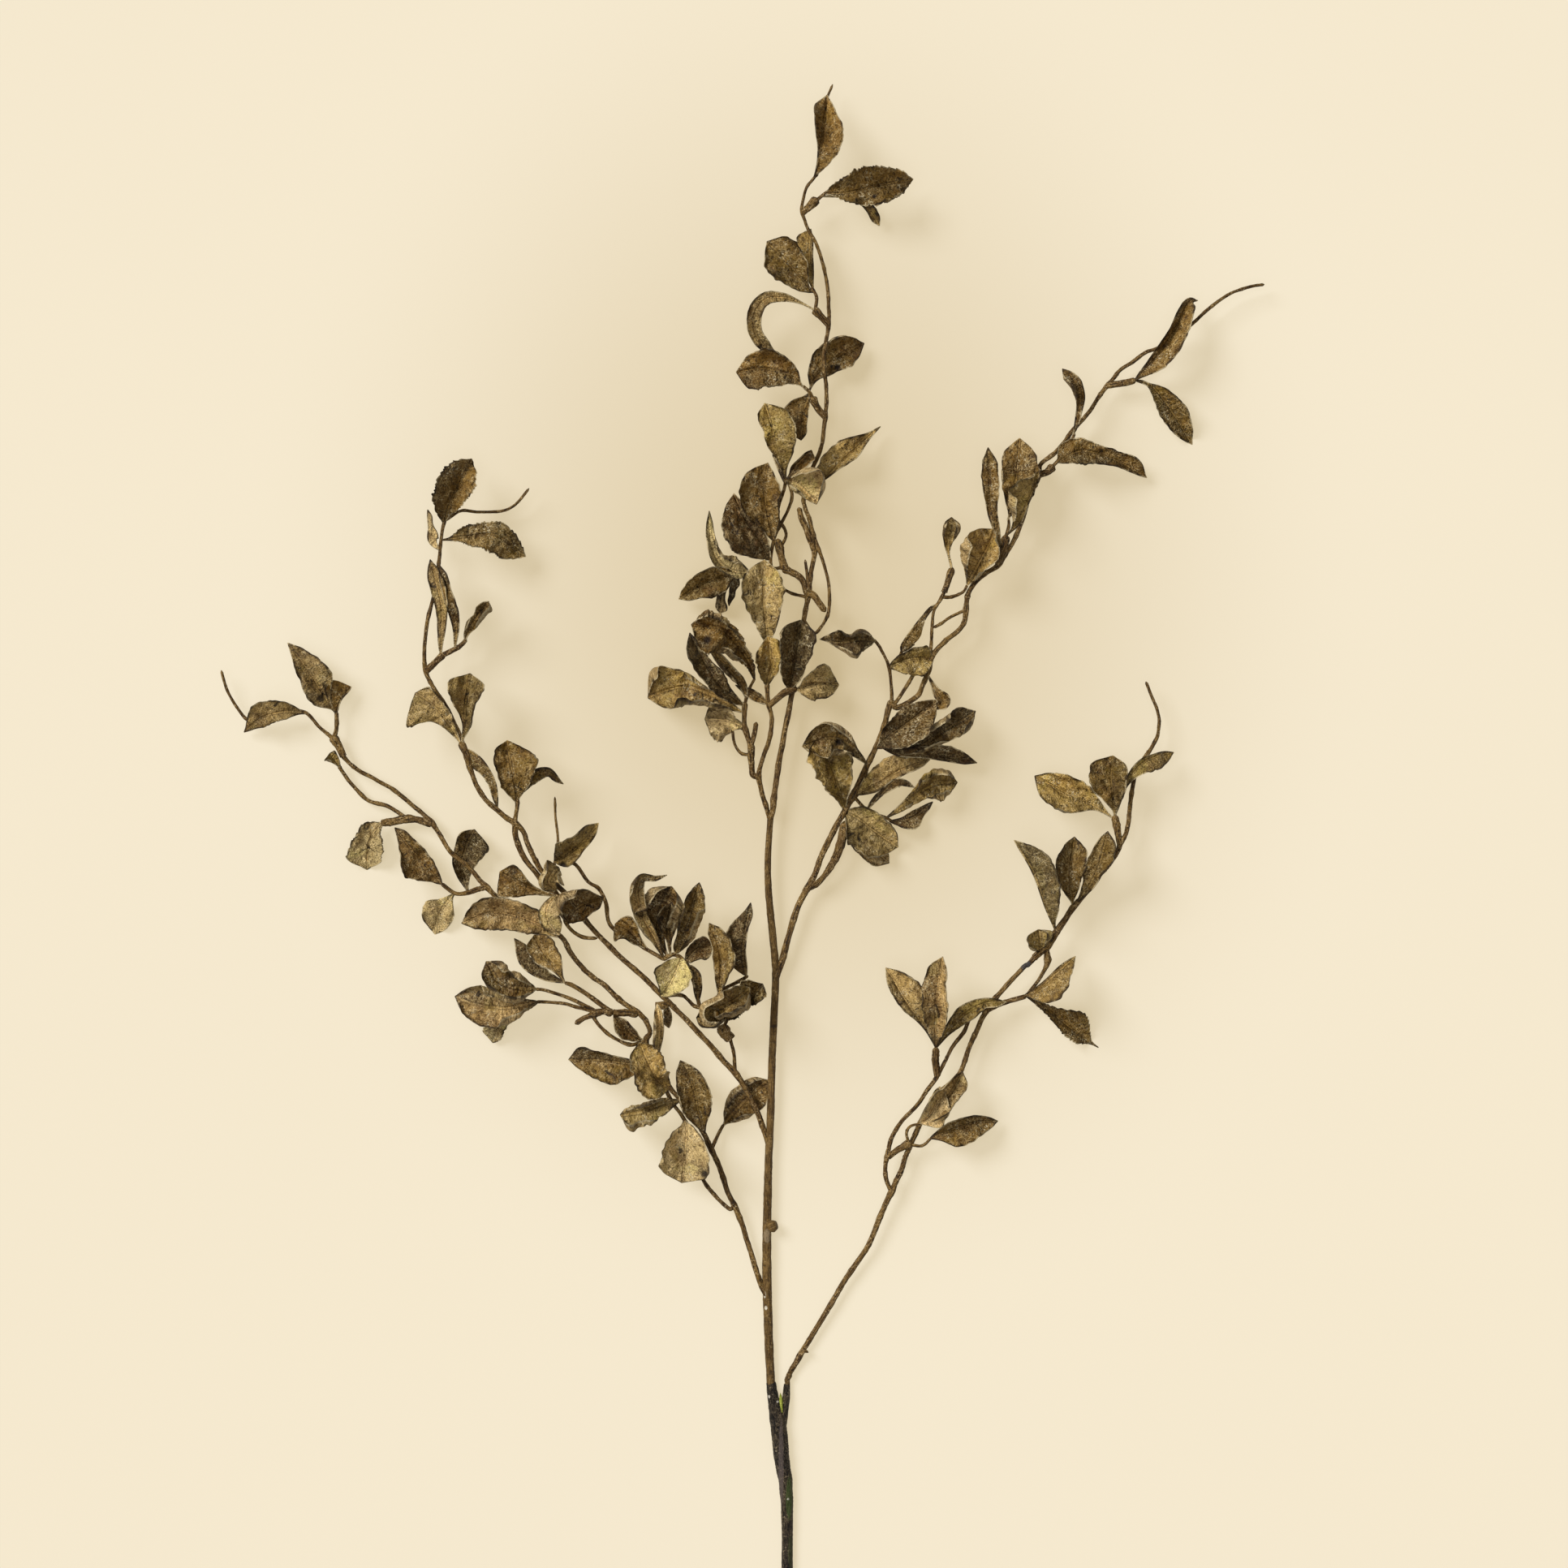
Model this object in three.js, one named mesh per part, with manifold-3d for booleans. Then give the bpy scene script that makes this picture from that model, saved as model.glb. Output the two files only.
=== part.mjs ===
// A smoked eucalyptus stem, cut, dried and laid down on a flat surface.
// Millimetres, +Z up. The stem runs along +Y, from its butt end to its top leaf.

import * as THREE from "three";
import Module from "manifold-3d";

const wasm = await Module();
wasm.setup();

// Driving dimensions

// Middle of the stem's length and breadth, which becomes the origin on the surface that it lies on
const MIDDLE_X = -26.86;
const MIDDLE_Y = 507.64;
// Clear gap between two pieces that touch
const GAP = 0.3;
// Thickness of a blade, and of its root, which is sunk in a twig
const BLADE_THICKNESS = 0.7;
const ROOT_THICKNESS = 1;
// Half the width of a blade at its root and of its blunt tip, and the least half width between them
const ROOT_HALF_WIDTH = 0.5;
const TIP_HALF_WIDTH = 0.5;
const LEAST_HALF_WIDTH = 0.5;
// Distance from a blade's root to the end of its neck, and half the width below which it has no rib
const NECK_LENGTH = 3;
const NECK_ROWS = 2;
const NARROW_HALF_WIDTH = 1.5;
// Shares of a blade's rib at which its half widths are given
const WIDTH_SHARES = [0.12, 0.3, 0.5, 0.7, 0.88];
// A blade narrower than this lies flatter, so that its root and tip stay sound
const FLAT_HALF_WIDTH = 3.5;
// Steepest slope across a blade, in degrees
const STEEPEST = 62;
// Share of a blade's length from its root in which it thins
const THIN_SHARE = 0.16;
// Waves of a blade's edge: height as a share of the width, and number along the blade
const WAVE_HEIGHT = 0.05;
const WAVE_COUNT = 1.6;
// Notches of a blade's edge: depth as a share of the width, and number along the blade
const NOTCH_DEPTH = 0.02;
const NOTCH_COUNT = 3.4;
// Turn of the waves from one leaf to the next, in radians
const WAVE_STEP = 2.4;
// Shares of its rib at which a long blade and a short one have rows of corners, and the length between them
const LONG_ROWS = [0.22, 0.5, 0.8, 1];
const SHORT_ROWS = [0.3, 0.7, 1];
const SHORT_LENGTH = 32;
// Cells across a blade when it is folded and when it is curled
const CELLS_FOLDED = 2;
const CELLS_CURLED = 4;
// Edge curl in degrees from which a blade is rounded across
const ROUND_CURL = 45;
// Share over which a blade's direction and slope are measured
const SLOPE_STEP = 0.02;
// Twigs: how far their straight pieces may stray from their curve, and the samples that test it
const BEND_ERROR = 0.9;
const BEND_SAMPLES = 16;
// Sides of a thin twig, of a middling one and of the stem, and the radii above which they change
const THIN_SIDES = 3;
const TWIG_SIDES = 4;
const STEM_SIDES = 6;
const THIN_RADIUS = 1.35;
const STEM_RADIUS = 2.5;
// Slivers thinner than this are dropped after pieces are joined
const SLIVER = 0.02;
// Crumbs of a smaller volume than this are dropped too
const CRUMB_VOLUME = 1;

// Twigs are [radii evenly spaced along it, points on its axis].
// Leaves are [name, points on the rib from the root, half widths left of the rib, half widths right of it, shape].
// The half widths are seen from above, at WIDTH_SHARES. The shape has angles in degrees: roll and twist turn
// the blade about its rib, with its left side up, fold lifts each half and curl lifts it on towards its edge,
// given for both halves or as [left, right].
const GROWTH = {
  "stock": {
    "twigs": [
      [[3.6, 3.5, 3.4, 4.1, 4.9, 5, 3.6, 2.9], [[1, 0, 3.2], [1, 50, 3.13], [1, 100, 3.06], [1, 130, 3.23],
        [0, 152, 3.71], [-2.5, 168, 4.25], [-4, 184, 4.38], [-6, 197, 3.87], [-8, 206, 3.06],
        [-9, 214, 2.59]]],
      [[3.8, 2.6, 1.9], [[-4.1, 184, 4.2], [-1.4, 195, 3.7], [0.3, 205, 3.1], [0.8, 213, 2.9]]],
    ],
    "leaves": [
    ],
  },
  "main_stem": {
    "twigs": [
      [[2.6, 2.9, 2.4, 2.3, 2.3, 1.9], [[-9, 213, 2.9], [-10.2, 235, 3.6], [-11, 259, 4.4], [-11.5, 282, 5],
        [-11.5, 305, 5.5], [-11, 333, 5.9], [-10.5, 352, 6.1], [-9.2, 381, 6.4], [-8.5, 409, 7],
        [-7.5, 434, 7.5], [-6.2, 463, 8], [-6.5, 475, 8.2], [-8.5, 496, 8.6], [-10.5, 517, 9.1],
        [-11, 537, 9.6], [-9.5, 562, 10.2]]],
      [[2, 3.7, 3.9, 2.6], [[-11.3, 309, 5.8], [-9.4, 310.4, 6.6], [-7.6, 311.2, 7.4], [-5.6, 311.8, 8]]],
    ],
    "leaves": [
    ],
  },
  "leader_spray": {
    "twigs": [
      [[1.8, 1.5, 1.3, 1.2, 1, 0.8], [[-9.5, 560, 10.2], [-7.5, 572, 11], [-5, 592, 12], [-1, 614, 13],
        [2.5, 632, 14], [5, 645, 14.5], [8.5, 664, 15], [11, 684, 16], [13.5, 697, 17], [15, 709, 17.5],
        [16.5, 719, 18], [18, 727, 18], [17, 737, 18.5], [14.5, 747, 19], [12, 754, 19], [11, 760, 19.5],
        [14, 772, 20], [20, 786, 20.5], [22.5, 794, 21], [24, 807, 21], [25, 817, 21.5], [25, 827, 22],
        [24, 837, 22], [23.5, 847, 22], [25, 857, 22], [26.5, 867, 22], [26.5, 877, 22], [26, 887, 22],
        [24.5, 897, 22], [22, 907, 21.5], [18.5, 917, 21], [14.5, 924, 20], [12, 930, 20], [10, 938, 19],
        [12.5, 950, 19], [17.5, 957, 19], [20, 962, 18.5], [22, 987, 17], [24, 1002, 16], [29, 1015, 15]]],
      [[2.3, 2.2], [[10.4, 935.8, 19.2], [20, 944, 21]]],
      [[1.1, 0.8], [[18.5, 942.6, 20.7], [24, 947, 22], [27, 949, 23]]],
      [[2.1, 2.2], [[26.3, 866.8, 22], [21, 872, 23.5], [17.5, 876, 24]]],
      [[1.1, 0.9], [[18.2, 875.2, 23.8], [19, 883, 25], [16, 889, 25.5]]],
      [[2.1, 2.2], [[24.3, 809.8, 21.2], [19, 816, 23], [16, 822, 23.5]]],
      [[1.2, 0.9], [[16.4, 821.2, 23.4], [14.5, 825, 24], [10, 829, 25]]],
      [[1.1, 1], [[17, 737, 18.5], [22, 724, 19], [26, 710, 19], [27, 696, 18.5], [25.5, 687, 18],
        [22, 681, 17], [17.5, 677, 16.5], [11, 685, 16]]],
      [[2, 2], [[14, 700.5, 16.7], [17, 700, 17.5], [21, 695, 18.5], [24.5, 690, 18.5]]],
      [[2, 1.7], [[17.9, 727.1, 18], [14, 738, 20], [10, 747, 20.5], [8, 754, 20.5]]],
      [[1, 0.9], [[14.4, 703.1, 16.9], [13.5, 711, 18.5], [12, 722, 19]]],
      [[1, 0.9], [[13.4, 699, 16.7], [5, 701, 16], [-1.5, 704, 16]]],
      [[1.9, 2.1], [[14.1, 700.8, 16.8], [9, 711, 17], [-2, 717, 16.5]]],
      [[2.1, 2.2], [[-0.8, 716.4, 16.6], [-3, 726, 16], [-5, 735, 15.5]]],
      [[1, 1], [[-3.7, 728.7, 15.8], [0, 736, 14], [-0.5, 741, 13.5], [-5, 748, 14], [-4, 756, 15],
        [-1, 765, 17], [0, 772, 18.5]]],
      [[1, 1], [[-2, 717, 16.5], [-9, 718, 16.5], [-8, 731, 16], [-6, 738, 15.5], [-2, 746, 15],
        [2, 754, 15.5], [4, 762, 17], [1, 771, 18.5]]],
      [[0.9, 0.8], [[-8.7, 718.9, 16.5], [-15, 717, 17], [-22, 714, 17], [-30, 712, 16.5]]],
      [[0.9, 0.8], [[0, 772, 18.5], [8, 769, 18], [15, 771, 17]]],
    ],
    "leaves": [
      ["top_upright", [[17.5, 957, 19], [20.5, 969, 24], [23, 986, 26], [25.5, 1008, 20]],
       [0.5, 1, 2.5, 5.5, 6.5], [3, 8, 12.5, 12, 5.5], { "fold": [62, 14], "curl": [10, 10] }],
      ["top_side", [[24, 947, 22], [40, 947.5, 27], [58, 952, 27], [78.5, 956, 21]],
       [6, 10, 12.5, 10, 7], [2, 7, 11.5, 12.5, 8], { "roll": 6, "fold": 10, "curl": [20, -14], "twist": 8 }],
      ["top_under", [[22.2, 945.4, 21.7], [38.5, 945, 15], [50.5, 939, 11], [58, 928.5, 8]],
       [1, 3, 4.5, 4, 3.2], [0.6, 0.6, 0.6, 2, 2.6], { "roll": -20, "fold": 20 }],
      ["second_left", [[17, 886, 25.2], [3, 902, 29], [-11.5, 917.5, 24]],
       [6, 10, 13.5, 13, 6.5], [1, 7, 10.5, 11.5, 9], { "roll": 10, "fold": 18, "curl": 20 }],
      ["second_up", [[17, 887, 25.2], [14.5, 908, 19], [15.5, 926, 15]],
       [2, 6, 8, 8.5, 7], [1, 2.2, 2.5, 2.5, 1.5], { "roll": -20, "fold": 12 }],
      ["second_drooping", [[18.5, 875, 24], [8, 880, 27], [-2, 882.5, 29], [-12, 881.5, 29],
        [-18.5, 874, 26], [-19, 863, 20], [-13, 854, 14], [-6, 850, 11]],
       [1, 3, 4.4, 4.4, 3.4], [1, 3, 4.4, 4.2, 3.4], { "roll": 10, "fold": 14, "curl": 10 }],
      ["third_left", [[13, 826, 24.5], [2, 835, 28], [-14, 839, 30], [-30.5, 837, 25]],
       [1.2, 6.3, 10.7, 12.7, 12], [1, 6, 10.5, 11, 6], { "roll": -8, "fold": 14, "curl": 16 }],
      ["third_right", [[14.3, 825.1, 24], [20, 836, 15], [34, 849, 12], [48.5, 856, 9]],
       [1.5, 6.5, 11.4, 10, 6], [0.8, 2.5, 7, 10, 6], { "roll": 14, "fold": 6, "curl": 22 }],
      ["third_hanging", [[14.8, 824.2, 23.9], [11, 812, 17], [9.5, 796, 10]],
       [1, 2.5, 3, 3, 3], [3, 9, 12, 12, 8], { "roll": 12, "fold": 16 }],
      ["fourth_left", [[0, 772, 18.5], [-5, 786, 26], [-8, 801, 29], [-13, 818, 25]],
       [0.6, 1.7, 5.4, 6, 6.2], [3, 10, 13, 13.5, 9], { "roll": -14, "fold": 16, "curl": 18 }],
      ["fourth_blade", [[-1, 770, 18], [-5, 779, 17], [-8, 787, 15]],
       [0.6, 0.6, 0.6, 0.6, 0.6], [1.5, 2, 2.2, 1.3, 0.8], { "roll": 30 }],
      ["fourth_rolled", [[0.5, 771.8, 18.5], [8, 781, 24], [16, 789, 26]],
       [0.6, 2.3, 2, 1.8, 1.5], [2, 4, 5.4, 5.7, 5.5], { "fold": 20, "curl": 115 }],
      ["fourth_right", [[9, 769, 18], [22, 771, 17], [38, 786, 17], [58.5, 804.5, 11]],
       [4, 6.5, 10, 10, 3], [1, 1, 2, 5, 1.7], { "roll": -8, "fold": 12, "curl": 12 }],
      ["fourth_bent", [[0, 771, 18.5], [9, 767, 23], [19, 756, 21]],
       [2.5, 7, 13, 14, 10], [2, 4.5, 5, 4, 2], { "roll": 10, "fold": 40, "curl": 24 }],
      ["middle_dark", [[-9.1, 722.2, 16.3], [-16, 734, 20], [-25, 747, 21], [-32, 763, 16]],
       [8, 16, 17.5, 15, 8], [2.5, 5, 6, 5.5, 3], { "roll": 8, "fold": 14, "curl": 14 }],
      ["middle_upright", [[-7, 733, 15.5], [-10, 745, 18], [-13, 764, 19], [-11, 782, 14]],
       [3, 8, 14, 15, 10], [2, 6, 8, 10, 5], { "roll": -10, "fold": 12, "curl": 16 }],
      ["middle_tip", [[-22, 714, 17], [-33, 715, 21], [-42, 722, 24], [-46, 736, 24], [-47, 752, 20]],
       [4, 3.5, 3.5, 3, 2], [6, 9, 5, 3, 2], { "roll": 20, "fold": 30, "curl": 20 }],
      ["middle_left", [[-27, 712.7, 16.8], [-40, 711.5, 17.5], [-54, 706, 15], [-66, 698, 9]],
       [2.5, 9.5, 10.6, 8.2, 4.8], [2, 6, 6.7, 5.7, 3.5], { "roll": -20, "fold": 24, "curl": 16 }],
      ["middle_hanging", [[-29, 712, 16.5], [-37, 703, 11], [-40.5, 689, 6]],
       [0.6, 0.6, 0.6, 1.5, 4], [3, 4.5, 4, 4, 3.5], { "roll": 20, "fold": 20 }],
      ["middle_small", [[-30, 712, 16.5], [-32, 704, 11], [-35, 694, 7]],
       [2, 3, 1.6, 1.9, 0.8], [2, 2.8, 2.8, 2, 1.7], { "roll": -30 }],
    ],
  },
  "left_fork_spray": {
    "twigs": [
      [[1.5, 1.3], [[-9.5, 561, 10.2], [-12, 570, 10.5], [-15, 580, 11.5], [-16.5, 590, 12.5],
        [-14, 600, 14], [-10.5, 610, 16], [-8.5, 620, 17.5], [-9, 627, 18], [-11, 636, 18.5],
        [-11.5, 646, 18.5]]],
      [[1.2, 0.9], [[-11.5, 645, 18.5], [-11, 656, 19], [-10.5, 668, 20]]],
      [[2, 2.3], [[-10, 632.6, 18], [-1, 640, 20], [7, 643, 20]]],
      [[2, 1.4], [[-16.5, 588.1, 12.3], [-20.5, 590, 13], [-21, 598, 14], [-21.5, 607, 15], [-24, 615, 16],
        [-25.5, 622, 17], [-25, 635, 18]]],
      [[1.4, 1.6], [[-21.4, 606, 14.9], [-19.5, 614, 17], [-18, 622, 18.5]]],
      [[1, 0.8], [[-24.4, 617, 16.4], [-29, 619, 16], [-33, 620, 16]]],
      [[1, 0.8], [[-21.5, 602, 14.5], [-27.5, 603, 14], [-31.5, 609, 14], [-33, 619, 15.5]]],
      [[1.1, 0.9], [[-25.2, 632, 17.8], [-23, 641, 18.5], [-19, 649, 18.5]]],
    ],
    "leaves": [
      ["pale_ovate", [[-10.5, 667, 20], [-12, 680, 27], [-13.5, 699, 29], [-13, 722, 25]],
       [2, 5, 9.3, 13.5, 11], [2, 6, 9.8, 12.8, 9.5], { "roll": -6, "fold": 10, "curl": 14 }],
      ["big_crumpled", [[-19, 648, 18], [-24, 662, 23], [-38, 678, 29], [-58, 682, 25]],
       [2, 5, 12, 17, 16], [2, 3.5, 5, 8, 9], { "roll": 14, "twist": -30, "fold": [34, 46], "curl": [60, 30] }],
      ["dark_left", [[-25, 632, 18], [-38, 642, 26], [-48, 656, 28], [-59, 677, 22]],
       [3, 5, 6.3, 7.6, 6.5], [2, 4, 6.5, 4, 2.8], { "roll": 24, "fold": 20, "curl": 20 }],
      ["twisted_strip", [[-24, 636, 18], [-27, 646, 24], [-37, 657, 29], [-50, 673, 27]],
       [1.5, 2.5, 3.5, 3.5, 2], [1.5, 2.5, 3, 3, 2], { "roll": -30, "twist": 60, "fold": 30, "curl": 40 }],
      ["folded_left", [[-26, 628, 17.5], [-44, 638, 20], [-64, 644, 20], [-85, 637, 12]],
       [3, 7, 10, 12.5, 10.5], [1.5, 2, 4.5, 11, 15], { "roll": -12, "fold": [44, 10], "curl": [40, 10] }],
      ["pale_ragged", [[-25, 619, 16], [-36, 623, 17], [-50, 624, 13]],
       [2.5, 7, 12.5, 14.5, 8], [2, 3.8, 8, 11, 11.5], { "roll": -10, "fold": 16, "curl": 22 }],
      ["right_upright", [[2, 642, 20], [5, 658, 24], [9, 685, 20]],
       [4, 7, 8, 10, 10], [4, 6.5, 8, 11, 10], { "roll": 12, "fold": 20, "curl": 16 }],
      ["pale_crumpled", [[-11.5, 644, 18.5], [-9, 658, 26], [-11, 675, 26]],
       [4, 7.2, 9.3, 8.8, 4], [2, 4.3, 5.8, 7, 6], { "roll": -10, "fold": 36, "curl": 46 }],
      ["right_side", [[6, 642.5, 20], [18, 646, 20], [33, 645, 13]],
       [1, 4.6, 8, 12, 5], [5, 10.5, 10.3, 9.6, 6.7], { "roll": 10, "fold": 20, "curl": 20 }],
      ["small_dark", [[-10.4, 633.3, 18.3], [-22, 640, 19], [-31, 645, 17]],
       [2, 3, 3, 2, 1], [2, 3, 3, 2, 1], { "roll": 20, "fold": 20 }],
    ],
  },
  "inner_right_spray": {
    "twigs": [
      [[2, 1.7, 1.5, 1.4, 1.2, 0.9], [[-5.5, 465, 8.2], [-2, 475, 8.6], [1, 487, 9], [7.5, 508, 9.5],
        [12, 517, 10], [17.5, 527, 10.5], [22, 539, 11], [28, 552, 12], [33.5, 562, 12.5], [37, 568, 13],
        [42, 578, 13.5], [47, 589, 14], [53.5, 602, 15], [57.5, 611, 16], [61, 620, 17], [64.5, 634, 18],
        [69, 631, 18], [81, 638, 18.5], [84.5, 645, 19], [87.5, 653, 19.5], [91, 664, 20], [98.5, 672, 20],
        [106, 678, 20], [110, 684, 20], [111, 692, 20], [112, 700, 20], [116, 707, 20], [122, 713, 20],
        [130, 718, 20], [135, 725, 20], [140, 733, 20], [144, 742, 20], [147, 751, 20], [148.5, 758, 20],
        [152, 765, 20], [156, 774, 20], [157, 781, 20], [166, 788, 18.5], [172, 795, 17], [177, 802, 15.5],
        [182.5, 808, 14.5], [187.5, 814, 14], [192, 821, 13], [197, 828, 12.5], [202, 834, 12],
        [206, 839, 12], [213.5, 844, 12], [222, 850, 12], [230, 853, 12.5], [238.5, 859, 13],
        [251, 868, 14], [258.5, 875, 14.5], [266, 881, 14.5], [273.5, 886, 14], [281, 889, 13.5],
        [288.5, 891, 13], [295, 892, 12.5]]],
      [[1.5, 3], [[13.3, 518.6, 10.1], [21, 524, 11.5], [27, 532, 13], [31, 539, 14], [34.5, 549, 15],
        [36.5, 561, 15]]],
      [[1.1, 0.9], [[35.9, 567.6, 13], [46, 580, 13], [50, 592, 15], [51, 597, 16]]],
      [[1.1, 0.8], [[41, 577.5, 13.6], [50, 568, 11], [60, 564, 9], [66, 561, 8]]],
      [[1.1, 0.9], [[61, 619, 17], [65, 634, 19], [65, 643, 20], [63.5, 656, 21], [58.5, 667, 23],
        [54, 673, 24]]],
      [[1.2, 1.1], [[66.9, 632.8, 18], [73, 642, 19], [78.5, 651, 20], [82, 658, 20.5], [91, 665, 20]]],
      [[1, 0.9], [[63.5, 656, 21], [68, 658, 21], [72, 667, 22.5]]],
      [[1.1, 0.9], [[88, 655, 19.5], [89.5, 670, 21], [90, 680, 22], [91, 690, 23], [95, 697, 23.5],
        [98, 703, 24]]],
      [[1.9, 2.1], [[97.4, 701.8, 23.9], [100, 710, 24], [102.5, 717, 24.5]]],
      [[1, 0.9], [[110.6, 691, 20], [102, 687, 19.5], [96, 683, 20], [91, 680, 22]]],
      [[1.1, 0.9], [[96, 699, 23.5], [102, 699, 23], [109, 702, 22], [112, 707, 22]]],
      [[2.1, 2.2], [[130.9, 719, 20], [134, 728, 22], [135.5, 737, 23]]],
      [[1, 0.9], [[135, 735, 23], [137, 742, 23], [137, 748, 23]]],
      [[2.1, 2.2], [[156, 774.1, 20], [161, 776, 20.5], [165, 780, 19.5]]],
      [[1.1, 0.9], [[164.5, 779.5, 19.6], [171, 787, 18.5], [175, 793, 18], [178, 800, 18]]],
      [[2, 2.2], [[198.3, 829.5, 12.4], [207, 831, 14], [216, 833, 14.5]]],
    ],
    "leaves": [
      ["lower_round", [[37, 567, 13], [46, 562, 14], [56, 554, 11], [69.5, 545, 5]],
       [5, 8.5, 10, 10, 7], [7, 14.5, 16, 15.5, 11], { "roll": 8, "fold": 12, "curl": [30, 10] }],
      ["lower_under", [[36.5, 561, 15], [48, 549, 6], [64, 535, 2]],
       [2, 4, 4, 4.5, 5], [3, 6.5, 8, 8, 7], { "roll": -10 }],
      ["left_crumpled", [[36.4, 567.1, 12.9], [34, 577, 19], [29, 592, 23], [20, 614, 21]],
       [1.7, 4, 8.4, 10.5, 11], [2, 4.4, 9.5, 13, 12], { "roll": 16, "fold": 30, "curl": [50, 30] }],
      ["left_folded", [[50.5, 596, 15.5], [42, 606, 27], [27, 612, 31], [10, 607, 24]],
       [2.5, 5, 9, 12, 9], [0.8, 1.5, 7, 10, 5.5], { "roll": 10, "fold": [16, 40], "curl": 20 }],
      ["big_dark", [[56, 606, 16], [64, 614, 23], [77, 623, 26], [93, 636, 20]],
       [1.8, 5.5, 7.5, 9.4, 5], [5, 10, 13, 13, 8], { "roll": -10, "fold": 16, "curl": 18 }],
      ["long_folded", [[56.8, 609.5, 15.8], [76, 605, 21], [98, 617, 22], [117, 629, 17]],
       [1.5, 3, 5.5, 7, 7.5], [1, 2.5, 5, 7.5, 7], { "roll": 16, "fold": [14, 44], "curl": 16 }],
      ["small_hook", [[87, 652, 19.5], [93, 640, 24], [96, 634, 25], [91, 630, 22]],
       [1, 2.7, 5, 4.5, 2], [1, 2.5, 3, 2.8, 2], { "roll": 20, "fold": 30, "curl": 30 }],
      ["long_narrow", [[57, 608, 16], [70, 602, 21], [95, 601, 20], [118, 597, 12]],
       [1.5, 3.5, 5.5, 7, 4.5], [0.8, 1, 1.5, 2.7, 2.5], { "roll": -6, "fold": 20 }],
      ["pale_long", [[42, 577, 13.5], [56, 584, 16], [72, 593, 16], [89, 599, 9]],
       [3.5, 8.5, 10.5, 10, 7], [2.5, 4.5, 4, 3.5, 3], { "roll": -12, "fold": 12, "curl": 16 }],
      ["crumpled_side", [[62, 563, 8.5], [76, 574, 14], [91, 584, 17], [106, 585, 9]],
       [1, 2, 5, 8.7, 7], [2, 4, 6, 12, 8], { "roll": 18, "fold": 30, "curl": 40 }],
      ["olive_low", [[64, 561, 8], [78, 563, 7], [91, 573, 3]],
       [1, 2.2, 4, 3.1, 1.7], [2.5, 5, 7, 3.2, 2], { "roll": -8, "fold": 10 }],
      ["dark_strip", [[50, 568, 11], [60, 579, 24], [69, 587, 27], [79, 582, 23]],
       [2, 2.5, 1.6, 0.6, 1.3], [1, 1.5, 4, 5, 2.3], { "roll": 10, "fold": 30, "curl": 20 }],
      ["curled_left", [[55, 672, 24], [46, 673, 28], [34, 671, 28], [21, 673, 20]],
       [4.5, 8, 10.7, 4.2, 1], [3, 6, 4, 7, 4], { "roll": -10, "fold": [20, 34], "curl": 30 }],
      ["short_olive", [[63.5, 656, 21], [76, 661, 24], [91, 661, 20]],
       [2.5, 4, 5, 7, 7], [4, 9, 10.5, 11, 9], { "roll": 8, "fold": 24 }],
      ["edge_on", [[71, 665, 22.5], [74, 674, 25], [83, 685, 26], [94, 695, 22]],
       [1.5, 0.6, 0.6, 1.2, 2], [5, 6.5, 6.5, 2.5, 0.6], { "roll": 66, "fold": 16 }],
      ["upright_narrow", [[133, 727, 22], [129, 742, 25], [125.5, 765, 27], [124.5, 791, 21]],
       [1.2, 2, 3.7, 4.6, 4], [1.2, 2.5, 3, 6, 5], { "roll": 14, "fold": 16 }],
      ["upright_big", [[136.5, 746, 23], [139, 757, 25], [142, 774, 25], [144, 797, 18]],
       [0.8, 3.5, 7.5, 9.8, 8.5], [2, 6, 12.5, 13.5, 9.5], { "roll": -8, "fold": 12, "curl": 12 }],
      ["upright_folded", [[135, 736, 23], [144, 746, 32], [150, 761, 35], [156.5, 777, 29]],
       [0.7, 5, 12, 12, 4], [0.9, 1.5, 1, 1.5, 1], { "roll": -12, "fold": 36, "curl": 14 }],
      ["brown_folded", [[111.5, 706, 22], [116, 714, 26], [122, 725, 28], [129, 741, 23]],
       [2.5, 7, 14, 15, 11.5], [2, 4, 5.5, 9, 3.5], { "roll": -16, "fold": 32, "curl": 20 }],
      ["brown_spoon", [[102, 716, 24.5], [100, 726, 27], [100, 737, 27], [102, 748, 22]],
       [0.7, 1, 2.6, 3.8, 3.5], [1, 0.8, 2.5, 6, 6.5], { "roll": 20, "fold": 20, "curl": 20 }],
      ["tip_spoon", [[177, 799, 18], [179.5, 810, 21], [181, 820, 25], [179, 829, 29], [174, 836, 29],
        [170, 839, 25]],
       [1, 2, 4, 5.5, 4], [2, 2.3, 3, 2.8, 1], { "roll": 10, "fold": 20, "curl": 20 }],
      ["right_folded", [[167, 782, 19], [182, 789, 20], [202, 784, 16], [223, 773, 8]],
       [8, 8, 5.2, 6, 6.5], [5, 9.2, 7.5, 4.2, 2.2], { "roll": -10, "fold": [12, 26], "curl": 14 }],
      ["tip_long", [[215, 832.5, 14.5], [225, 843, 20], [238, 861, 21], [248, 880, 17], [254, 882, 14]],
       [2, 3, 3.5, 3.5, 1.2], [3, 8.5, 8.4, 6, 1.5], { "roll": 20, "fold": 34, "curl": 10 }],
      ["tip_ovate", [[215, 833, 14.5], [226, 829, 13], [239, 813, 7], [251.5, 794, -1]],
       [1, 1.2, 6.3, 8, 5.2], [1.2, 2.2, 6, 8, 5.2], { "roll": 6, "fold": 10, "curl": 10 }],
    ],
  },
  "outer_right_spray": {
    "twigs": [
      [[1.7, 1.7, 1.6, 1.5, 1.4, 0.9], [[0.8, 212.5, 3], [1.5, 217, 3.2], [4.5, 223, 3.5], [12, 236, 4.2],
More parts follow.
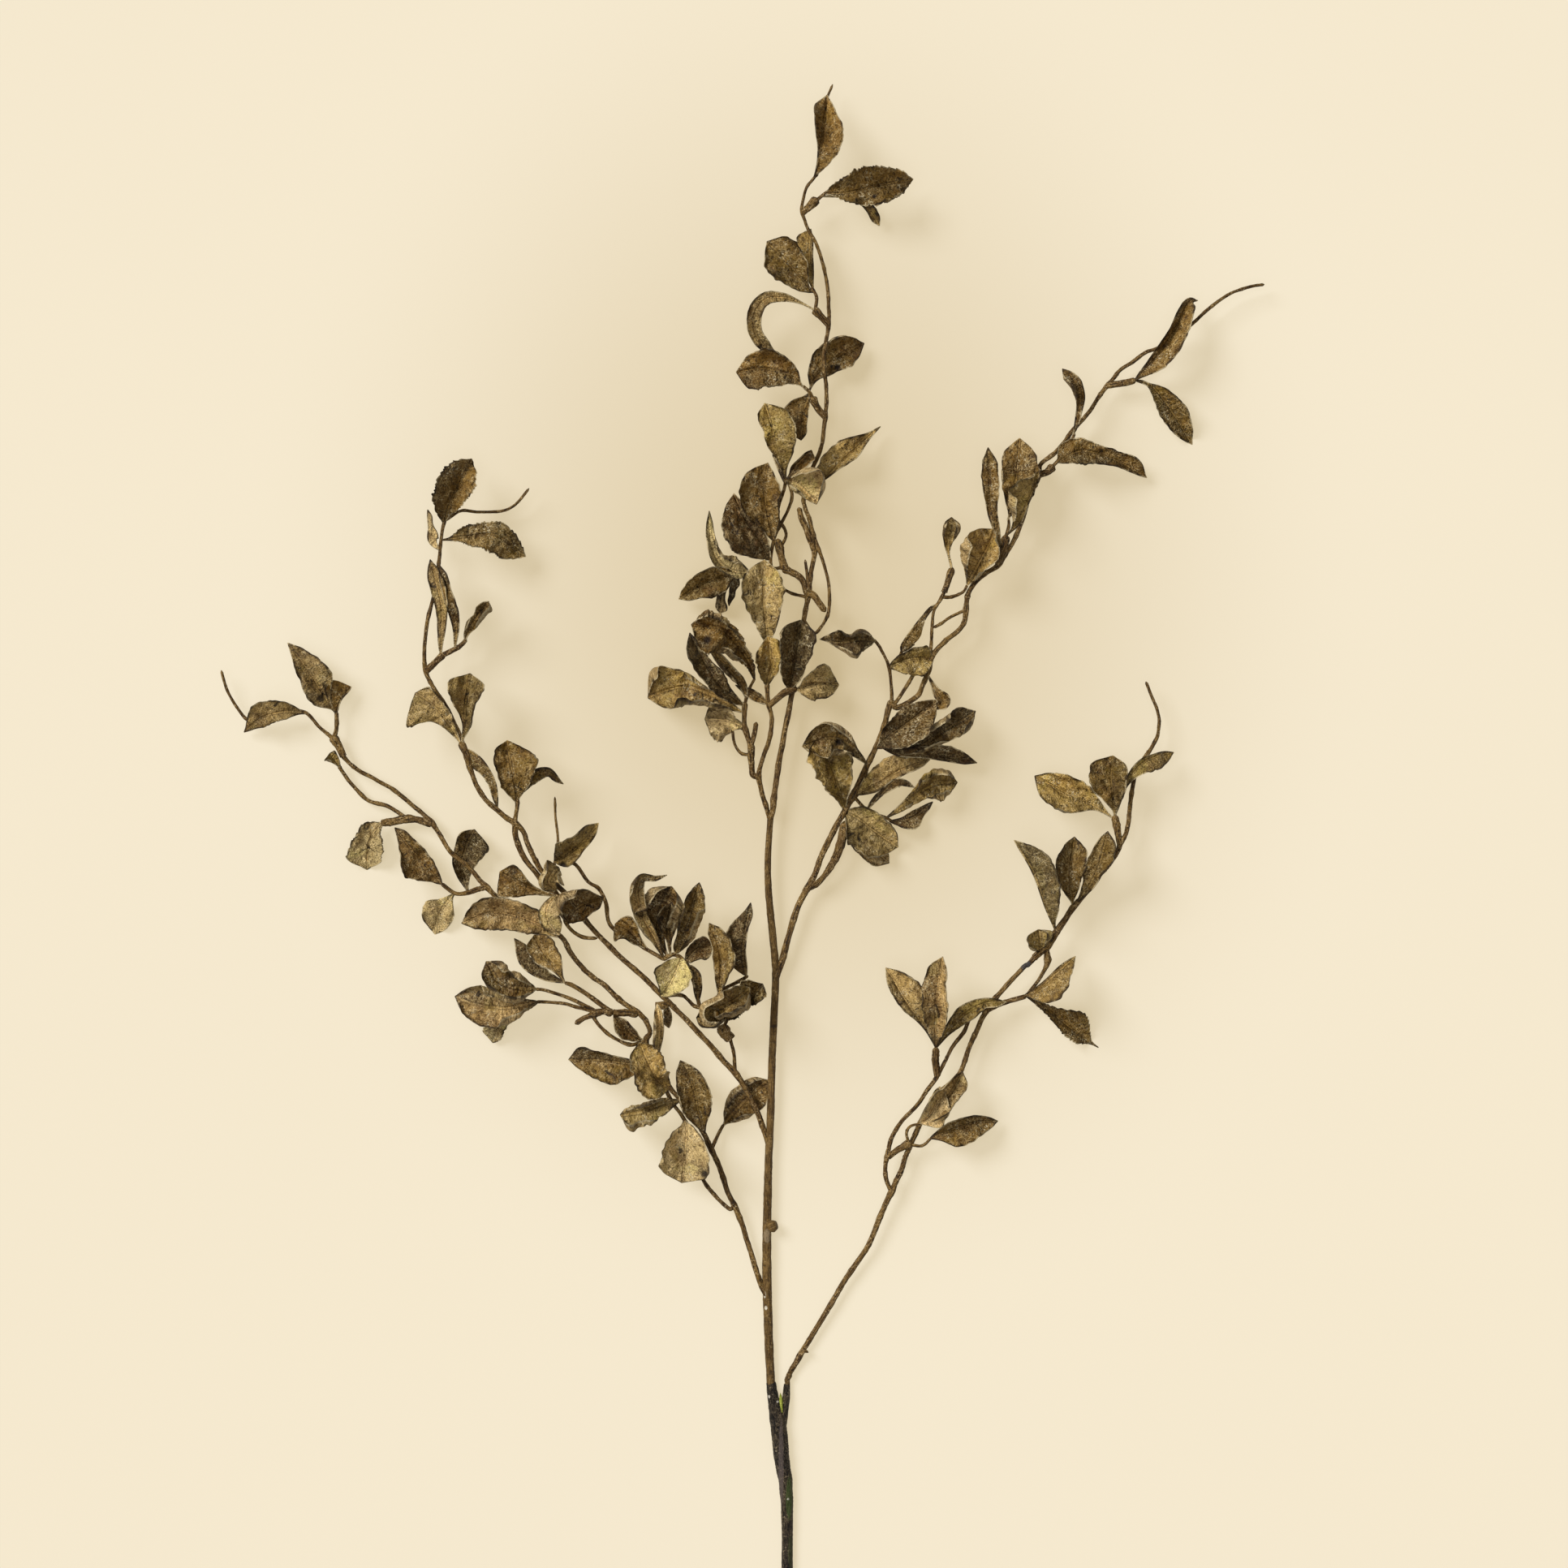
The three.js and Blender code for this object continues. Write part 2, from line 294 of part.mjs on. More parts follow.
        [24, 256, 5.2], [37.5, 279, 6.2], [51, 299, 7.4], [58, 316, 8.4], [66, 334, 9.5], [71, 345, 10.2],
        [75, 357, 11], [80, 368, 11.5], [84, 377, 12], [92, 391, 13], [101, 399, 14], [108, 407, 14.5],
        [112.5, 420, 15], [118.5, 434, 15.5], [124.5, 446, 16], [133.5, 457, 16], [146.5, 471, 16.5],
        [154, 478, 16.8], [191, 525, 18], [197, 532, 18], [203.5, 541, 18], [206, 547, 18], [210, 555, 18],
        [211.5, 565, 17.5], [212.5, 575, 17], [214.5, 587, 16.5], [216, 593, 16], [222.5, 602, 15.5],
        [228, 611, 15], [230, 619, 14.5], [229.5, 628, 14], [226, 637, 14], [222, 647, 14]]],
      [[2.2, 1.6], [[153, 477, 16.8], [161, 484, 17], [168.5, 495, 17.5], [176, 507, 17.5],
        [181, 513, 17.5]]],
      [[1.3, 0.9], [[8.4, 229.8, 5.5], [11.5, 233.5, 6.2], [14, 233, 6.8]]],
      [[1.4, 1.2], [[65, 332.4, 9.4], [61.5, 343, 10.5], [62.5, 354, 11.5], [65.5, 366, 12.5],
        [71.5, 376, 13], [81, 386, 14.5], [87, 395, 15.5], [94.5, 406, 16], [101.5, 420, 17],
        [110, 432, 17.5], [113, 440, 18.5]]],
      [[2.1, 2.4], [[93.3, 404.2, 15.9], [92.5, 413, 17], [92.5, 422, 18]]],
      [[1.9, 2.2], [[63.3, 354.1, 11.5], [70, 359, 13.5], [77.5, 363, 14]]],
      [[1, 0.9], [[76, 362, 14], [74.5, 369, 17], [77, 373.5, 18.5], [84, 375, 20]]],
      [[1, 0.9], [[76, 362, 14], [84, 361, 13.5], [90, 366, 13.5]]],
      [[1.4, 2.3, 1.3, 1.1, 1.1], [[160.7, 484.3, 17], [161, 474, 15.5], [157, 465, 14.5], [149, 454, 14]]],
      [[1.6, 1.5], [[124.4, 444.7, 15.8], [130, 447.5, 15], [137, 450, 14.5], [149, 453.5, 14]]],
      [[2.1, 2.3], [[206, 547, 18], [204, 556, 18.5], [202.5, 565, 19]]],
    ],
    "leaves": [
      ["first_left", [[92.5, 422, 18], [86, 434, 22], [75, 449, 25], [61.5, 471, 19]],
       [0.8, 1.2, 2.5, 5, 4.5], [4, 10, 13.5, 13.5, 9], { "roll": 8, "fold": 10, "curl": 14 }],
      ["first_upright", [[92.5, 422, 18], [92, 438, 28], [93, 458, 31], [96.5, 478, 26]],
       [3, 6, 8.8, 9.2, 7.3], [3, 6.2, 7, 5, 3.7], { "roll": -14, "fold": 16, "curl": 16 }],
      ["first_right", [[93, 422, 18], [104, 437, 21], [120, 448.5, 22], [136, 450, 18]],
       [1.5, 3.8, 5.7, 3.5, 2], [1.5, 3.5, 5.3, 3.5, 3], { "roll": -10, "fold": 16, "curl": 20 }],
      ["second_pale", [[83, 375, 20], [88, 380, 22], [92, 387, 23], [95, 398, 21]],
       [3, 4.8, 5, 4.5, 3.5], [4, 10, 9.6, 8.7, 5], { "roll": 16, "fold": [40, 20], "curl": 30 }],
      ["second_brown", [[83.6, 374.5, 20], [91, 382, 20], [101, 393, 19.5], [109, 407, 17]],
       [2.5, 5.5, 8.5, 6.5, 3.5], [2, 4.5, 6, 5.5, 6.5], { "roll": -10, "fold": 30, "curl": 30 }],
      ["second_dark", [[89, 365.5, 13.5], [102, 371, 15], [117, 375.5, 14], [131, 376, 9]],
       [2.5, 4.7, 5, 4.4, 2.6], [3.5, 10, 11.8, 8.8, 4.9], { "roll": 6, "fold": 10, "curl": 14 }],
      ["third_small", [[157, 481, 17], [156.5, 487, 20], [155.5, 494.5, 20]],
       [5, 7.5, 8.3, 8.2, 6.5], [2, 3.5, 5.5, 7.8, 7.2], { "roll": 14, "fold": 16, "curl": 16 }],
      ["third_folded", [[147, 453.5, 14], [156, 458, 19], [168, 469, 22], [178.5, 478, 17]],
       [1.5, 2.2, 2, 2.3, 1.5], [3, 9, 11.6, 7.5, 3.7], { "roll": -16, "fold": [16, 36], "curl": 14 }],
      ["third_drooping", [[148, 453.5, 14], [160, 446, 12], [175, 434, 6], [184, 427, 1.5],
        [193.5, 421, -1]],
       [1.5, 4, 12.5, 9.7, 1.6], [1.5, 3.5, 6.3, 5.8, 1.3], { "roll": -8, "fold": 8, "curl": 16 }],
      ["fourth_folded", [[166, 494, 17.5], [160, 508, 24], [152, 530, 27], [140.5, 549.5, 21]],
       [0.6, 0.8, 1, 1, 0.8], [2.5, 7.5, 11.5, 12.5, 7], { "roll": -6, "fold": [6, 62], "curl": 10 }],
      ["fourth_ovate", [[177.1, 507.3, 17.4], [175, 520, 20], [175.5, 535, 20], [178, 551.5, 15]],
       [1, 4.7, 8.9, 9.5, 6], [1.5, 5, 7.5, 9.5, 7.5], { "roll": 10, "fold": 12, "curl": 16 }],
      ["fourth_side", [[178, 509.5, 17.5], [187.5, 523, 25], [193.5, 538, 29], [198, 555, 25]],
       [1.5, 4.8, 8.5, 7, 4.5], [1.5, 2.9, 4, 6.7, 5.6], { "roll": -20, "fold": [10, 34], "curl": 20 }],
      ["fifth_upright", [[202.5, 564, 19], [201, 576, 24], [200, 588, 25], [201.5, 601.5, 19]],
       [1.5, 6.4, 12.5, 14.3, 11], [2, 6, 8.7, 9.3, 8.5], { "roll": -6, "fold": 12, "curl": 16 }],
      ["fifth_left", [[203, 562.2, 18.8], [189, 571, 19], [172, 579, 19], [153.5, 589, 12]],
       [0.9, 2.7, 9.5, 12, 9], [1.2, 5, 10, 10, 6.5], { "roll": 12, "fold": 12, "curl": [30, 10] }],
      ["fifth_right", [[203, 565, 19], [208, 581, 24], [217, 595, 26], [228, 601, 22], [239, 603.5, 17]],
       [1.2, 2, 2.9, 2.2, 1.8], [1.2, 1.5, 6, 8.2, 5.4], { "roll": 14, "fold": 18 }],
    ],
  },
  "upper_left_spray": {
    "twigs": [
      [[1.8, 1.6, 1.6, 1.3, 1], [[-10.5, 361, 6.4], [-15, 375, 7], [-20.5, 388, 7.8], [-29, 403, 9],
        [-39, 414, 10], [-53, 430, 12], [-67.5, 445, 13.5], [-76.5, 454, 14.5], [-86.5, 464, 15.5],
        [-100, 476, 17], [-113.5, 489, 18], [-123, 500, 18.5], [-134, 515, 19], [-149.5, 530, 19.5],
        [-154.5, 538, 20], [-159, 548, 20], [-163, 557, 20.5], [-172.5, 564, 21], [-182, 572, 21.5],
        [-189.5, 582, 22], [-194.5, 595, 22], [-198.5, 609, 22], [-202.5, 619, 22], [-208.5, 631, 22],
        [-217.5, 645, 22], [-221.5, 654, 22], [-222, 668, 22], [-220, 685, 22], [-215.5, 703, 22],
        [-213.5, 717, 22], [-212.5, 728, 22], [-211, 740, 22], [-208, 752, 22]]],
      [[1, 0.8], [[-209.5, 745.9, 22], [-200, 752, 19], [-189.5, 751.5, 17], [-175.5, 752, 16],
        [-166.5, 756, 16], [-158, 766, 17]]],
      [[1.2, 1], [[-31, 405, 9.5], [-31.5, 412, 11], [-32, 418, 12], [-34.5, 428, 14]]],
      [[3.6, 3.2], [[-34.3, 427.2, 13.8], [-37.5, 431, 15.5], [-38, 436, 17]]],
      [[1.2, 1.1], [[-37.8, 434.2, 16.5], [-36, 442, 20], [-44, 447, 20], [-55, 447, 19], [-60, 451, 18],
        [-64.5, 454, 17], [-76.5, 453, 14.5]]],
      [[1.3, 1.1], [[-75.1, 476.3, 20], [-85, 482, 18], [-95, 488, 17], [-103.5, 493, 17], [-109, 499, 17],
        [-110.5, 510, 17.5], [-114.5, 519, 18], [-121.5, 524, 19], [-130, 535, 22], [-140, 536, 23]]],
      [[1.3, 1.2], [[-53, 447, 19], [-56, 460, 18], [-60, 472, 19], [-68, 479, 20], [-76, 476, 20]]],
      [[1.2, 1.1], [[-37.2, 442.7, 19.9], [-41, 455, 21], [-30, 462, 21], [-23, 466, 21]]],
      [[2.6, 2.6], [[-80, 447, 13.5], [-72, 447.5, 14.5]]],
      [[1.9, 1.5], [[-166.2, 559.4, 20.7], [-166, 551, 19], [-161, 539, 18], [-152, 527, 18],
        [-146, 518, 19], [-135, 513, 19]]],
      [[1.1, 1], [[-131.7, 512, 18.9], [-140, 516, 21], [-143, 525, 23], [-142, 535, 23]]],
      [[1, 0.7], [[-142.3, 532.5, 23], [-140, 549, 22], [-141.5, 563, 20], [-142, 576, 18]]],
      [[1.2, 1.1], [[-131.3, 511.6, 18.9], [-136, 502, 21], [-132.5, 495, 20.5], [-125.5, 490, 19],
        [-116, 489, 18]]],
      [[2.2, 1.8], [[-221.1, 653.5, 22], [-215, 659, 23.5], [-210, 664, 24]]],
      [[1.7, 1.3], [[-210.8, 663.3, 23.9], [-201, 668, 25], [-196, 673, 25.5]]],
      [[1.9, 2.6], [[-194, 594, 22], [-196, 602, 23], [-200, 610, 24]]],
      [[1.4, 1.2], [[-166.9, 560.2, 20.7], [-165, 570, 23], [-165, 578, 24]]],
    ],
    "leaves": [
      ["near_hook", [[-75, 477, 20], [-80, 488, 25], [-88, 503, 29], [-91, 517, 30], [-88, 526, 29],
        [-80, 526, 26], [-73, 528, 22]],
       [2, 4.2, 4.6, 2.6, 1.4], [2, 3.8, 4.4, 2.4, 1.4], { "roll": 14, "fold": 24, "curl": 30 }],
      ["near_arch", [[-72.7, 477.3, 20], [-79, 492, 19], [-77, 506, 20], [-70, 521, 17]],
       [1.5, 6, 13, 13, 10], [2, 5, 11, 13, 11], { "roll": -6, "fold": 16, "curl": 30 }],
      ["near_inner", [[-70.6, 478.1, 20], [-72, 489, 27], [-72, 500, 29], [-70, 511, 26]],
       [1, 1.5, 4.5, 6.6, 4.9], [1, 2.2, 5, 6.3, 4.5], { "roll": 10, "fold": 26, "curl": 50 }],
      ["near_folded", [[-68, 479, 20], [-64, 492, 26], [-58, 508, 29], [-53, 523.5, 25]],
       [2.5, 2.5, 5, 5, 3.5], [4, 8, 8.8, 8.5, 5], { "roll": 16, "fold": [50, 40], "curl": 30 }],
      ["near_dark", [[-85, 482, 18], [-92, 489, 21], [-98, 495, 21], [-105, 498, 17]],
       [1.5, 3.7, 5, 8, 8.5], [1.5, 3, 6, 8, 5], { "roll": 20, "fold": 30, "curl": 30 }],
      ["near_ochre", [[-64, 477, 19.5], [-67, 470, 24], [-71, 461, 24], [-77, 453, 19]],
       [6, 10, 10.8, 8, 4], [5, 9, 12, 10.5, 4], { "roll": 10, "fold": 8, "curl": 10 }],
      ["near_strap", [[-60.9, 472.6, 19.1], [-54.5, 468, 22], [-53.5, 460, 21], [-54, 449, 19]],
       [1.5, 1.5, 2, 2.2, 1.5], [1.5, 2.5, 3, 3.5, 2], { "roll": 24, "fold": 24 }],
      ["near_small", [[-62, 474, 19], [-55, 482, 21], [-45, 486, 18]],
       [2, 4, 5, 6, 5], [3, 5, 7, 8, 6], { "roll": -14, "fold": 20, "curl": 20 }],
      ["near_orange", [[-41, 454, 21], [-40, 468, 27], [-41, 484, 29], [-47, 498.5, 24]],
       [2, 3.5, 4.3, 4, 3.3], [2.5, 5.5, 9.3, 8, 5.4], { "roll": -8, "fold": 22, "curl": 30 }],
      ["near_upright", [[-24, 466, 21], [-26, 480, 25], [-25, 494, 26], [-21.5, 511, 21]],
       [6, 10, 12.5, 9.5, 3], [1.5, 1.8, 1.8, 2, 2.8], { "roll": 0, "fold": [-6, 30], "curl": [0, 20] }],
      ["near_crumpled", [[-36.3, 439.3, 19.1], [-46, 443, 27], [-34, 450, 31], [-22, 459, 28]],
       [4, 7, 8, 8, 6.5], [4, 5, 6, 9, 8], { "roll": 20, "twist": -30, "fold": 34, "curl": 40 }],
      ["near_ragged", [[-37, 438, 18], [-31, 444, 22], [-22, 452, 23], [-14, 461, 20]],
       [4, 8, 11, 12, 10], [2, 4.5, 3.5, 5, 7.5], { "roll": -20, "fold": 30, "curl": 34 }],
      ["near_mass", [[-37.2, 442.7, 19.9], [-46, 438, 20], [-55, 440, 17]],
       [3, 4, 4, 4, 3], [6, 10, 12, 12, 10], { "roll": 10, "fold": 30, "curl": 40 }],
      ["near_scrap", [[-73, 448, 14.5], [-70.5, 441, 14], [-72, 433.5, 11]],
       [0.6, 0.6, 0.6, 0.8, 0.8], [3, 4.3, 4.5, 4.4, 4.2], { "fold": 30 }],
      ["crown_ragged", [[-210, 744, 22], [-206, 756, 27], [-200, 769, 28], [-193, 784, 21]],
       [6, 10.6, 12, 12, 9], [2, 7.3, 9.4, 10.9, 6.5], { "roll": 8, "fold": 10, "curl": 14 }],
      ["crown_right", [[-212, 734, 22], [-196, 736, 25], [-178, 737, 25], [-160, 724, 16]],
       [1.2, 6.5, 7.5, 8.6, 5.7], [1.5, 4.8, 10, 12, 9.5], { "roll": -10, "fold": 16, "curl": [20, 10] }],
      ["crown_scrap", [[-212.5, 728, 22], [-219, 733, 20], [-219, 742, 18], [-220.5, 753, 16]],
       [1, 0.8, 1.3, 1.3, 1], [2, 5.5, 6, 2.3, 2.3], { "roll": 20 }],
      ["crown_strap", [[-211.8, 662, 23.7], [-211, 676, 28], [-211, 692, 30], [-214, 707, 29],
        [-218.5, 722, 24]],
       [2, 2.9, 3.8, 4.8, 4], [0.8, 2.5, 4, 5, 3.5], { "roll": -30, "fold": 20, "curl": 20 }],
      ["crown_narrow", [[-203, 667, 25], [-202, 682, 33], [-207, 700, 36], [-212, 718, 31]],
       [1.5, 2.5, 3, 3, 2.5], [1, 2, 3.9, 3.3, 3], { "roll": -24, "fold": 20, "curl": 30 }],
      ["crown_trumpet", [[-197, 672, 25.5], [-192, 682, 28], [-187, 690, 30], [-182, 696, 32]],
       [2.5, 3.7, 2.6, 3.4, 2.6], [0.8, 3, 4, 4.6, 5.2], { "roll": 20, "fold": 10, "curl": 150 }],
      ["elbow_left", [[-199.2, 608.4, 23.8], [-207, 621, 26], [-216, 632, 26], [-228, 640, 19]],
       [1.5, 3.5, 7.5, 18, 17], [1.2, 3.5, 5.3, 6.2, 7.5], { "roll": 10, "fold": 14, "curl": 14 }],
      ["elbow_upright", [[-199, 608, 23.8], [-197, 621, 28], [-196, 636, 29], [-194, 652, 24]],
       [1, 1.3, 4.7, 10, 11], [1.2, 4.5, 5.5, 9, 10.8], { "roll": -8, "fold": 34, "curl": 10 }],
      ["elbow_edge", [[-197, 606, 23.5], [-186, 598, 28], [-178.5, 585, 28], [-177, 569, 21.5]],
       [1.3, 1, 0.8, 0.8, 0.8], [3.5, 7.5, 5.5, 4.6, 2.8], { "roll": 60, "fold": 20 }],
      ["elbow_big", [[-165, 572, 23], [-166, 583, 27], [-169, 597, 29], [-171, 611, 25]],
       [3.5, 7.5, 8.8, 9.4, 8], [2.5, 8.5, 15.5, 17, 8], { "roll": -6, "fold": 26, "curl": 14 }],
      ["elbow_hook", [[-165, 576.8, 23.7], [-157, 588, 29], [-146, 592.5, 24], [-137, 584, 13]],
       [2.5, 3, 2.3, 1.6, 0.8], [3, 5, 5.2, 4, 3], { "roll": 20, "fold": 24, "curl": 30 }],
      ["left_triangle", [[-135, 513, 19], [-150, 518, 21], [-162, 523, 23], [-176, 530, 21]],
       [1, 2.3, 5.2, 10.5, 13], [1, 1, 1.8, 5.5, 8], { "roll": -20, "fold": 20, "curl": 20 }],
      ["left_pointed", [[-142, 536.1, 23], [-135, 540, 27], [-126, 547, 27], [-115, 560, 20]],
       [5, 9, 8.3, 6.3, 5], [4.5, 7, 6, 4.2, 3.4], { "roll": 20, "fold": 30, "curl": 20 }],
      ["left_funnel", [[-141.1, 518.6, 21.7], [-145, 524, 27], [-142, 530, 31], [-139, 533, 35]],
       [3.5, 6, 5.5, 7, 7], [3.5, 8, 10, 5, 4.5], { "roll": 0, "fold": 10, "curl": 150 }],
      ["left_brown", [[-134.5, 498.4, 20.8], [-130, 506, 26], [-122, 511, 27], [-112, 514, 21]],
       [6, 12, 11.4, 9.3, 4], [5, 8.5, 8.5, 7, 5.5], { "roll": 10, "fold": 16, "curl": 20 }],
      ["left_ochre", [[-140, 516, 21], [-146, 509, 28], [-146, 500, 29], [-139, 491, 25]],
       [4, 8, 8.4, 8, 6.5], [2, 3, 4.8, 4.8, 3], { "roll": 10, "fold": 12, "curl": 12 }],
    ],
  },
  "lower_left_spray": {
    "twigs": [
      [[1.7, 1.5, 1.6, 1.5, 1.2], [[-12, 268, 5.6], [-16, 277, 5.8], [-23.5, 301, 6.6], [-29, 318, 7.6],
        [-36, 333, 9], [-40.5, 347, 10], [-46.5, 360, 10.5], [-52, 371, 11.5], [-58, 381, 12.5],
        [-65.5, 390, 13.5], [-73, 399, 14.5], [-80, 412, 15.5], [-86, 425, 16], [-83.5, 431, 16.5],
        [-86, 438, 17], [-91.5, 444, 17], [-101, 450, 17], [-111.5, 460, 17], [-118.5, 465, 17],
        [-126, 472, 16.5], [-132.5, 480, 15.5], [-137.5, 489, 14.5], [-147, 496, 13.5], [-159, 502, 12.5],
        [-168, 508, 12], [-177.5, 514, 11.5], [-187, 523, 11], [-197, 534, 10.5], [-206.5, 542, 10],
        [-213.5, 553, 9.5], [-220, 562, 9], [-230.5, 571, 8.5], [-241.5, 580, 8], [-253.5, 587, 8],
        [-266, 594, 8], [-274, 602, 8.5]]],
      [[2.2, 2.4], [[-273, 601, 8.5], [-276, 608, 9], [-280, 614, 9.5]]],
      [[1.2, 1.2], [[-31.7, 323.6, 8.1], [-35, 322, 8.8], [-43.5, 330, 8.5], [-50.5, 339, 8.5],
        [-54, 352, 9], [-57, 366, 11], [-63, 378, 13], [-70, 388, 14], [-76, 400, 15]]],
      [[1.2, 1], [[-45.8, 358.3, 10.5], [-42.5, 366, 7], [-38, 374, 4]]],
      [[2, 2.2], [[-119, 442, 19], [-112, 444, 19], [-106, 443, 18.5]]],
      [[2, 2.2], [[-106, 443, 18.5], [-98, 443, 18], [-90.5, 442, 17.5]]],
      [[1.5, 1.7], [[-117.5, 442.4, 19], [-124, 440, 19.5], [-129.5, 436.5, 20]]],
      [[1.2, 1.1], [[-85.5, 426.4, 16.1], [-95.5, 423.5, 17], [-106, 428, 18], [-113.5, 434, 19],
        [-119, 442, 19]]],
      [[1.2, 1], [[-117.9, 444, 19], [-120.5, 446, 19], [-132.5, 452, 20], [-147, 457, 22],
        [-154, 458, 23]]],
      [[1.2, 1], [[-117, 444, 19], [-126, 446, 17.5], [-138, 449, 17], [-154, 450, 17]]],
      [[1.6, 1.2], [[-107.1, 443.1, 18.5], [-116, 450, 19], [-129, 459, 19.5], [-136, 462, 20]]],
      [[1.1, 0.9], [[-279, 612, 9.5], [-287.5, 619, 10], [-296, 628, 12], [-308, 629, 12], [-320, 626, 10],
        [-331, 623, 8], [-339, 632, 9], [-344.5, 642, 10.5], [-348, 654, 12]]],
      [[1.3, 1.2], [[-278.8, 611.8, 9.3], [-277, 619, 10], [-277, 629, 10.5]]],
      [[1.3, 1.1], [[-233, 562, 8.5], [-245, 570, 7], [-258, 574, 6], [-268, 584, 6], [-274, 592, 7],
        [-276, 596, 7.5]]],
      [[2.2, 2.4], [[-218.7, 559.7, 9.1], [-232, 562.5, 8.5], [-244, 560.5, 8], [-250, 560, 7.5]]],
      [[1.9, 1.2], [[-184.4, 520.5, 11.1], [-190, 519, 11], [-196, 517, 10.5], [-204, 516.5, 10],
        [-213, 523, 10.5]]],
    ],
    "leaves": [
      ["low_flat", [[-39, 372.2, 4.7], [-33, 380, 2.4], [-23, 390, 1.2], [-11, 401, 0.6]],
       [1.5, 5.5, 9.7, 9.7, 7.4], [1.5, 6, 9, 10.8, 7.7], { "roll": 0, "fold": 2 }],
      ["low_dark", [[-50, 368, 11.5], [-54, 384, 17], [-57, 398, 18], [-65, 413.5, 12]],
       [4, 8.5, 10.5, 10, 6.5], [3, 8.2, 9.9, 8.9, 5.5], { "roll": -10, "fold": 16, "curl": 12 }],
      ["low_pale", [[-71.2, 396.6, 14.3], [-78, 401, 22], [-84, 412, 25], [-90, 425, 21]],
       [7, 12, 12.4, 11, 9], [5, 8.9, 8.5, 10, 8], { "roll": 10, "fold": 12, "curl": 12 }],
      ["low_brown", [[-80, 411, 15.5], [-96, 412, 18], [-114, 414, 18], [-134, 414, 10]],
       [2, 8, 13.5, 11.5, 6], [2, 2.5, 3.8, 5.6, 8], { "roll": -6, "fold": 16, "curl": 14 }],
      ["low_crumpled", [[-64.9, 389, 13.4], [-78, 386, 20], [-90, 382, 20], [-102, 380, 13]],
       [3, 6, 8, 9, 9], [2.5, 4.5, 5, 5, 4], { "roll": 20, "fold": 30, "curl": 40 }],
      ["low_ochre", [[-62.3, 376.8, 12.8], [-61, 370, 18], [-62, 355, 18], [-64, 338, 11]],
       [2, 6, 12.5, 15.5, 14.5], [3, 8, 12, 14.5, 13], { "roll": 8, "fold": 14, "curl": 18 }],
      ["low_rolled", [[-81, 413, 15.5], [-78, 423, 21], [-77.5, 436, 23], [-79, 449, 24]],
       [2, 3.5, 3.9, 3.3, 2.3], [1.5, 1.5, 2.4, 2.7, 2.4], { "fold": 30, "curl": 80 }],
      ["twig_dark", [[-87.1, 425.9, 16.2], [-94, 430, 20], [-100, 436, 20], [-106, 442, 18]],
       [1.8, 4.2, 6.5, 5.7, 3], [0.9, 3, 3.4, 3.5, 1.6], { "roll": 16, "fold": 16, "curl": 16 }],
      ["outer_curled", [[-153, 458, 23], [-165, 459, 29], [-176, 463, 31], [-184, 475, 25]],
       [4, 9, 9.5, 7, 5.6], [4, 9, 9.5, 9.5, 9.3], { "roll": 10, "fold": 24, "curl": 30 }],
      ["outer_brown", [[-153, 450, 17], [-168, 447, 21], [-185, 447, 20], [-204, 453, 11]],
       [2, 8, 11.6, 11.6, 7], [3, 6, 10, 13, 9], { "roll": -8, "fold": 14, "curl": 16 }],
      ["outer_low", [[-152, 450, 16.5], [-168, 443, 11], [-176, 434, 8], [-181, 424, 4]],
       [2.5, 3.8, 4, 3.9, 4.5], [3, 6, 8, 9, 8.5], { "roll": 8, "fold": 10 }],
      ["inner_dark", [[-135, 461.5, 20], [-150, 464, 18], [-163, 473, 18], [-167, 489, 17]],
       [0.6, 0.6, 0.6, 0.6, 0.6], [3, 6.5, 7, 7.4, 7], { "roll": 40, "fold": 20, "curl": 20 }],
      ["inner_veined", [[-136, 462, 20], [-143, 472, 21], [-150, 482, 20], [-155, 491, 15]],
       [1, 2.6, 6.6, 8, 6.6], [2, 6.5, 9, 10, 8], { "roll": -6, "fold": 14, "curl": 20 }],
      ["long_brown", [[-138.4, 489.7, 14.4], [-158, 500, 15.5], [-180, 505, 15.5], [-200, 498, 10]],
       [3.5, 7.7, 9.9, 11, 7], [4, 8.4, 9.2, 9.6, 6.2], { "roll": -8, "fold": 14, "curl": 16 }],
      ["far_left", [[-294, 627.5, 12], [-309, 628.5, 15], [-323, 625, 13], [-334.5, 616, 6]],
       [1.3, 4.7, 5.7, 6.2, 2.8], [2, 5.9, 8, 8.3, 3.2], { "roll": -10, "fold": 16, "curl": 20 }],
      ["far_upright", [[-277, 627, 10.5], [-284, 638, 16], [-294, 654, 18], [-307, 671, 12]],
       [1.5, 8, 8.2, 6.3, 3], [1, 3.5, 11.5, 9.7, 5], { "roll": 12, "fold": 22, "curl": 14 }],
      ["far_dark", [[-277, 628, 10.5], [-274, 636, 13], [-268, 644, 10]],
       [3, 6, 11, 12, 9], [0.6, 0.6, 0.6, 0.8, 1], { "roll": -16, "fold": 24, "curl": 20 }],
      ["far_trumpet", [[-275, 594, 7.5], [-277, 598, 10], [-279, 601, 12], [-281, 603, 13]],
       [1.2, 2.2, 3.6, 4.6, 4.6], [1, 2, 2.6, 3.2, 3], { "fold": 10, "curl": 140 }],
      ["far_round", [[-249, 560, 7.5], [-255, 553, 8], [-258, 544, 4], [-259, 531, -1]],
       [3, 8, 9.5, 11, 8.5], [5, 9, 9.7, 12, 11.5], { "roll": 6, "fold": 8, "curl": 10 }],
      ["far_ovate", [[-212, 522, 10.5], [-221, 533, 12], [-231, 544, 10], [-241.5, 557, 4]],
       [4, 11, 13, 7.5, 3], [3, 5.2, 6.4, 6, 4.5], { "roll": -8, "fold": 12, "curl": 10 }],
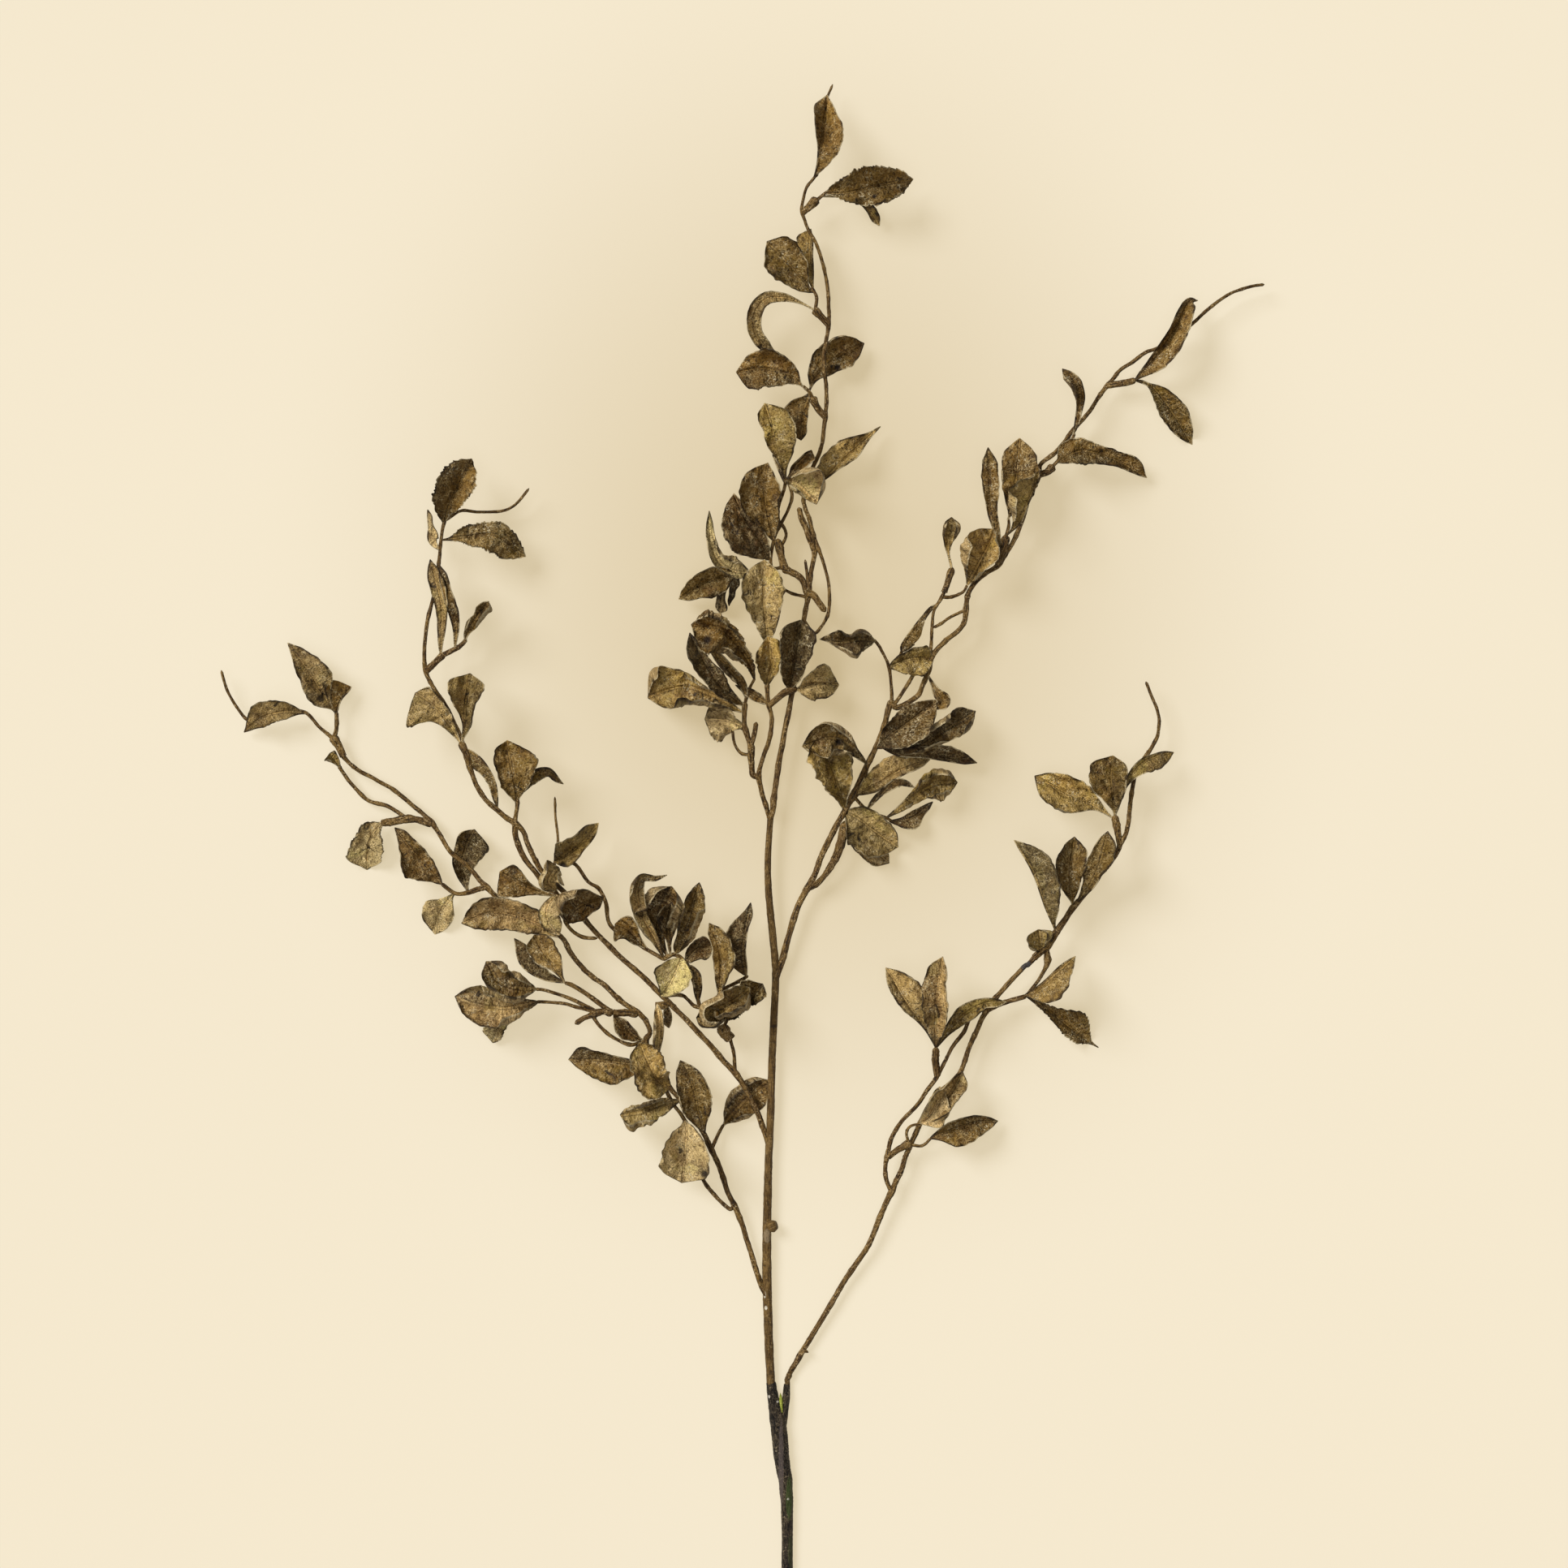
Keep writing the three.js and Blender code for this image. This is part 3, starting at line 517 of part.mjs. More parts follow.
      ["far_broad", [[-196, 517.5, 10], [-200, 531, 6], [-198, 544, 6], [-192, 556, 8]],
       [2, 4, 6, 6.5, 6], [2.5, 7, 10.5, 13, 13], { "roll": 10, "fold": 14, "curl": 16 }],
      ["far_pale", [[-204, 517, 10], [-210, 510, 7], [-215, 501, 3], [-217, 491, -1]],
       [1.5, 5.3, 9.2, 8.7, 6], [1.5, 4.3, 11, 9.5, 4.3], { "roll": -6, "fold": 8, "curl": 8 }],
    ],
  },
};

// Colours of the bark and of the leaves
const BARK_DARK = { color: 0x2b2320, roughness: 0.75, metalness: 0 };
const BARK_BROWN = { color: 0x5a4226, roughness: 0.8, metalness: 0 };
const LEAF_OLIVE = { color: 0x5c4e30, roughness: 0.7, metalness: 0 };

// Each piece, with its finish and the pieces that it grows from
const PIECES = [
  { name: "stock", finish: BARK_DARK, parents: [] },
  { name: "main_stem", finish: BARK_BROWN, parents: ["stock"] },
  { name: "leader_spray", finish: LEAF_OLIVE, parents: ["main_stem"] },
  { name: "left_fork_spray", finish: LEAF_OLIVE, parents: ["main_stem", "leader_spray"] },
  { name: "inner_right_spray", finish: LEAF_OLIVE, parents: ["main_stem"] },
  { name: "outer_right_spray", finish: LEAF_OLIVE, parents: ["stock"] },
  { name: "upper_left_spray", finish: LEAF_OLIVE, parents: ["main_stem"] },
  { name: "lower_left_spray", finish: LEAF_OLIVE, parents: ["main_stem"] },
];

const rad = THREE.MathUtils.degToRad;

// A smooth curve through hand-placed points
function curveThrough(points) {
  const vectors = points.map((point) => new THREE.Vector3(...point));
  return new THREE.CatmullRomCurve3(vectors, false, "catmullrom", 0.5);
}

// Axes carried along a curve without twist: ahead, up and left, starting with up nearest to +Z
function axesAlong(curve, shares) {
  const axes = [];
  let up = new THREE.Vector3(0, 0, 1);
  for (const share of shares) {
    const ahead = curve.getTangent(share);
    up = up.clone().addScaledVector(ahead, -up.dot(ahead)).normalize();
    const left = new THREE.Vector3().crossVectors(up, ahead);
    axes.push({ centre: curve.getPoint(share), ahead, up, left });
  }
  return axes;
}

// A closed solid from its corners and its triangles
function solidFrom(corners, triangles) {
  const vertProperties = new Float32Array(corners.flatMap((corner) => [corner.x, corner.y, corner.z]));
  const triVerts = new Uint32Array(triangles.flat());
  return new wasm.Manifold(new wasm.Mesh({ numProp: 3, vertProperties, triVerts }));
}

// Shares of a curve's length where straight pieces that follow it must bend
function bendShares(curve, from, to) {
  const chord = new THREE.Line3(curve.getPoint(from), curve.getPoint(to));
  let furthest = BEND_ERROR;
  let bend = null;
  for (let i = 1; i < BEND_SAMPLES; i += 1) {
    const share = THREE.MathUtils.lerp(from, to, i / BEND_SAMPLES);
    const point = curve.getPoint(share);
    const distance = chord.closestPointToPoint(point, true, new THREE.Vector3()).distanceTo(point);
    if (distance > furthest) {
      furthest = distance;
      bend = share;
    }
  }
  return bend === null ? [to] : [...bendShares(curve, from, bend), ...bendShares(curve, bend, to)];
}

// Number of sides of a twig's section
function sidesFor(radius) {
  if (radius > STEM_RADIUS) return STEM_SIDES;
  return radius > THIN_RADIUS ? TWIG_SIDES : THIN_SIDES;
}

// A value between evenly spaced ones, at a share of their length
function between(values, share) {
  const place = share * (values.length - 1);
  const before = Math.min(Math.floor(place), values.length - 2);
  return THREE.MathUtils.lerp(values[before], values[before + 1], place - before);
}

// A twig that tapers from one end to the other, made larger all over by grow
function twigSolid([radii, points], grow) {
  const curve = curveThrough(points);
  const shares = [0, ...bendShares(curve, 0, 1)];
  const steps = shares.length - 1;
  const sides = sidesFor(Math.max(...radii));
  const sections = axesAlong(curve, shares);
  sections[0].centre.addScaledVector(sections[0].ahead, -grow);
  sections[steps].centre.addScaledVector(sections[steps].ahead, grow);
  const corners = [];
  sections.forEach(({ centre, up, left }, i) => {
    const radius = between(radii, shares[i]) + grow;
    for (let k = 0; k < sides; k += 1) {
      const angle = (2 * Math.PI * k) / sides;
      const corner = centre.clone().addScaledVector(left, radius * Math.cos(angle));
      corners.push(corner.addScaledVector(up, radius * Math.sin(angle)));
    }
  });
  const startCentre = corners.push(sections[0].centre) - 1;
  const endCentre = corners.push(sections[steps].centre) - 1;
  const triangles = [];
  for (let k = 0; k < sides; k += 1) {
    const next = (k + 1) % sides;
    for (let i = 0; i < steps; i += 1) {
      const here = i * sides;
      const ahead = here + sides;
      triangles.push([here + k, ahead + next, ahead + k], [here + k, here + next, ahead + next]);
    }
    triangles.push([startCentre, next, k], [endCentre, steps * sides + k, steps * sides + next]);
  }
  return solidFrom(corners, triangles);
}

// Half of a blade's width at a share of its length, as a smooth curve through the given ones
function halfWidth(widths, share) {
  const values = [ROOT_HALF_WIDTH, ...widths, TIP_HALF_WIDTH];
  const places = [0, ...WIDTH_SHARES, 1];
  const last = places.length - 1;
  const slope = (i) => {
    const [before, after] = [Math.max(0, i - 1), Math.min(last, i + 1)];
    return (values[after] - values[before]) / (places[after] - places[before]);
  };
  const start = Math.max(0, places.findLastIndex((place, i) => place <= share && i < last));
  const step = places[start + 1] - places[start];
  const part = (share - places[start]) / step;
  const [from, to] = [values[start], values[start + 1]];
  const [leave, arrive] = [slope(start) * step, slope(start + 1) * step];
  const bend = 3 * (to - from) - 2 * leave - arrive;
  const smooth = from + leave * part + bend * part ** 2 + (2 * (from - to) + leave + arrive) * part ** 3;
  return Math.max(LEAST_HALF_WIDTH, smooth);
}

// A value given for both halves of a blade or as [left, right]
function ofHalf(value, half) {
  if (Array.isArray(value)) return half > 0 ? value[0] : value[1];
  return value ?? 0;
}

// A function that gives the middle surface of a blade at a share of its length and of its half width, which
// is from -1 at the right edge to 1 at the left one
function bladeSurface([, points, leftWidths, rightWidths, shape], index) {
  const curve = curveThrough(points);
  const breadth = Math.max(...leftWidths) + Math.max(...rightWidths);
  return (place, across) => {
    const share = THREE.MathUtils.clamp(place, 0, 1);
    const point = curve.getPoint(share);
    const ahead = curve.getPoint(Math.min(1, share + SLOPE_STEP));
    ahead.sub(curve.getPoint(Math.max(0, share - SLOPE_STEP))).setZ(0).normalize();
    const side = Math.sign(across) || 1;
    const reach = Math.abs(across);
    const phase = index * WAVE_STEP + side;
    const notch = 1 + NOTCH_DEPTH * Math.sin(2 * Math.PI * NOTCH_COUNT * share + 2 * phase);
    const half = halfWidth(side > 0 ? leftWidths : rightWidths, share) * notch;
    const flatness = Math.min(1, half / FLAT_HALF_WIDTH) ** 2;
    const roll = (shape.roll ?? 0) + (shape.twist ?? 0) * share;
    const lean = side * roll + ofHalf(shape.fold, side) + (ofHalf(shape.curl, side) * reach) / 2;
    const slope = Math.tan(rad(THREE.MathUtils.clamp(lean, -STEEPEST, STEEPEST))) * flatness;
    const wave = WAVE_HEIGHT * breadth * flatness * Math.sin(2 * Math.PI * WAVE_COUNT * share + phase);
    const out = half * across;
    return point.add(new THREE.Vector3(-ahead.y * out, ahead.x * out, half * reach * slope + wave * reach ** 2));
  };
}

// Triangles between two neighbouring rows of corners, which may differ in number
function zipRows(lower, upper, face) {
  let i = 0;
  let j = 0;
  while (i < lower.length - 1 || j < upper.length - 1) {
    if ((j + 0.5) / (upper.length - 1) <= (i + 0.5) / (lower.length - 1)) {
      face(lower[i], upper[j], upper[j + 1]);
      j += 1;
    } else {
      face(lower[i], upper[j], lower[i + 1]);
      i += 1;
    }
  }
}

// A blade with a thickness, as a closed solid that lies on the surface where it would pass through it
function bladeSolid(leaf, index) {
  const surface = bladeSurface(leaf, index);
  const [, points, leftWidths, rightWidths, shape] = leaf;
  const length = curveThrough(points).getLength();
  const curled = Math.max(Math.abs(ofHalf(shape.curl, 1)), Math.abs(ofHalf(shape.curl, -1))) > ROUND_CURL;
  const cells = curled ? CELLS_CURLED : CELLS_FOLDED;
  const shares = [0, NECK_LENGTH / length, ...(length < SHORT_LENGTH ? SHORT_ROWS : LONG_ROWS)];
  const top = [];
  const bottom = [];
  const rows = shares.map((share, i) => {
    const half = (halfWidth(leftWidths, share) + halfWidth(rightWidths, share)) / 2;
    const narrow = i < NECK_ROWS || half < NARROW_HALF_WIDTH;
    const rowCells = narrow ? 1 : cells;
    return Array.from({ length: rowCells + 1 }, (_, j) => {
      const across = (2 * j) / rowCells - 1;
      const point = surface(share, across);
      const ahead = surface(share + SLOPE_STEP, across).sub(surface(share - SLOPE_STEP, across));
      const leftward = surface(share, Math.min(1, across + SLOPE_STEP));
      const left = leftward.sub(surface(share, Math.max(-1, across - SLOPE_STEP)));
      const normal = ahead.cross(left).normalize();
      const thinning = Math.min(1, share / THIN_SHARE);
      const thickness = THREE.MathUtils.lerp(ROOT_THICKNESS, BLADE_THICKNESS, thinning);
      const above = point.clone().addScaledVector(normal, thickness / 2);
      const below = point.clone().addScaledVector(normal, -thickness / 2);
      const upsideDown = above.z < below.z;
      above.z = Math.max(above.z, upsideDown ? 0 : BLADE_THICKNESS);
      below.z = Math.max(below.z, upsideDown ? BLADE_THICKNESS : 0);
      bottom.push(below);
      return top.push(above) - 1;
    });
  });
  const triangles = [];
  const face = (a, b, c) => {
    triangles.push([a, b, c], [a + top.length, c + top.length, b + top.length]);
  };
  const wall = (a, b) => {
    triangles.push([a, a + top.length, b + top.length], [a, b + top.length, b]);
  };
  for (let i = 1; i < rows.length; i += 1) {
    zipRows(rows[i - 1], rows[i], face);
    wall(rows[i - 1][0], rows[i][0]);
    wall(rows[i].at(-1), rows[i - 1].at(-1));
  }
  const [root, tip] = [rows[0], rows.at(-1)];
  for (let j = 1; j < root.length; j += 1) wall(root[j], root[j - 1]);
  for (let j = 1; j < tip.length; j += 1) wall(tip[j - 1], tip[j]);
  return solidFrom([...top, ...bottom], triangles);
}

// All twigs of a piece joined, made larger all over by grow
function twigsOf(name, grow) {
  return wasm.Manifold.union(GROWTH[name].twigs.map((twig) => twigSolid(twig, grow)));
}

// A solid without its crumbs, and with the pinholes shut in between roots filled
function soundSolid(solid) {
  return wasm.Manifold.compose(solid.decompose().filter((body) => body.volume() > CRUMB_VOLUME));
}

// A piece: its twigs and leaves joined, and kept clear of the pieces that it grows from
function pieceSolid({ name, parents }) {
  const leaves = GROWTH[name].leaves.map(bladeSolid);
  let solid = wasm.Manifold.union([twigsOf(name, 0), ...leaves]);
  for (const parent of parents) {
    solid = solid.subtract(twigsOf(parent, GAP));
  }
  return soundSolid(solid.simplify(SLIVER));
}

// A named mesh of a solid, in its finish
function pieceMesh(piece) {
  const { vertProperties, triVerts } = pieceSolid(piece).getMesh();
  const geometry = new THREE.BufferGeometry();
  geometry.setAttribute("position", new THREE.BufferAttribute(new Float32Array(vertProperties), 3));
  geometry.setIndex([...triVerts]);
  geometry.computeVertexNormals();
  const mesh = new THREE.Mesh(geometry, new THREE.MeshStandardMaterial(piece.finish));
  mesh.name = piece.name;
  return mesh;
}

const stem = new THREE.Group();
for (const piece of PIECES) {
  stem.add(pieceMesh(piece));
}
stem.position.set(-MIDDLE_X, -MIDDLE_Y, 0);

export default stem;
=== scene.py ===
# A smoked eucalyptus stem, cut, dried and laid down on a pale surface, seen from above.
# Given points are in millimetres, as in the part's source. Everything in Blender is in metres.
import math

import bpy
import numpy as np
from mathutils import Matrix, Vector


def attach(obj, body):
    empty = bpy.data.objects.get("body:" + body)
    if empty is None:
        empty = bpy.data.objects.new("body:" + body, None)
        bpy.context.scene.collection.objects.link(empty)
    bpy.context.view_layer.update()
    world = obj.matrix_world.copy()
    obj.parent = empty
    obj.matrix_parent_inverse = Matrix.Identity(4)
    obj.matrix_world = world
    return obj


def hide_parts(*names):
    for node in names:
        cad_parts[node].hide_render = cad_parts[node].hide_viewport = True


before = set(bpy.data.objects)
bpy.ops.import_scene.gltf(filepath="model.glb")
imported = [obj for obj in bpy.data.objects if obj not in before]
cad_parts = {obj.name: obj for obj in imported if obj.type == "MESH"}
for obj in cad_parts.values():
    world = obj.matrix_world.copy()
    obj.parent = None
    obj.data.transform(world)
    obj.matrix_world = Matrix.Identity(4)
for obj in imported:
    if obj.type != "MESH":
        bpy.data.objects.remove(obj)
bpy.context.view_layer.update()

MM = 0.001

# As in the part's source, in millimetres and degrees: the middle of the stem's box, the half widths of a
# leaf, the waves and notches of its edge, and steps
MIDDLE = np.array([-26.86, 507.64, 0.0])
ROOT_HALF_WIDTH = 0.5
TIP_HALF_WIDTH = 0.3
LEAST_HALF_WIDTH = 0.3
WIDTH_SHARES = (0.12, 0.3, 0.5, 0.7, 0.88)
FLAT_HALF_WIDTH = 3.5
STEEPEST = 62.0
WAVE_HEIGHT = 0.05
WAVE_COUNT = 1.6
NOTCH_DEPTH = 0.02
NOTCH_COUNT = 3.4
WAVE_STEP = 2.4
SLOPE_STEP = 0.02
RIB_STEPS = 60
TANGENT_STEP = 0.0001

# Fine leaves: size of a cell, and the least number of rows and of columns in a half
CELL = 0.7
LEAST_ROWS = 16
LEAST_COLUMNS = 3
# Thickness of the blade, of its petiole, and of its edge as a share of it. The rib's height below the blade.
BLADE_THICKNESS = 0.5
PETIOLE_THICKNESS = 1.25
PETIOLE_LENGTH = 5.0
EDGE_SHARE = 0.45
RIB_HEIGHT = 0.35
# Number of waves that make up a swell, and their lengths as shares of its own
WAVES_IN_SWELL = 7
WAVE_LENGTHS = (0.75, 1.4)
# Degrees by which the two halves of a blade are folded more than in the part's source, at least and at most
MORE_FOLD = (2.0, 28.0)
# Crumples: their length and height on a blade of full width, that width, and the share of the length over
# which they begin
CRUMPLES = ((17.0, 1.2), (8.0, 0.6), (3.4, 0.2))
CRUMPLE_WIDTH = 20.0
CRUMPLE_START = 0.2
# Creases: their length and height, how much they are drawn out along the rib, and their mean height
CREASE_LENGTH = 9.0
CREASE_HEIGHT = 1.5
CREASE_STRETCH = 0.4
CREASE_MEAN = 0.6
# How much stronger the crumples are on crumpled leaves, and their edges more ragged
CRUMPLED_MORE = 2.0
RAGGED_MORE = 2.0
# Edges that roll up or down, on most leaves and on curled ones: width of the rolled strip as a share of the
# half width, greatest angle of the roll, and the heights of a swell between which the roll begins
ROLL_SHARE = 0.36
ROLL_ANGLE = 150.0
ROLL_RANGE = (-0.2, 1.0)
CURLED_SHARE = 0.6
CURLED_ANGLE = 215.0
CURLED_RANGE = (-1.6, 0.4)
# Share of leaves that roll up, length of a rolled stretch, and the least angle in radians
ROLL_UP_SHARE = 0.7
ROLL_LENGTH = 30.0
LEAST_ANGLE = 0.01
# Distances by which the swells of a leaf's two edges are kept apart
HALVES_APART = 40.0
ROLLS_APART = 90.0
# Ragged edges: depth as a share of the half width and length of a notch. Depth and length of a tooth, and
# the share of its length by which it is out of step.
RAGGED = 0.02
RAGGED_LENGTH = 6.0
TOOTH_DEPTH = 1.1
TOOTH_LENGTH = 3.4
TOOTH_SHIFT = 0.3
# Midrib: depth and half width. Side veins: height, spacing, half width, slant and bend towards the tip,
# distance from the rib at which they are full, and how far the left ones are moved on from the right ones.
MIDRIB_DEPTH = 0.4
MIDRIB_HALF_WIDTH = 0.7
VEIN_HEIGHT = 0.18
VEIN_SPACING = 5.2
VEIN_HALF_WIDTH = 0.45
VEIN_SLANT = 0.75
VEIN_BEND = 0.035
VEIN_START = 2.0
VEIN_SHIFT = 0.35 * VEIN_SPACING
# Lowest point of a leaf above the surface that the stem lies on
FLOOR_CLEAR = 0.05

# Fine twigs: spacing and least number of sections, least number of sides, and length of a side
SECTION_STEP = 1.3
LEAST_STEPS = 5
TWIG_SIDES = 8
SIDE_LENGTH = 0.8
# How blunt a round end is, and its height
BLUNTNESS = 0.12
END_HEIGHT = 0.25
# Knots of a twig: mean spacing, half length and height as a share of the radius
KNOT_SPACING = 19.0
KNOT_HALF_LENGTH = 1.6
KNOT_HEIGHT = 0.22
# Unevenness of bark as a share of the radius, on a twig and on the thick stems, its length, and the share of
# a finer one
BARK_ROUGHNESS = 0.06
STEM_ROUGHNESS = 0.025
BARK_LENGTH = 6.0
FINE_BARK = 0.6
# Length by which the bark's pattern is moved on from one twig to the next
GRAIN_STEP = 41.0
# Swelling of a twig where another grows from it
COLLAR_HEIGHT = 0.3
COLLAR_HALF_LENGTH = 3.0
# Mesh attributes: their kind and field by how many numbers a corner has
LAYER_KINDS = {1: ("FLOAT", "value"), 3: ("FLOAT_VECTOR", "vector"), 4: ("FLOAT_COLOR", "color")}
# Angles above which an edge of bark or of a leaf is sharp
BARK_SHARP = 75
LEAF_SHARP = 60

# Tone of each leaf, from the darkest to the palest. Leaves that aren't named are of the middle tone.
TONES = {
    "darkest": """
        dark_strip middle_small near_scrap long_narrow near_upright near_inner fourth_blade twig_dark
        olive_low inner_dark big_dark near_small long_folded curled_left middle_dark dark_left
        right_upright far_broad
        """.split(),
    "dark": """
        third_right fourth_rolled low_flat small_dark near_arch near_dark tip_spoon crown_trumpet
        outer_curled big_crumpled top_side right_folded near_folded third_left left_brown twisted_strip
        far_dark
        """.split(),
    "light": """
        far_trumpet top_under fourth_folded crumpled_side upright_folded short_olive second_up
        low_crumpled third_small brown_folded folded_left first_right elbow_upright fourth_left
        near_crumpled fifth_left left_crumpled near_orange low_pale third_folded fifth_right
        fourth_right left_pointed brown_spoon pale_crumpled inner_veined
        """.split(),
    "pale": """
        elbow_left crown_strap right_side pale_ovate long_brown outer_brown pale_long second_drooping
        lower_under far_upright second_brown lower_round middle_hanging near_mass first_left near_hook
        far_left first_upright
        """.split(),
    "palest": """
        fourth_bent pale_ragged outer_low left_ochre low_ochre second_pale left_funnel middle_tip
        low_rolled far_round far_pale near_ochre crown_scrap
        """.split(),
}
# Leaves that are warmer or greyer than the rest, and those with painted shade on their right or left half
WARM = """
    far_left far_upright left_ochre near_orange left_triangle far_trumpet outer_brown brown_folded
    low_rolled top_upright
    """.split()
GREY = """
    crown_right near_folded left_folded low_crumpled crown_trumpet middle_hanging near_mass elbow_hook
    fourth_blade fourth_side low_brown outer_curled
    """.split()
SHADED_RIGHT_HALF = "fourth_folded elbow_upright far_upright".split()
SHADED_LEFT_HALF = "first_left".split()
# Leaves with teeth, with strongly rolled edges, and with strong crumples
TOOTHED = """
    top_side crown_ragged crown_right far_round near_ragged pale_ragged big_crumpled third_drooping
    outer_low
    """.split()
CURLED = """
    near_hook near_arch near_inner near_upright near_strap low_crumpled low_flat left_funnel low_rolled
    outer_curled curled_left big_crumpled crumpled_side near_crumpled near_mass third_small
    fourth_rolled twisted_strip fourth_bent crown_trumpet far_trumpet brown_spoon tip_spoon
    upright_folded folded_left left_folded brown_folded long_folded near_folded outer_low left_brown
    middle_tip middle_hanging outer_brown
    """.split()
CRUMPLED = """
    near_crumpled near_ragged near_mass low_crumpled left_crumpled big_crumpled crumpled_side
    pale_ragged pale_crumpled crown_scrap upright_narrow low_pale
    """.split()
# Dark pits and spots of leaves: [x, y, radius, depth], and the shares of the radius between which a pit ends
PIT_WALL = (0.4, 1.3)
PITS = [
    [-137, 533.5, 3.4, 2.2], [-48, 672, 3.2, 1.5], [32.5, 609.5, 2.6, 1.2], [54.5, 944.5, 1.6, 0.3],
    [31, 859.5, 2.2, 0.4], [32, 841, 2.4, 0.4], [-218.5, 722, 3.0, 0.6], [-49.5, 344.5, 3.0, 0.5],
]
# Colours of the tones as sRGB hex, what makes them warmer or greyer, and the painted shade that darkens a
# half
TONE_COLOURS = {"darkest": "4a320a", "dark": "644713", "middle": "6a4e1a", "light": "91753b",
                "pale": "9d824e", "palest": "bda46e"}
WARMER = np.array([1.02, 0.99, 0.96])
GREYER = np.array([0.98, 1.0, 1.15])
HALF_SHADE = 0.45
# How much the tone of a leaf may differ in brightness and in colour, how much painted light and shade may set
# one half apart from the other, and how much it differs from end to end
TONE_RANGE = (0.92, 1.08)
HUE_RANGE = (0.97, 1.03)
HALF_SHADE_APART = 0.25
ENDS_APART = 0.3

# Twigs and leaves, as in the part's source. A twig is [radii evenly spaced along it, points on its axis].
# A leaf is [name, points on its rib from the root, half widths left of it, half widths right of it, shape].
# Its half widths are seen from above, at WIDTH_SHARES. Its shape is in degrees, for both halves or as
# [left, right].
TWIGS, LEAVES = {}, {}
TWIGS["stock"] = [
    [[3.6, 3.5, 3.4, 4.1, 4.9, 5, 3.6, 2.9], [[1, 0, 3.2], [1, 50, 3.13], [1, 100, 3.06], [1, 130, 3.23],
     [0, 152, 3.71], [-2.5, 168, 4.25], [-4, 184, 4.38], [-6, 197, 3.87], [-8, 206, 3.06], [-9, 214, 2.59]]],
    [[3.8, 2.6, 1.9], [[-4.1, 184, 4.2], [-1.4, 195, 3.7], [0.3, 205, 3.1], [0.8, 213, 2.9]]],
]
TWIGS["main_stem"] = [
    [[2.6, 2.9, 2.4, 2.3, 2.3, 1.9], [[-9, 213, 2.9], [-10.2, 235, 3.6], [-11, 259, 4.4], [-11.5, 282, 5],
     [-11.5, 305, 5.5], [-11, 333, 5.9], [-10.5, 352, 6.1], [-9.2, 381, 6.4], [-8.5, 409, 7],
     [-7.5, 434, 7.5], [-6.2, 463, 8], [-6.5, 475, 8.2], [-8.5, 496, 8.6], [-10.5, 517, 9.1], [-11, 537, 9.6],
     [-9.5, 562, 10.2]]],
    [[2, 3.7, 3.9, 2.6], [[-11.3, 309, 5.8], [-9.4, 310.4, 6.6], [-7.6, 311.2, 7.4], [-5.6, 311.8, 8]]],
]
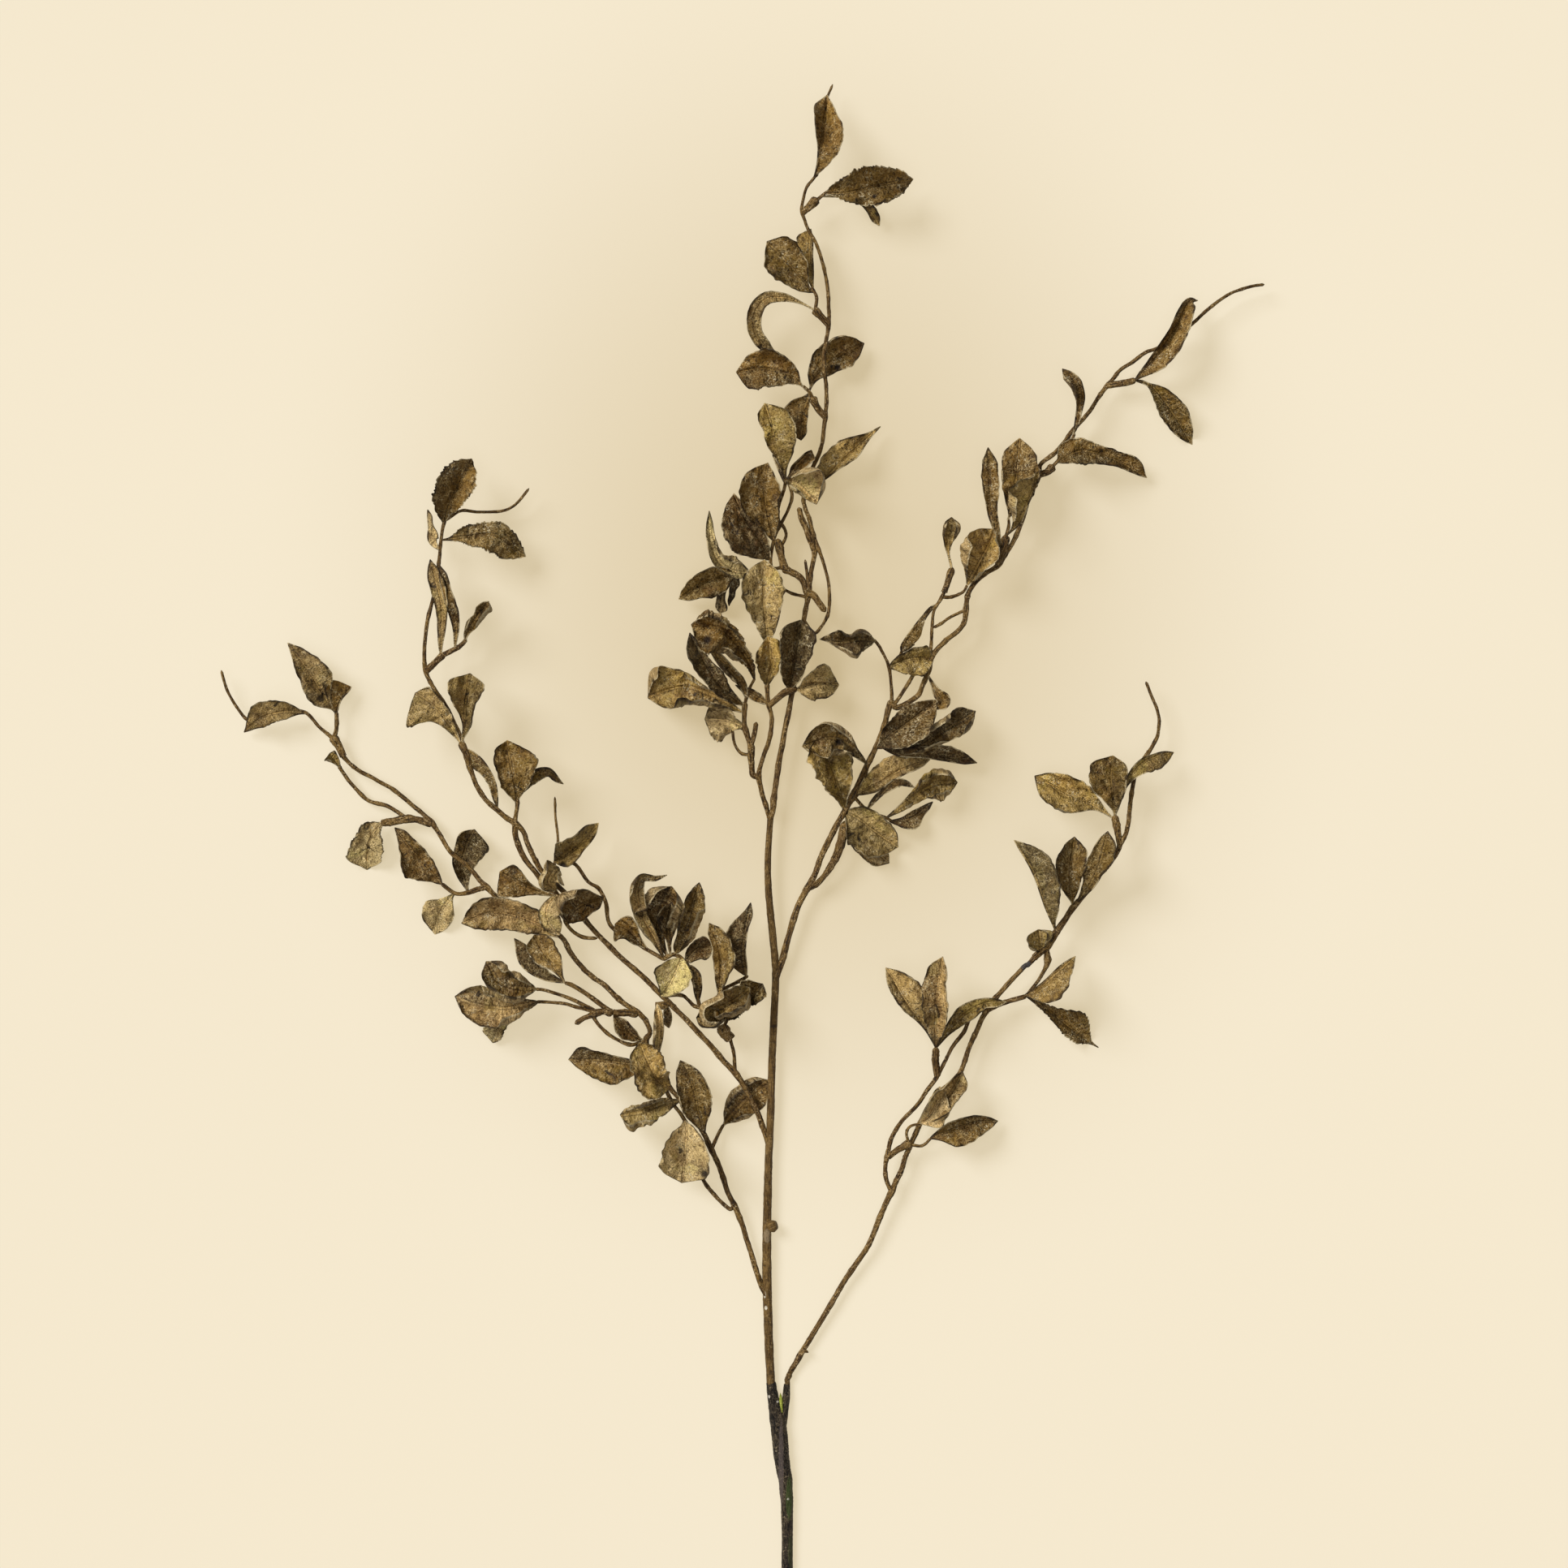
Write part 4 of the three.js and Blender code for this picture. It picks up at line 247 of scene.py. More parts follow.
TWIGS["leader_spray"] = [
    [[1.8, 1.5, 1.3, 1.2, 1, 0.8], [[-9.5, 560, 10.2], [-7.5, 572, 11], [-5, 592, 12], [-1, 614, 13],
     [2.5, 632, 14], [5, 645, 14.5], [8.5, 664, 15], [11, 684, 16], [13.5, 697, 17], [15, 709, 17.5],
     [16.5, 719, 18], [18, 727, 18], [17, 737, 18.5], [14.5, 747, 19], [12, 754, 19], [11, 760, 19.5],
     [14, 772, 20], [20, 786, 20.5], [22.5, 794, 21], [24, 807, 21], [25, 817, 21.5], [25, 827, 22],
     [24, 837, 22], [23.5, 847, 22], [25, 857, 22], [26.5, 867, 22], [26.5, 877, 22], [26, 887, 22],
     [24.5, 897, 22], [22, 907, 21.5], [18.5, 917, 21], [14.5, 924, 20], [12, 930, 20], [10, 938, 19],
     [12.5, 950, 19], [17.5, 957, 19], [20, 962, 18.5], [22, 987, 17], [24, 1002, 16], [29, 1015, 15]]],
    [[2.3, 2.2], [[10.4, 935.8, 19.2], [20, 944, 21]]],
    [[1.1, 0.8], [[18.5, 942.6, 20.7], [24, 947, 22], [27, 949, 23]]],
    [[2.1, 2.2], [[26.3, 866.8, 22], [21, 872, 23.5], [17.5, 876, 24]]],
    [[1.1, 0.9], [[18.2, 875.2, 23.8], [19, 883, 25], [16, 889, 25.5]]],
    [[2.1, 2.2], [[24.3, 809.8, 21.2], [19, 816, 23], [16, 822, 23.5]]],
    [[1.2, 0.9], [[16.4, 821.2, 23.4], [14.5, 825, 24], [10, 829, 25]]],
    [[1.1, 1], [[17, 737, 18.5], [22, 724, 19], [26, 710, 19], [27, 696, 18.5], [25.5, 687, 18],
     [22, 681, 17], [17.5, 677, 16.5], [11, 685, 16]]],
    [[2, 2], [[14, 700.5, 16.7], [17, 700, 17.5], [21, 695, 18.5], [24.5, 690, 18.5]]],
    [[2, 1.7], [[17.9, 727.1, 18], [14, 738, 20], [10, 747, 20.5], [8, 754, 20.5]]],
    [[1, 0.9], [[14.4, 703.1, 16.9], [13.5, 711, 18.5], [12, 722, 19]]],
    [[1, 0.9], [[13.4, 699, 16.7], [5, 701, 16], [-1.5, 704, 16]]],
    [[1.9, 2.1], [[14.1, 700.8, 16.8], [9, 711, 17], [-2, 717, 16.5]]],
    [[2.1, 2.2], [[-0.8, 716.4, 16.6], [-3, 726, 16], [-5, 735, 15.5]]],
    [[1, 1], [[-3.7, 728.7, 15.8], [0, 736, 14], [-0.5, 741, 13.5], [-5, 748, 14], [-4, 756, 15],
     [-1, 765, 17], [0, 772, 18.5]]],
    [[1, 1], [[-2, 717, 16.5], [-9, 718, 16.5], [-8, 731, 16], [-6, 738, 15.5], [-2, 746, 15], [2, 754, 15.5],
     [4, 762, 17], [1, 771, 18.5]]],
    [[0.9, 0.8], [[-8.7, 718.9, 16.5], [-15, 717, 17], [-22, 714, 17], [-30, 712, 16.5]]],
    [[0.9, 0.8], [[0, 772, 18.5], [8, 769, 18], [15, 771, 17]]],
]
LEAVES["leader_spray"] = [
    ["top_upright", [[17.5, 957, 19], [20.5, 969, 24], [23, 986, 26], [25.5, 1008, 20]],
     [0.5, 1, 2.5, 5.5, 6.5], [3, 8, 12.5, 12, 5.5], {"fold": [62, 14], "curl": [10, 10]}],
    ["top_side", [[24, 947, 22], [40, 947.5, 27], [58, 952, 27], [78.5, 956, 21]], [6, 10, 12.5, 10, 7],
     [2, 7, 11.5, 12.5, 8], {"roll": 6, "fold": 10, "curl": [20, -14], "twist": 8}],
    ["top_under", [[22.2, 945.4, 21.7], [38.5, 945, 15], [50.5, 939, 11], [58, 928.5, 8]],
     [1, 3, 4.5, 4, 3.2], [0.6, 0.6, 0.6, 2, 2.6], {"roll": -20, "fold": 20}],
    ["second_left", [[17, 886, 25.2], [3, 902, 29], [-11.5, 917.5, 24]], [6, 10, 13.5, 13, 6.5],
     [1, 7, 10.5, 11.5, 9], {"roll": 10, "fold": 18, "curl": 20}],
    ["second_up", [[17, 887, 25.2], [14.5, 908, 19], [15.5, 926, 15]], [2, 6, 8, 8.5, 7],
     [1, 2.2, 2.5, 2.5, 1.5], {"roll": -20, "fold": 12}],
    ["second_drooping", [[18.5, 875, 24], [8, 880, 27], [-2, 882.5, 29], [-12, 881.5, 29], [-18.5, 874, 26],
     [-19, 863, 20], [-13, 854, 14], [-6, 850, 11]], [1, 3, 4.4, 4.4, 3.4], [1, 3, 4.4, 4.2, 3.4],
     {"roll": 10, "fold": 14, "curl": 10}],
    ["third_left", [[13, 826, 24.5], [2, 835, 28], [-14, 839, 30], [-30.5, 837, 25]],
     [1.2, 6.3, 10.7, 12.7, 12], [1, 6, 10.5, 11, 6], {"roll": -8, "fold": 14, "curl": 16}],
    ["third_right", [[14.3, 825.1, 24], [20, 836, 15], [34, 849, 12], [48.5, 856, 9]],
     [1.5, 6.5, 11.4, 10, 6], [0.8, 2.5, 7, 10, 6], {"roll": 14, "fold": 6, "curl": 22}],
    ["third_hanging", [[14.8, 824.2, 23.9], [11, 812, 17], [9.5, 796, 10]], [1, 2.5, 3, 3, 3],
     [3, 9, 12, 12, 8], {"roll": 12, "fold": 16}],
    ["fourth_left", [[0, 772, 18.5], [-5, 786, 26], [-8, 801, 29], [-13, 818, 25]], [0.6, 1.7, 5.4, 6, 6.2],
     [3, 10, 13, 13.5, 9], {"roll": -14, "fold": 16, "curl": 18}],
    ["fourth_blade", [[-1, 770, 18], [-5, 779, 17], [-8, 787, 15]], [0.6, 0.6, 0.6, 0.6, 0.6],
     [1.5, 2, 2.2, 1.3, 0.8], {"roll": 30}],
    ["fourth_rolled", [[0.5, 771.8, 18.5], [8, 781, 24], [16, 789, 26]], [0.6, 2.3, 2, 1.8, 1.5],
     [2, 4, 5.4, 5.7, 5.5], {"fold": 20, "curl": 115}],
    ["fourth_right", [[9, 769, 18], [22, 771, 17], [38, 786, 17], [58.5, 804.5, 11]], [4, 6.5, 10, 10, 3],
     [1, 1, 2, 5, 1.7], {"roll": -8, "fold": 12, "curl": 12}],
    ["fourth_bent", [[0, 771, 18.5], [9, 767, 23], [19, 756, 21]], [2.5, 7, 13, 14, 10], [2, 4.5, 5, 4, 2],
     {"roll": 10, "fold": 40, "curl": 24}],
    ["middle_dark", [[-9.1, 722.2, 16.3], [-16, 734, 20], [-25, 747, 21], [-32, 763, 16]],
     [8, 16, 17.5, 15, 8], [2.5, 5, 6, 5.5, 3], {"roll": 8, "fold": 14, "curl": 14}],
    ["middle_upright", [[-7, 733, 15.5], [-10, 745, 18], [-13, 764, 19], [-11, 782, 14]], [3, 8, 14, 15, 10],
     [2, 6, 8, 10, 5], {"roll": -10, "fold": 12, "curl": 16}],
    ["middle_tip", [[-22, 714, 17], [-33, 715, 21], [-42, 722, 24], [-46, 736, 24], [-47, 752, 20]],
     [4, 3.5, 3.5, 3, 2], [6, 9, 5, 3, 2], {"roll": 20, "fold": 30, "curl": 20}],
    ["middle_left", [[-27, 712.7, 16.8], [-40, 711.5, 17.5], [-54, 706, 15], [-66, 698, 9]],
     [2.5, 9.5, 10.6, 8.2, 4.8], [2, 6, 6.7, 5.7, 3.5], {"roll": -20, "fold": 24, "curl": 16}],
    ["middle_hanging", [[-29, 712, 16.5], [-37, 703, 11], [-40.5, 689, 6]], [0.6, 0.6, 0.6, 1.5, 4],
     [3, 4.5, 4, 4, 3.5], {"roll": 20, "fold": 20}],
    ["middle_small", [[-30, 712, 16.5], [-32, 704, 11], [-35, 694, 7]], [2, 3, 1.6, 1.9, 0.8],
     [2, 2.8, 2.8, 2, 1.7], {"roll": -30}],
]
TWIGS["left_fork_spray"] = [
    [[1.5, 1.3], [[-9.5, 561, 10.2], [-12, 570, 10.5], [-15, 580, 11.5], [-16.5, 590, 12.5], [-14, 600, 14],
     [-10.5, 610, 16], [-8.5, 620, 17.5], [-9, 627, 18], [-11, 636, 18.5], [-11.5, 646, 18.5]]],
    [[1.2, 0.9], [[-11.5, 645, 18.5], [-11, 656, 19], [-10.5, 668, 20]]],
    [[2, 2.3], [[-10, 632.6, 18], [-1, 640, 20], [7, 643, 20]]],
    [[2, 1.4], [[-16.5, 588.1, 12.3], [-20.5, 590, 13], [-21, 598, 14], [-21.5, 607, 15], [-24, 615, 16],
     [-25.5, 622, 17], [-25, 635, 18]]],
    [[1.4, 1.6], [[-21.4, 606, 14.9], [-19.5, 614, 17], [-18, 622, 18.5]]],
    [[1, 0.8], [[-24.4, 617, 16.4], [-29, 619, 16], [-33, 620, 16]]],
    [[1, 0.8], [[-21.5, 602, 14.5], [-27.5, 603, 14], [-31.5, 609, 14], [-33, 619, 15.5]]],
    [[1.1, 0.9], [[-25.2, 632, 17.8], [-23, 641, 18.5], [-19, 649, 18.5]]],
]
LEAVES["left_fork_spray"] = [
    ["pale_ovate", [[-10.5, 667, 20], [-12, 680, 27], [-13.5, 699, 29], [-13, 722, 25]],
     [2, 5, 9.3, 13.5, 11], [2, 6, 9.8, 12.8, 9.5], {"roll": -6, "fold": 10, "curl": 14}],
    ["big_crumpled", [[-19, 648, 18], [-24, 662, 23], [-38, 678, 29], [-58, 682, 25]], [2, 5, 12, 17, 16],
     [2, 3.5, 5, 8, 9], {"roll": 14, "twist": -30, "fold": [34, 46], "curl": [60, 30]}],
    ["dark_left", [[-25, 632, 18], [-38, 642, 26], [-48, 656, 28], [-59, 677, 22]], [3, 5, 6.3, 7.6, 6.5],
     [2, 4, 6.5, 4, 2.8], {"roll": 24, "fold": 20, "curl": 20}],
    ["twisted_strip", [[-24, 636, 18], [-27, 646, 24], [-37, 657, 29], [-50, 673, 27]],
     [1.5, 2.5, 3.5, 3.5, 2], [1.5, 2.5, 3, 3, 2], {"roll": -30, "twist": 60, "fold": 30, "curl": 40}],
    ["folded_left", [[-26, 628, 17.5], [-44, 638, 20], [-64, 644, 20], [-85, 637, 12]],
     [3, 7, 10, 12.5, 10.5], [1.5, 2, 4.5, 11, 15], {"roll": -12, "fold": [44, 10], "curl": [40, 10]}],
    ["pale_ragged", [[-25, 619, 16], [-36, 623, 17], [-50, 624, 13]], [2.5, 7, 12.5, 14.5, 8],
     [2, 3.8, 8, 11, 11.5], {"roll": -10, "fold": 16, "curl": 22}],
    ["right_upright", [[2, 642, 20], [5, 658, 24], [9, 685, 20]], [4, 7, 8, 10, 10], [4, 6.5, 8, 11, 10],
     {"roll": 12, "fold": 20, "curl": 16}],
    ["pale_crumpled", [[-11.5, 644, 18.5], [-9, 658, 26], [-11, 675, 26]], [4, 7.2, 9.3, 8.8, 4],
     [2, 4.3, 5.8, 7, 6], {"roll": -10, "fold": 36, "curl": 46}],
    ["right_side", [[6, 642.5, 20], [18, 646, 20], [33, 645, 13]], [1, 4.6, 8, 12, 5],
     [5, 10.5, 10.3, 9.6, 6.7], {"roll": 10, "fold": 20, "curl": 20}],
    ["small_dark", [[-10.4, 633.3, 18.3], [-22, 640, 19], [-31, 645, 17]], [2, 3, 3, 2, 1], [2, 3, 3, 2, 1],
     {"roll": 20, "fold": 20}],
]
TWIGS["inner_right_spray"] = [
    [[2, 1.7, 1.5, 1.4, 1.2, 0.9], [[-5.5, 465, 8.2], [-2, 475, 8.6], [1, 487, 9], [7.5, 508, 9.5],
     [12, 517, 10], [17.5, 527, 10.5], [22, 539, 11], [28, 552, 12], [33.5, 562, 12.5], [37, 568, 13],
     [42, 578, 13.5], [47, 589, 14], [53.5, 602, 15], [57.5, 611, 16], [61, 620, 17], [64.5, 634, 18],
     [69, 631, 18], [81, 638, 18.5], [84.5, 645, 19], [87.5, 653, 19.5], [91, 664, 20], [98.5, 672, 20],
     [106, 678, 20], [110, 684, 20], [111, 692, 20], [112, 700, 20], [116, 707, 20], [122, 713, 20],
     [130, 718, 20], [135, 725, 20], [140, 733, 20], [144, 742, 20], [147, 751, 20], [148.5, 758, 20],
     [152, 765, 20], [156, 774, 20], [157, 781, 20], [166, 788, 18.5], [172, 795, 17], [177, 802, 15.5],
     [182.5, 808, 14.5], [187.5, 814, 14], [192, 821, 13], [197, 828, 12.5], [202, 834, 12], [206, 839, 12],
     [213.5, 844, 12], [222, 850, 12], [230, 853, 12.5], [238.5, 859, 13], [251, 868, 14], [258.5, 875, 14.5],
     [266, 881, 14.5], [273.5, 886, 14], [281, 889, 13.5], [288.5, 891, 13], [295, 892, 12.5]]],
    [[1.5, 3], [[13.3, 518.6, 10.1], [21, 524, 11.5], [27, 532, 13], [31, 539, 14], [34.5, 549, 15],
     [36.5, 561, 15]]],
    [[1.1, 0.9], [[35.9, 567.6, 13], [46, 580, 13], [50, 592, 15], [51, 597, 16]]],
    [[1.1, 0.8], [[41, 577.5, 13.6], [50, 568, 11], [60, 564, 9], [66, 561, 8]]],
    [[1.1, 0.9], [[61, 619, 17], [65, 634, 19], [65, 643, 20], [63.5, 656, 21], [58.5, 667, 23],
     [54, 673, 24]]],
    [[1.2, 1.1], [[66.9, 632.8, 18], [73, 642, 19], [78.5, 651, 20], [82, 658, 20.5], [91, 665, 20]]],
    [[1, 0.9], [[63.5, 656, 21], [68, 658, 21], [72, 667, 22.5]]],
    [[1.1, 0.9], [[88, 655, 19.5], [89.5, 670, 21], [90, 680, 22], [91, 690, 23], [95, 697, 23.5],
     [98, 703, 24]]],
    [[1.9, 2.1], [[97.4, 701.8, 23.9], [100, 710, 24], [102.5, 717, 24.5]]],
    [[1, 0.9], [[110.6, 691, 20], [102, 687, 19.5], [96, 683, 20], [91, 680, 22]]],
    [[1.1, 0.9], [[96, 699, 23.5], [102, 699, 23], [109, 702, 22], [112, 707, 22]]],
    [[2.1, 2.2], [[130.9, 719, 20], [134, 728, 22], [135.5, 737, 23]]],
    [[1, 0.9], [[135, 735, 23], [137, 742, 23], [137, 748, 23]]],
    [[2.1, 2.2], [[156, 774.1, 20], [161, 776, 20.5], [165, 780, 19.5]]],
    [[1.1, 0.9], [[164.5, 779.5, 19.6], [171, 787, 18.5], [175, 793, 18], [178, 800, 18]]],
    [[2, 2.2], [[198.3, 829.5, 12.4], [207, 831, 14], [216, 833, 14.5]]],
]
LEAVES["inner_right_spray"] = [
    ["lower_round", [[37, 567, 13], [46, 562, 14], [56, 554, 11], [69.5, 545, 5]], [5, 8.5, 10, 10, 7],
     [7, 14.5, 16, 15.5, 11], {"roll": 8, "fold": 12, "curl": [30, 10]}],
    ["lower_under", [[36.5, 561, 15], [48, 549, 6], [64, 535, 2]], [2, 4, 4, 4.5, 5], [3, 6.5, 8, 8, 7],
     {"roll": -10}],
    ["left_crumpled", [[36.4, 567.1, 12.9], [34, 577, 19], [29, 592, 23], [20, 614, 21]],
     [1.7, 4, 8.4, 10.5, 11], [2, 4.4, 9.5, 13, 12], {"roll": 16, "fold": 30, "curl": [50, 30]}],
    ["left_folded", [[50.5, 596, 15.5], [42, 606, 27], [27, 612, 31], [10, 607, 24]], [2.5, 5, 9, 12, 9],
     [0.8, 1.5, 7, 10, 5.5], {"roll": 10, "fold": [16, 40], "curl": 20}],
    ["big_dark", [[56, 606, 16], [64, 614, 23], [77, 623, 26], [93, 636, 20]], [1.8, 5.5, 7.5, 9.4, 5],
     [5, 10, 13, 13, 8], {"roll": -10, "fold": 16, "curl": 18}],
    ["long_folded", [[56.8, 609.5, 15.8], [76, 605, 21], [98, 617, 22], [117, 629, 17]],
     [1.5, 3, 5.5, 7, 7.5], [1, 2.5, 5, 7.5, 7], {"roll": 16, "fold": [14, 44], "curl": 16}],
    ["small_hook", [[87, 652, 19.5], [93, 640, 24], [96, 634, 25], [91, 630, 22]], [1, 2.7, 5, 4.5, 2],
     [1, 2.5, 3, 2.8, 2], {"roll": 20, "fold": 30, "curl": 30}],
    ["long_narrow", [[57, 608, 16], [70, 602, 21], [95, 601, 20], [118, 597, 12]], [1.5, 3.5, 5.5, 7, 4.5],
     [0.8, 1, 1.5, 2.7, 2.5], {"roll": -6, "fold": 20}],
    ["pale_long", [[42, 577, 13.5], [56, 584, 16], [72, 593, 16], [89, 599, 9]], [3.5, 8.5, 10.5, 10, 7],
     [2.5, 4.5, 4, 3.5, 3], {"roll": -12, "fold": 12, "curl": 16}],
    ["crumpled_side", [[62, 563, 8.5], [76, 574, 14], [91, 584, 17], [106, 585, 9]], [1, 2, 5, 8.7, 7],
     [2, 4, 6, 12, 8], {"roll": 18, "fold": 30, "curl": 40}],
    ["olive_low", [[64, 561, 8], [78, 563, 7], [91, 573, 3]], [1, 2.2, 4, 3.1, 1.7], [2.5, 5, 7, 3.2, 2],
     {"roll": -8, "fold": 10}],
    ["dark_strip", [[50, 568, 11], [60, 579, 24], [69, 587, 27], [79, 582, 23]], [2, 2.5, 1.6, 0.6, 1.3],
     [1, 1.5, 4, 5, 2.3], {"roll": 10, "fold": 30, "curl": 20}],
    ["curled_left", [[55, 672, 24], [46, 673, 28], [34, 671, 28], [21, 673, 20]], [4.5, 8, 10.7, 4.2, 1],
     [3, 6, 4, 7, 4], {"roll": -10, "fold": [20, 34], "curl": 30}],
    ["short_olive", [[63.5, 656, 21], [76, 661, 24], [91, 661, 20]], [2.5, 4, 5, 7, 7], [4, 9, 10.5, 11, 9],
     {"roll": 8, "fold": 24}],
    ["edge_on", [[71, 665, 22.5], [74, 674, 25], [83, 685, 26], [94, 695, 22]], [1.5, 0.6, 0.6, 1.2, 2],
     [5, 6.5, 6.5, 2.5, 0.6], {"roll": 66, "fold": 16}],
    ["upright_narrow", [[133, 727, 22], [129, 742, 25], [125.5, 765, 27], [124.5, 791, 21]],
     [1.2, 2, 3.7, 4.6, 4], [1.2, 2.5, 3, 6, 5], {"roll": 14, "fold": 16}],
    ["upright_big", [[136.5, 746, 23], [139, 757, 25], [142, 774, 25], [144, 797, 18]],
     [0.8, 3.5, 7.5, 9.8, 8.5], [2, 6, 12.5, 13.5, 9.5], {"roll": -8, "fold": 12, "curl": 12}],
    ["upright_folded", [[135, 736, 23], [144, 746, 32], [150, 761, 35], [156.5, 777, 29]],
     [0.7, 5, 12, 12, 4], [0.9, 1.5, 1, 1.5, 1], {"roll": -12, "fold": 36, "curl": 14}],
    ["brown_folded", [[111.5, 706, 22], [116, 714, 26], [122, 725, 28], [129, 741, 23]],
     [2.5, 7, 14, 15, 11.5], [2, 4, 5.5, 9, 3.5], {"roll": -16, "fold": 32, "curl": 20}],
    ["brown_spoon", [[102, 716, 24.5], [100, 726, 27], [100, 737, 27], [102, 748, 22]],
     [0.7, 1, 2.6, 3.8, 3.5], [1, 0.8, 2.5, 6, 6.5], {"roll": 20, "fold": 20, "curl": 20}],
    ["tip_spoon", [[177, 799, 18], [179.5, 810, 21], [181, 820, 25], [179, 829, 29], [174, 836, 29],
     [170, 839, 25]], [1, 2, 4, 5.5, 4], [2, 2.3, 3, 2.8, 1], {"roll": 10, "fold": 20, "curl": 20}],
    ["right_folded", [[167, 782, 19], [182, 789, 20], [202, 784, 16], [223, 773, 8]], [8, 8, 5.2, 6, 6.5],
     [5, 9.2, 7.5, 4.2, 2.2], {"roll": -10, "fold": [12, 26], "curl": 14}],
    ["tip_long", [[215, 832.5, 14.5], [225, 843, 20], [238, 861, 21], [248, 880, 17], [254, 882, 14]],
     [2, 3, 3.5, 3.5, 1.2], [3, 8.5, 8.4, 6, 1.5], {"roll": 20, "fold": 34, "curl": 10}],
    ["tip_ovate", [[215, 833, 14.5], [226, 829, 13], [239, 813, 7], [251.5, 794, -1]], [1, 1.2, 6.3, 8, 5.2],
     [1.2, 2.2, 6, 8, 5.2], {"roll": 6, "fold": 10, "curl": 10}],
]
TWIGS["outer_right_spray"] = [
    [[1.7, 1.7, 1.6, 1.5, 1.4, 0.9], [[0.8, 212.5, 3], [1.5, 217, 3.2], [4.5, 223, 3.5], [12, 236, 4.2],
     [24, 256, 5.2], [37.5, 279, 6.2], [51, 299, 7.4], [58, 316, 8.4], [66, 334, 9.5], [71, 345, 10.2],
     [75, 357, 11], [80, 368, 11.5], [84, 377, 12], [92, 391, 13], [101, 399, 14], [108, 407, 14.5],
     [112.5, 420, 15], [118.5, 434, 15.5], [124.5, 446, 16], [133.5, 457, 16], [146.5, 471, 16.5],
     [154, 478, 16.8], [191, 525, 18], [197, 532, 18], [203.5, 541, 18], [206, 547, 18], [210, 555, 18],
     [211.5, 565, 17.5], [212.5, 575, 17], [214.5, 587, 16.5], [216, 593, 16], [222.5, 602, 15.5],
     [228, 611, 15], [230, 619, 14.5], [229.5, 628, 14], [226, 637, 14], [222, 647, 14]]],
    [[2.2, 1.6], [[153, 477, 16.8], [161, 484, 17], [168.5, 495, 17.5], [176, 507, 17.5], [181, 513, 17.5]]],
    [[1.3, 0.9], [[8.4, 229.8, 5.5], [11.5, 233.5, 6.2], [14, 233, 6.8]]],
    [[1.4, 1.2], [[65, 332.4, 9.4], [61.5, 343, 10.5], [62.5, 354, 11.5], [65.5, 366, 12.5], [71.5, 376, 13],
     [81, 386, 14.5], [87, 395, 15.5], [94.5, 406, 16], [101.5, 420, 17], [110, 432, 17.5],
     [113, 440, 18.5]]],
    [[2.1, 2.4], [[93.3, 404.2, 15.9], [92.5, 413, 17], [92.5, 422, 18]]],
    [[1.9, 2.2], [[63.3, 354.1, 11.5], [70, 359, 13.5], [77.5, 363, 14]]],
    [[1, 0.9], [[76, 362, 14], [74.5, 369, 17], [77, 373.5, 18.5], [84, 375, 20]]],
    [[1, 0.9], [[76, 362, 14], [84, 361, 13.5], [90, 366, 13.5]]],
    [[1.4, 2.3, 1.3, 1.1, 1.1], [[160.7, 484.3, 17], [161, 474, 15.5], [157, 465, 14.5], [149, 454, 14]]],
    [[1.6, 1.5], [[124.4, 444.7, 15.8], [130, 447.5, 15], [137, 450, 14.5], [149, 453.5, 14]]],
    [[2.1, 2.3], [[206, 547, 18], [204, 556, 18.5], [202.5, 565, 19]]],
]
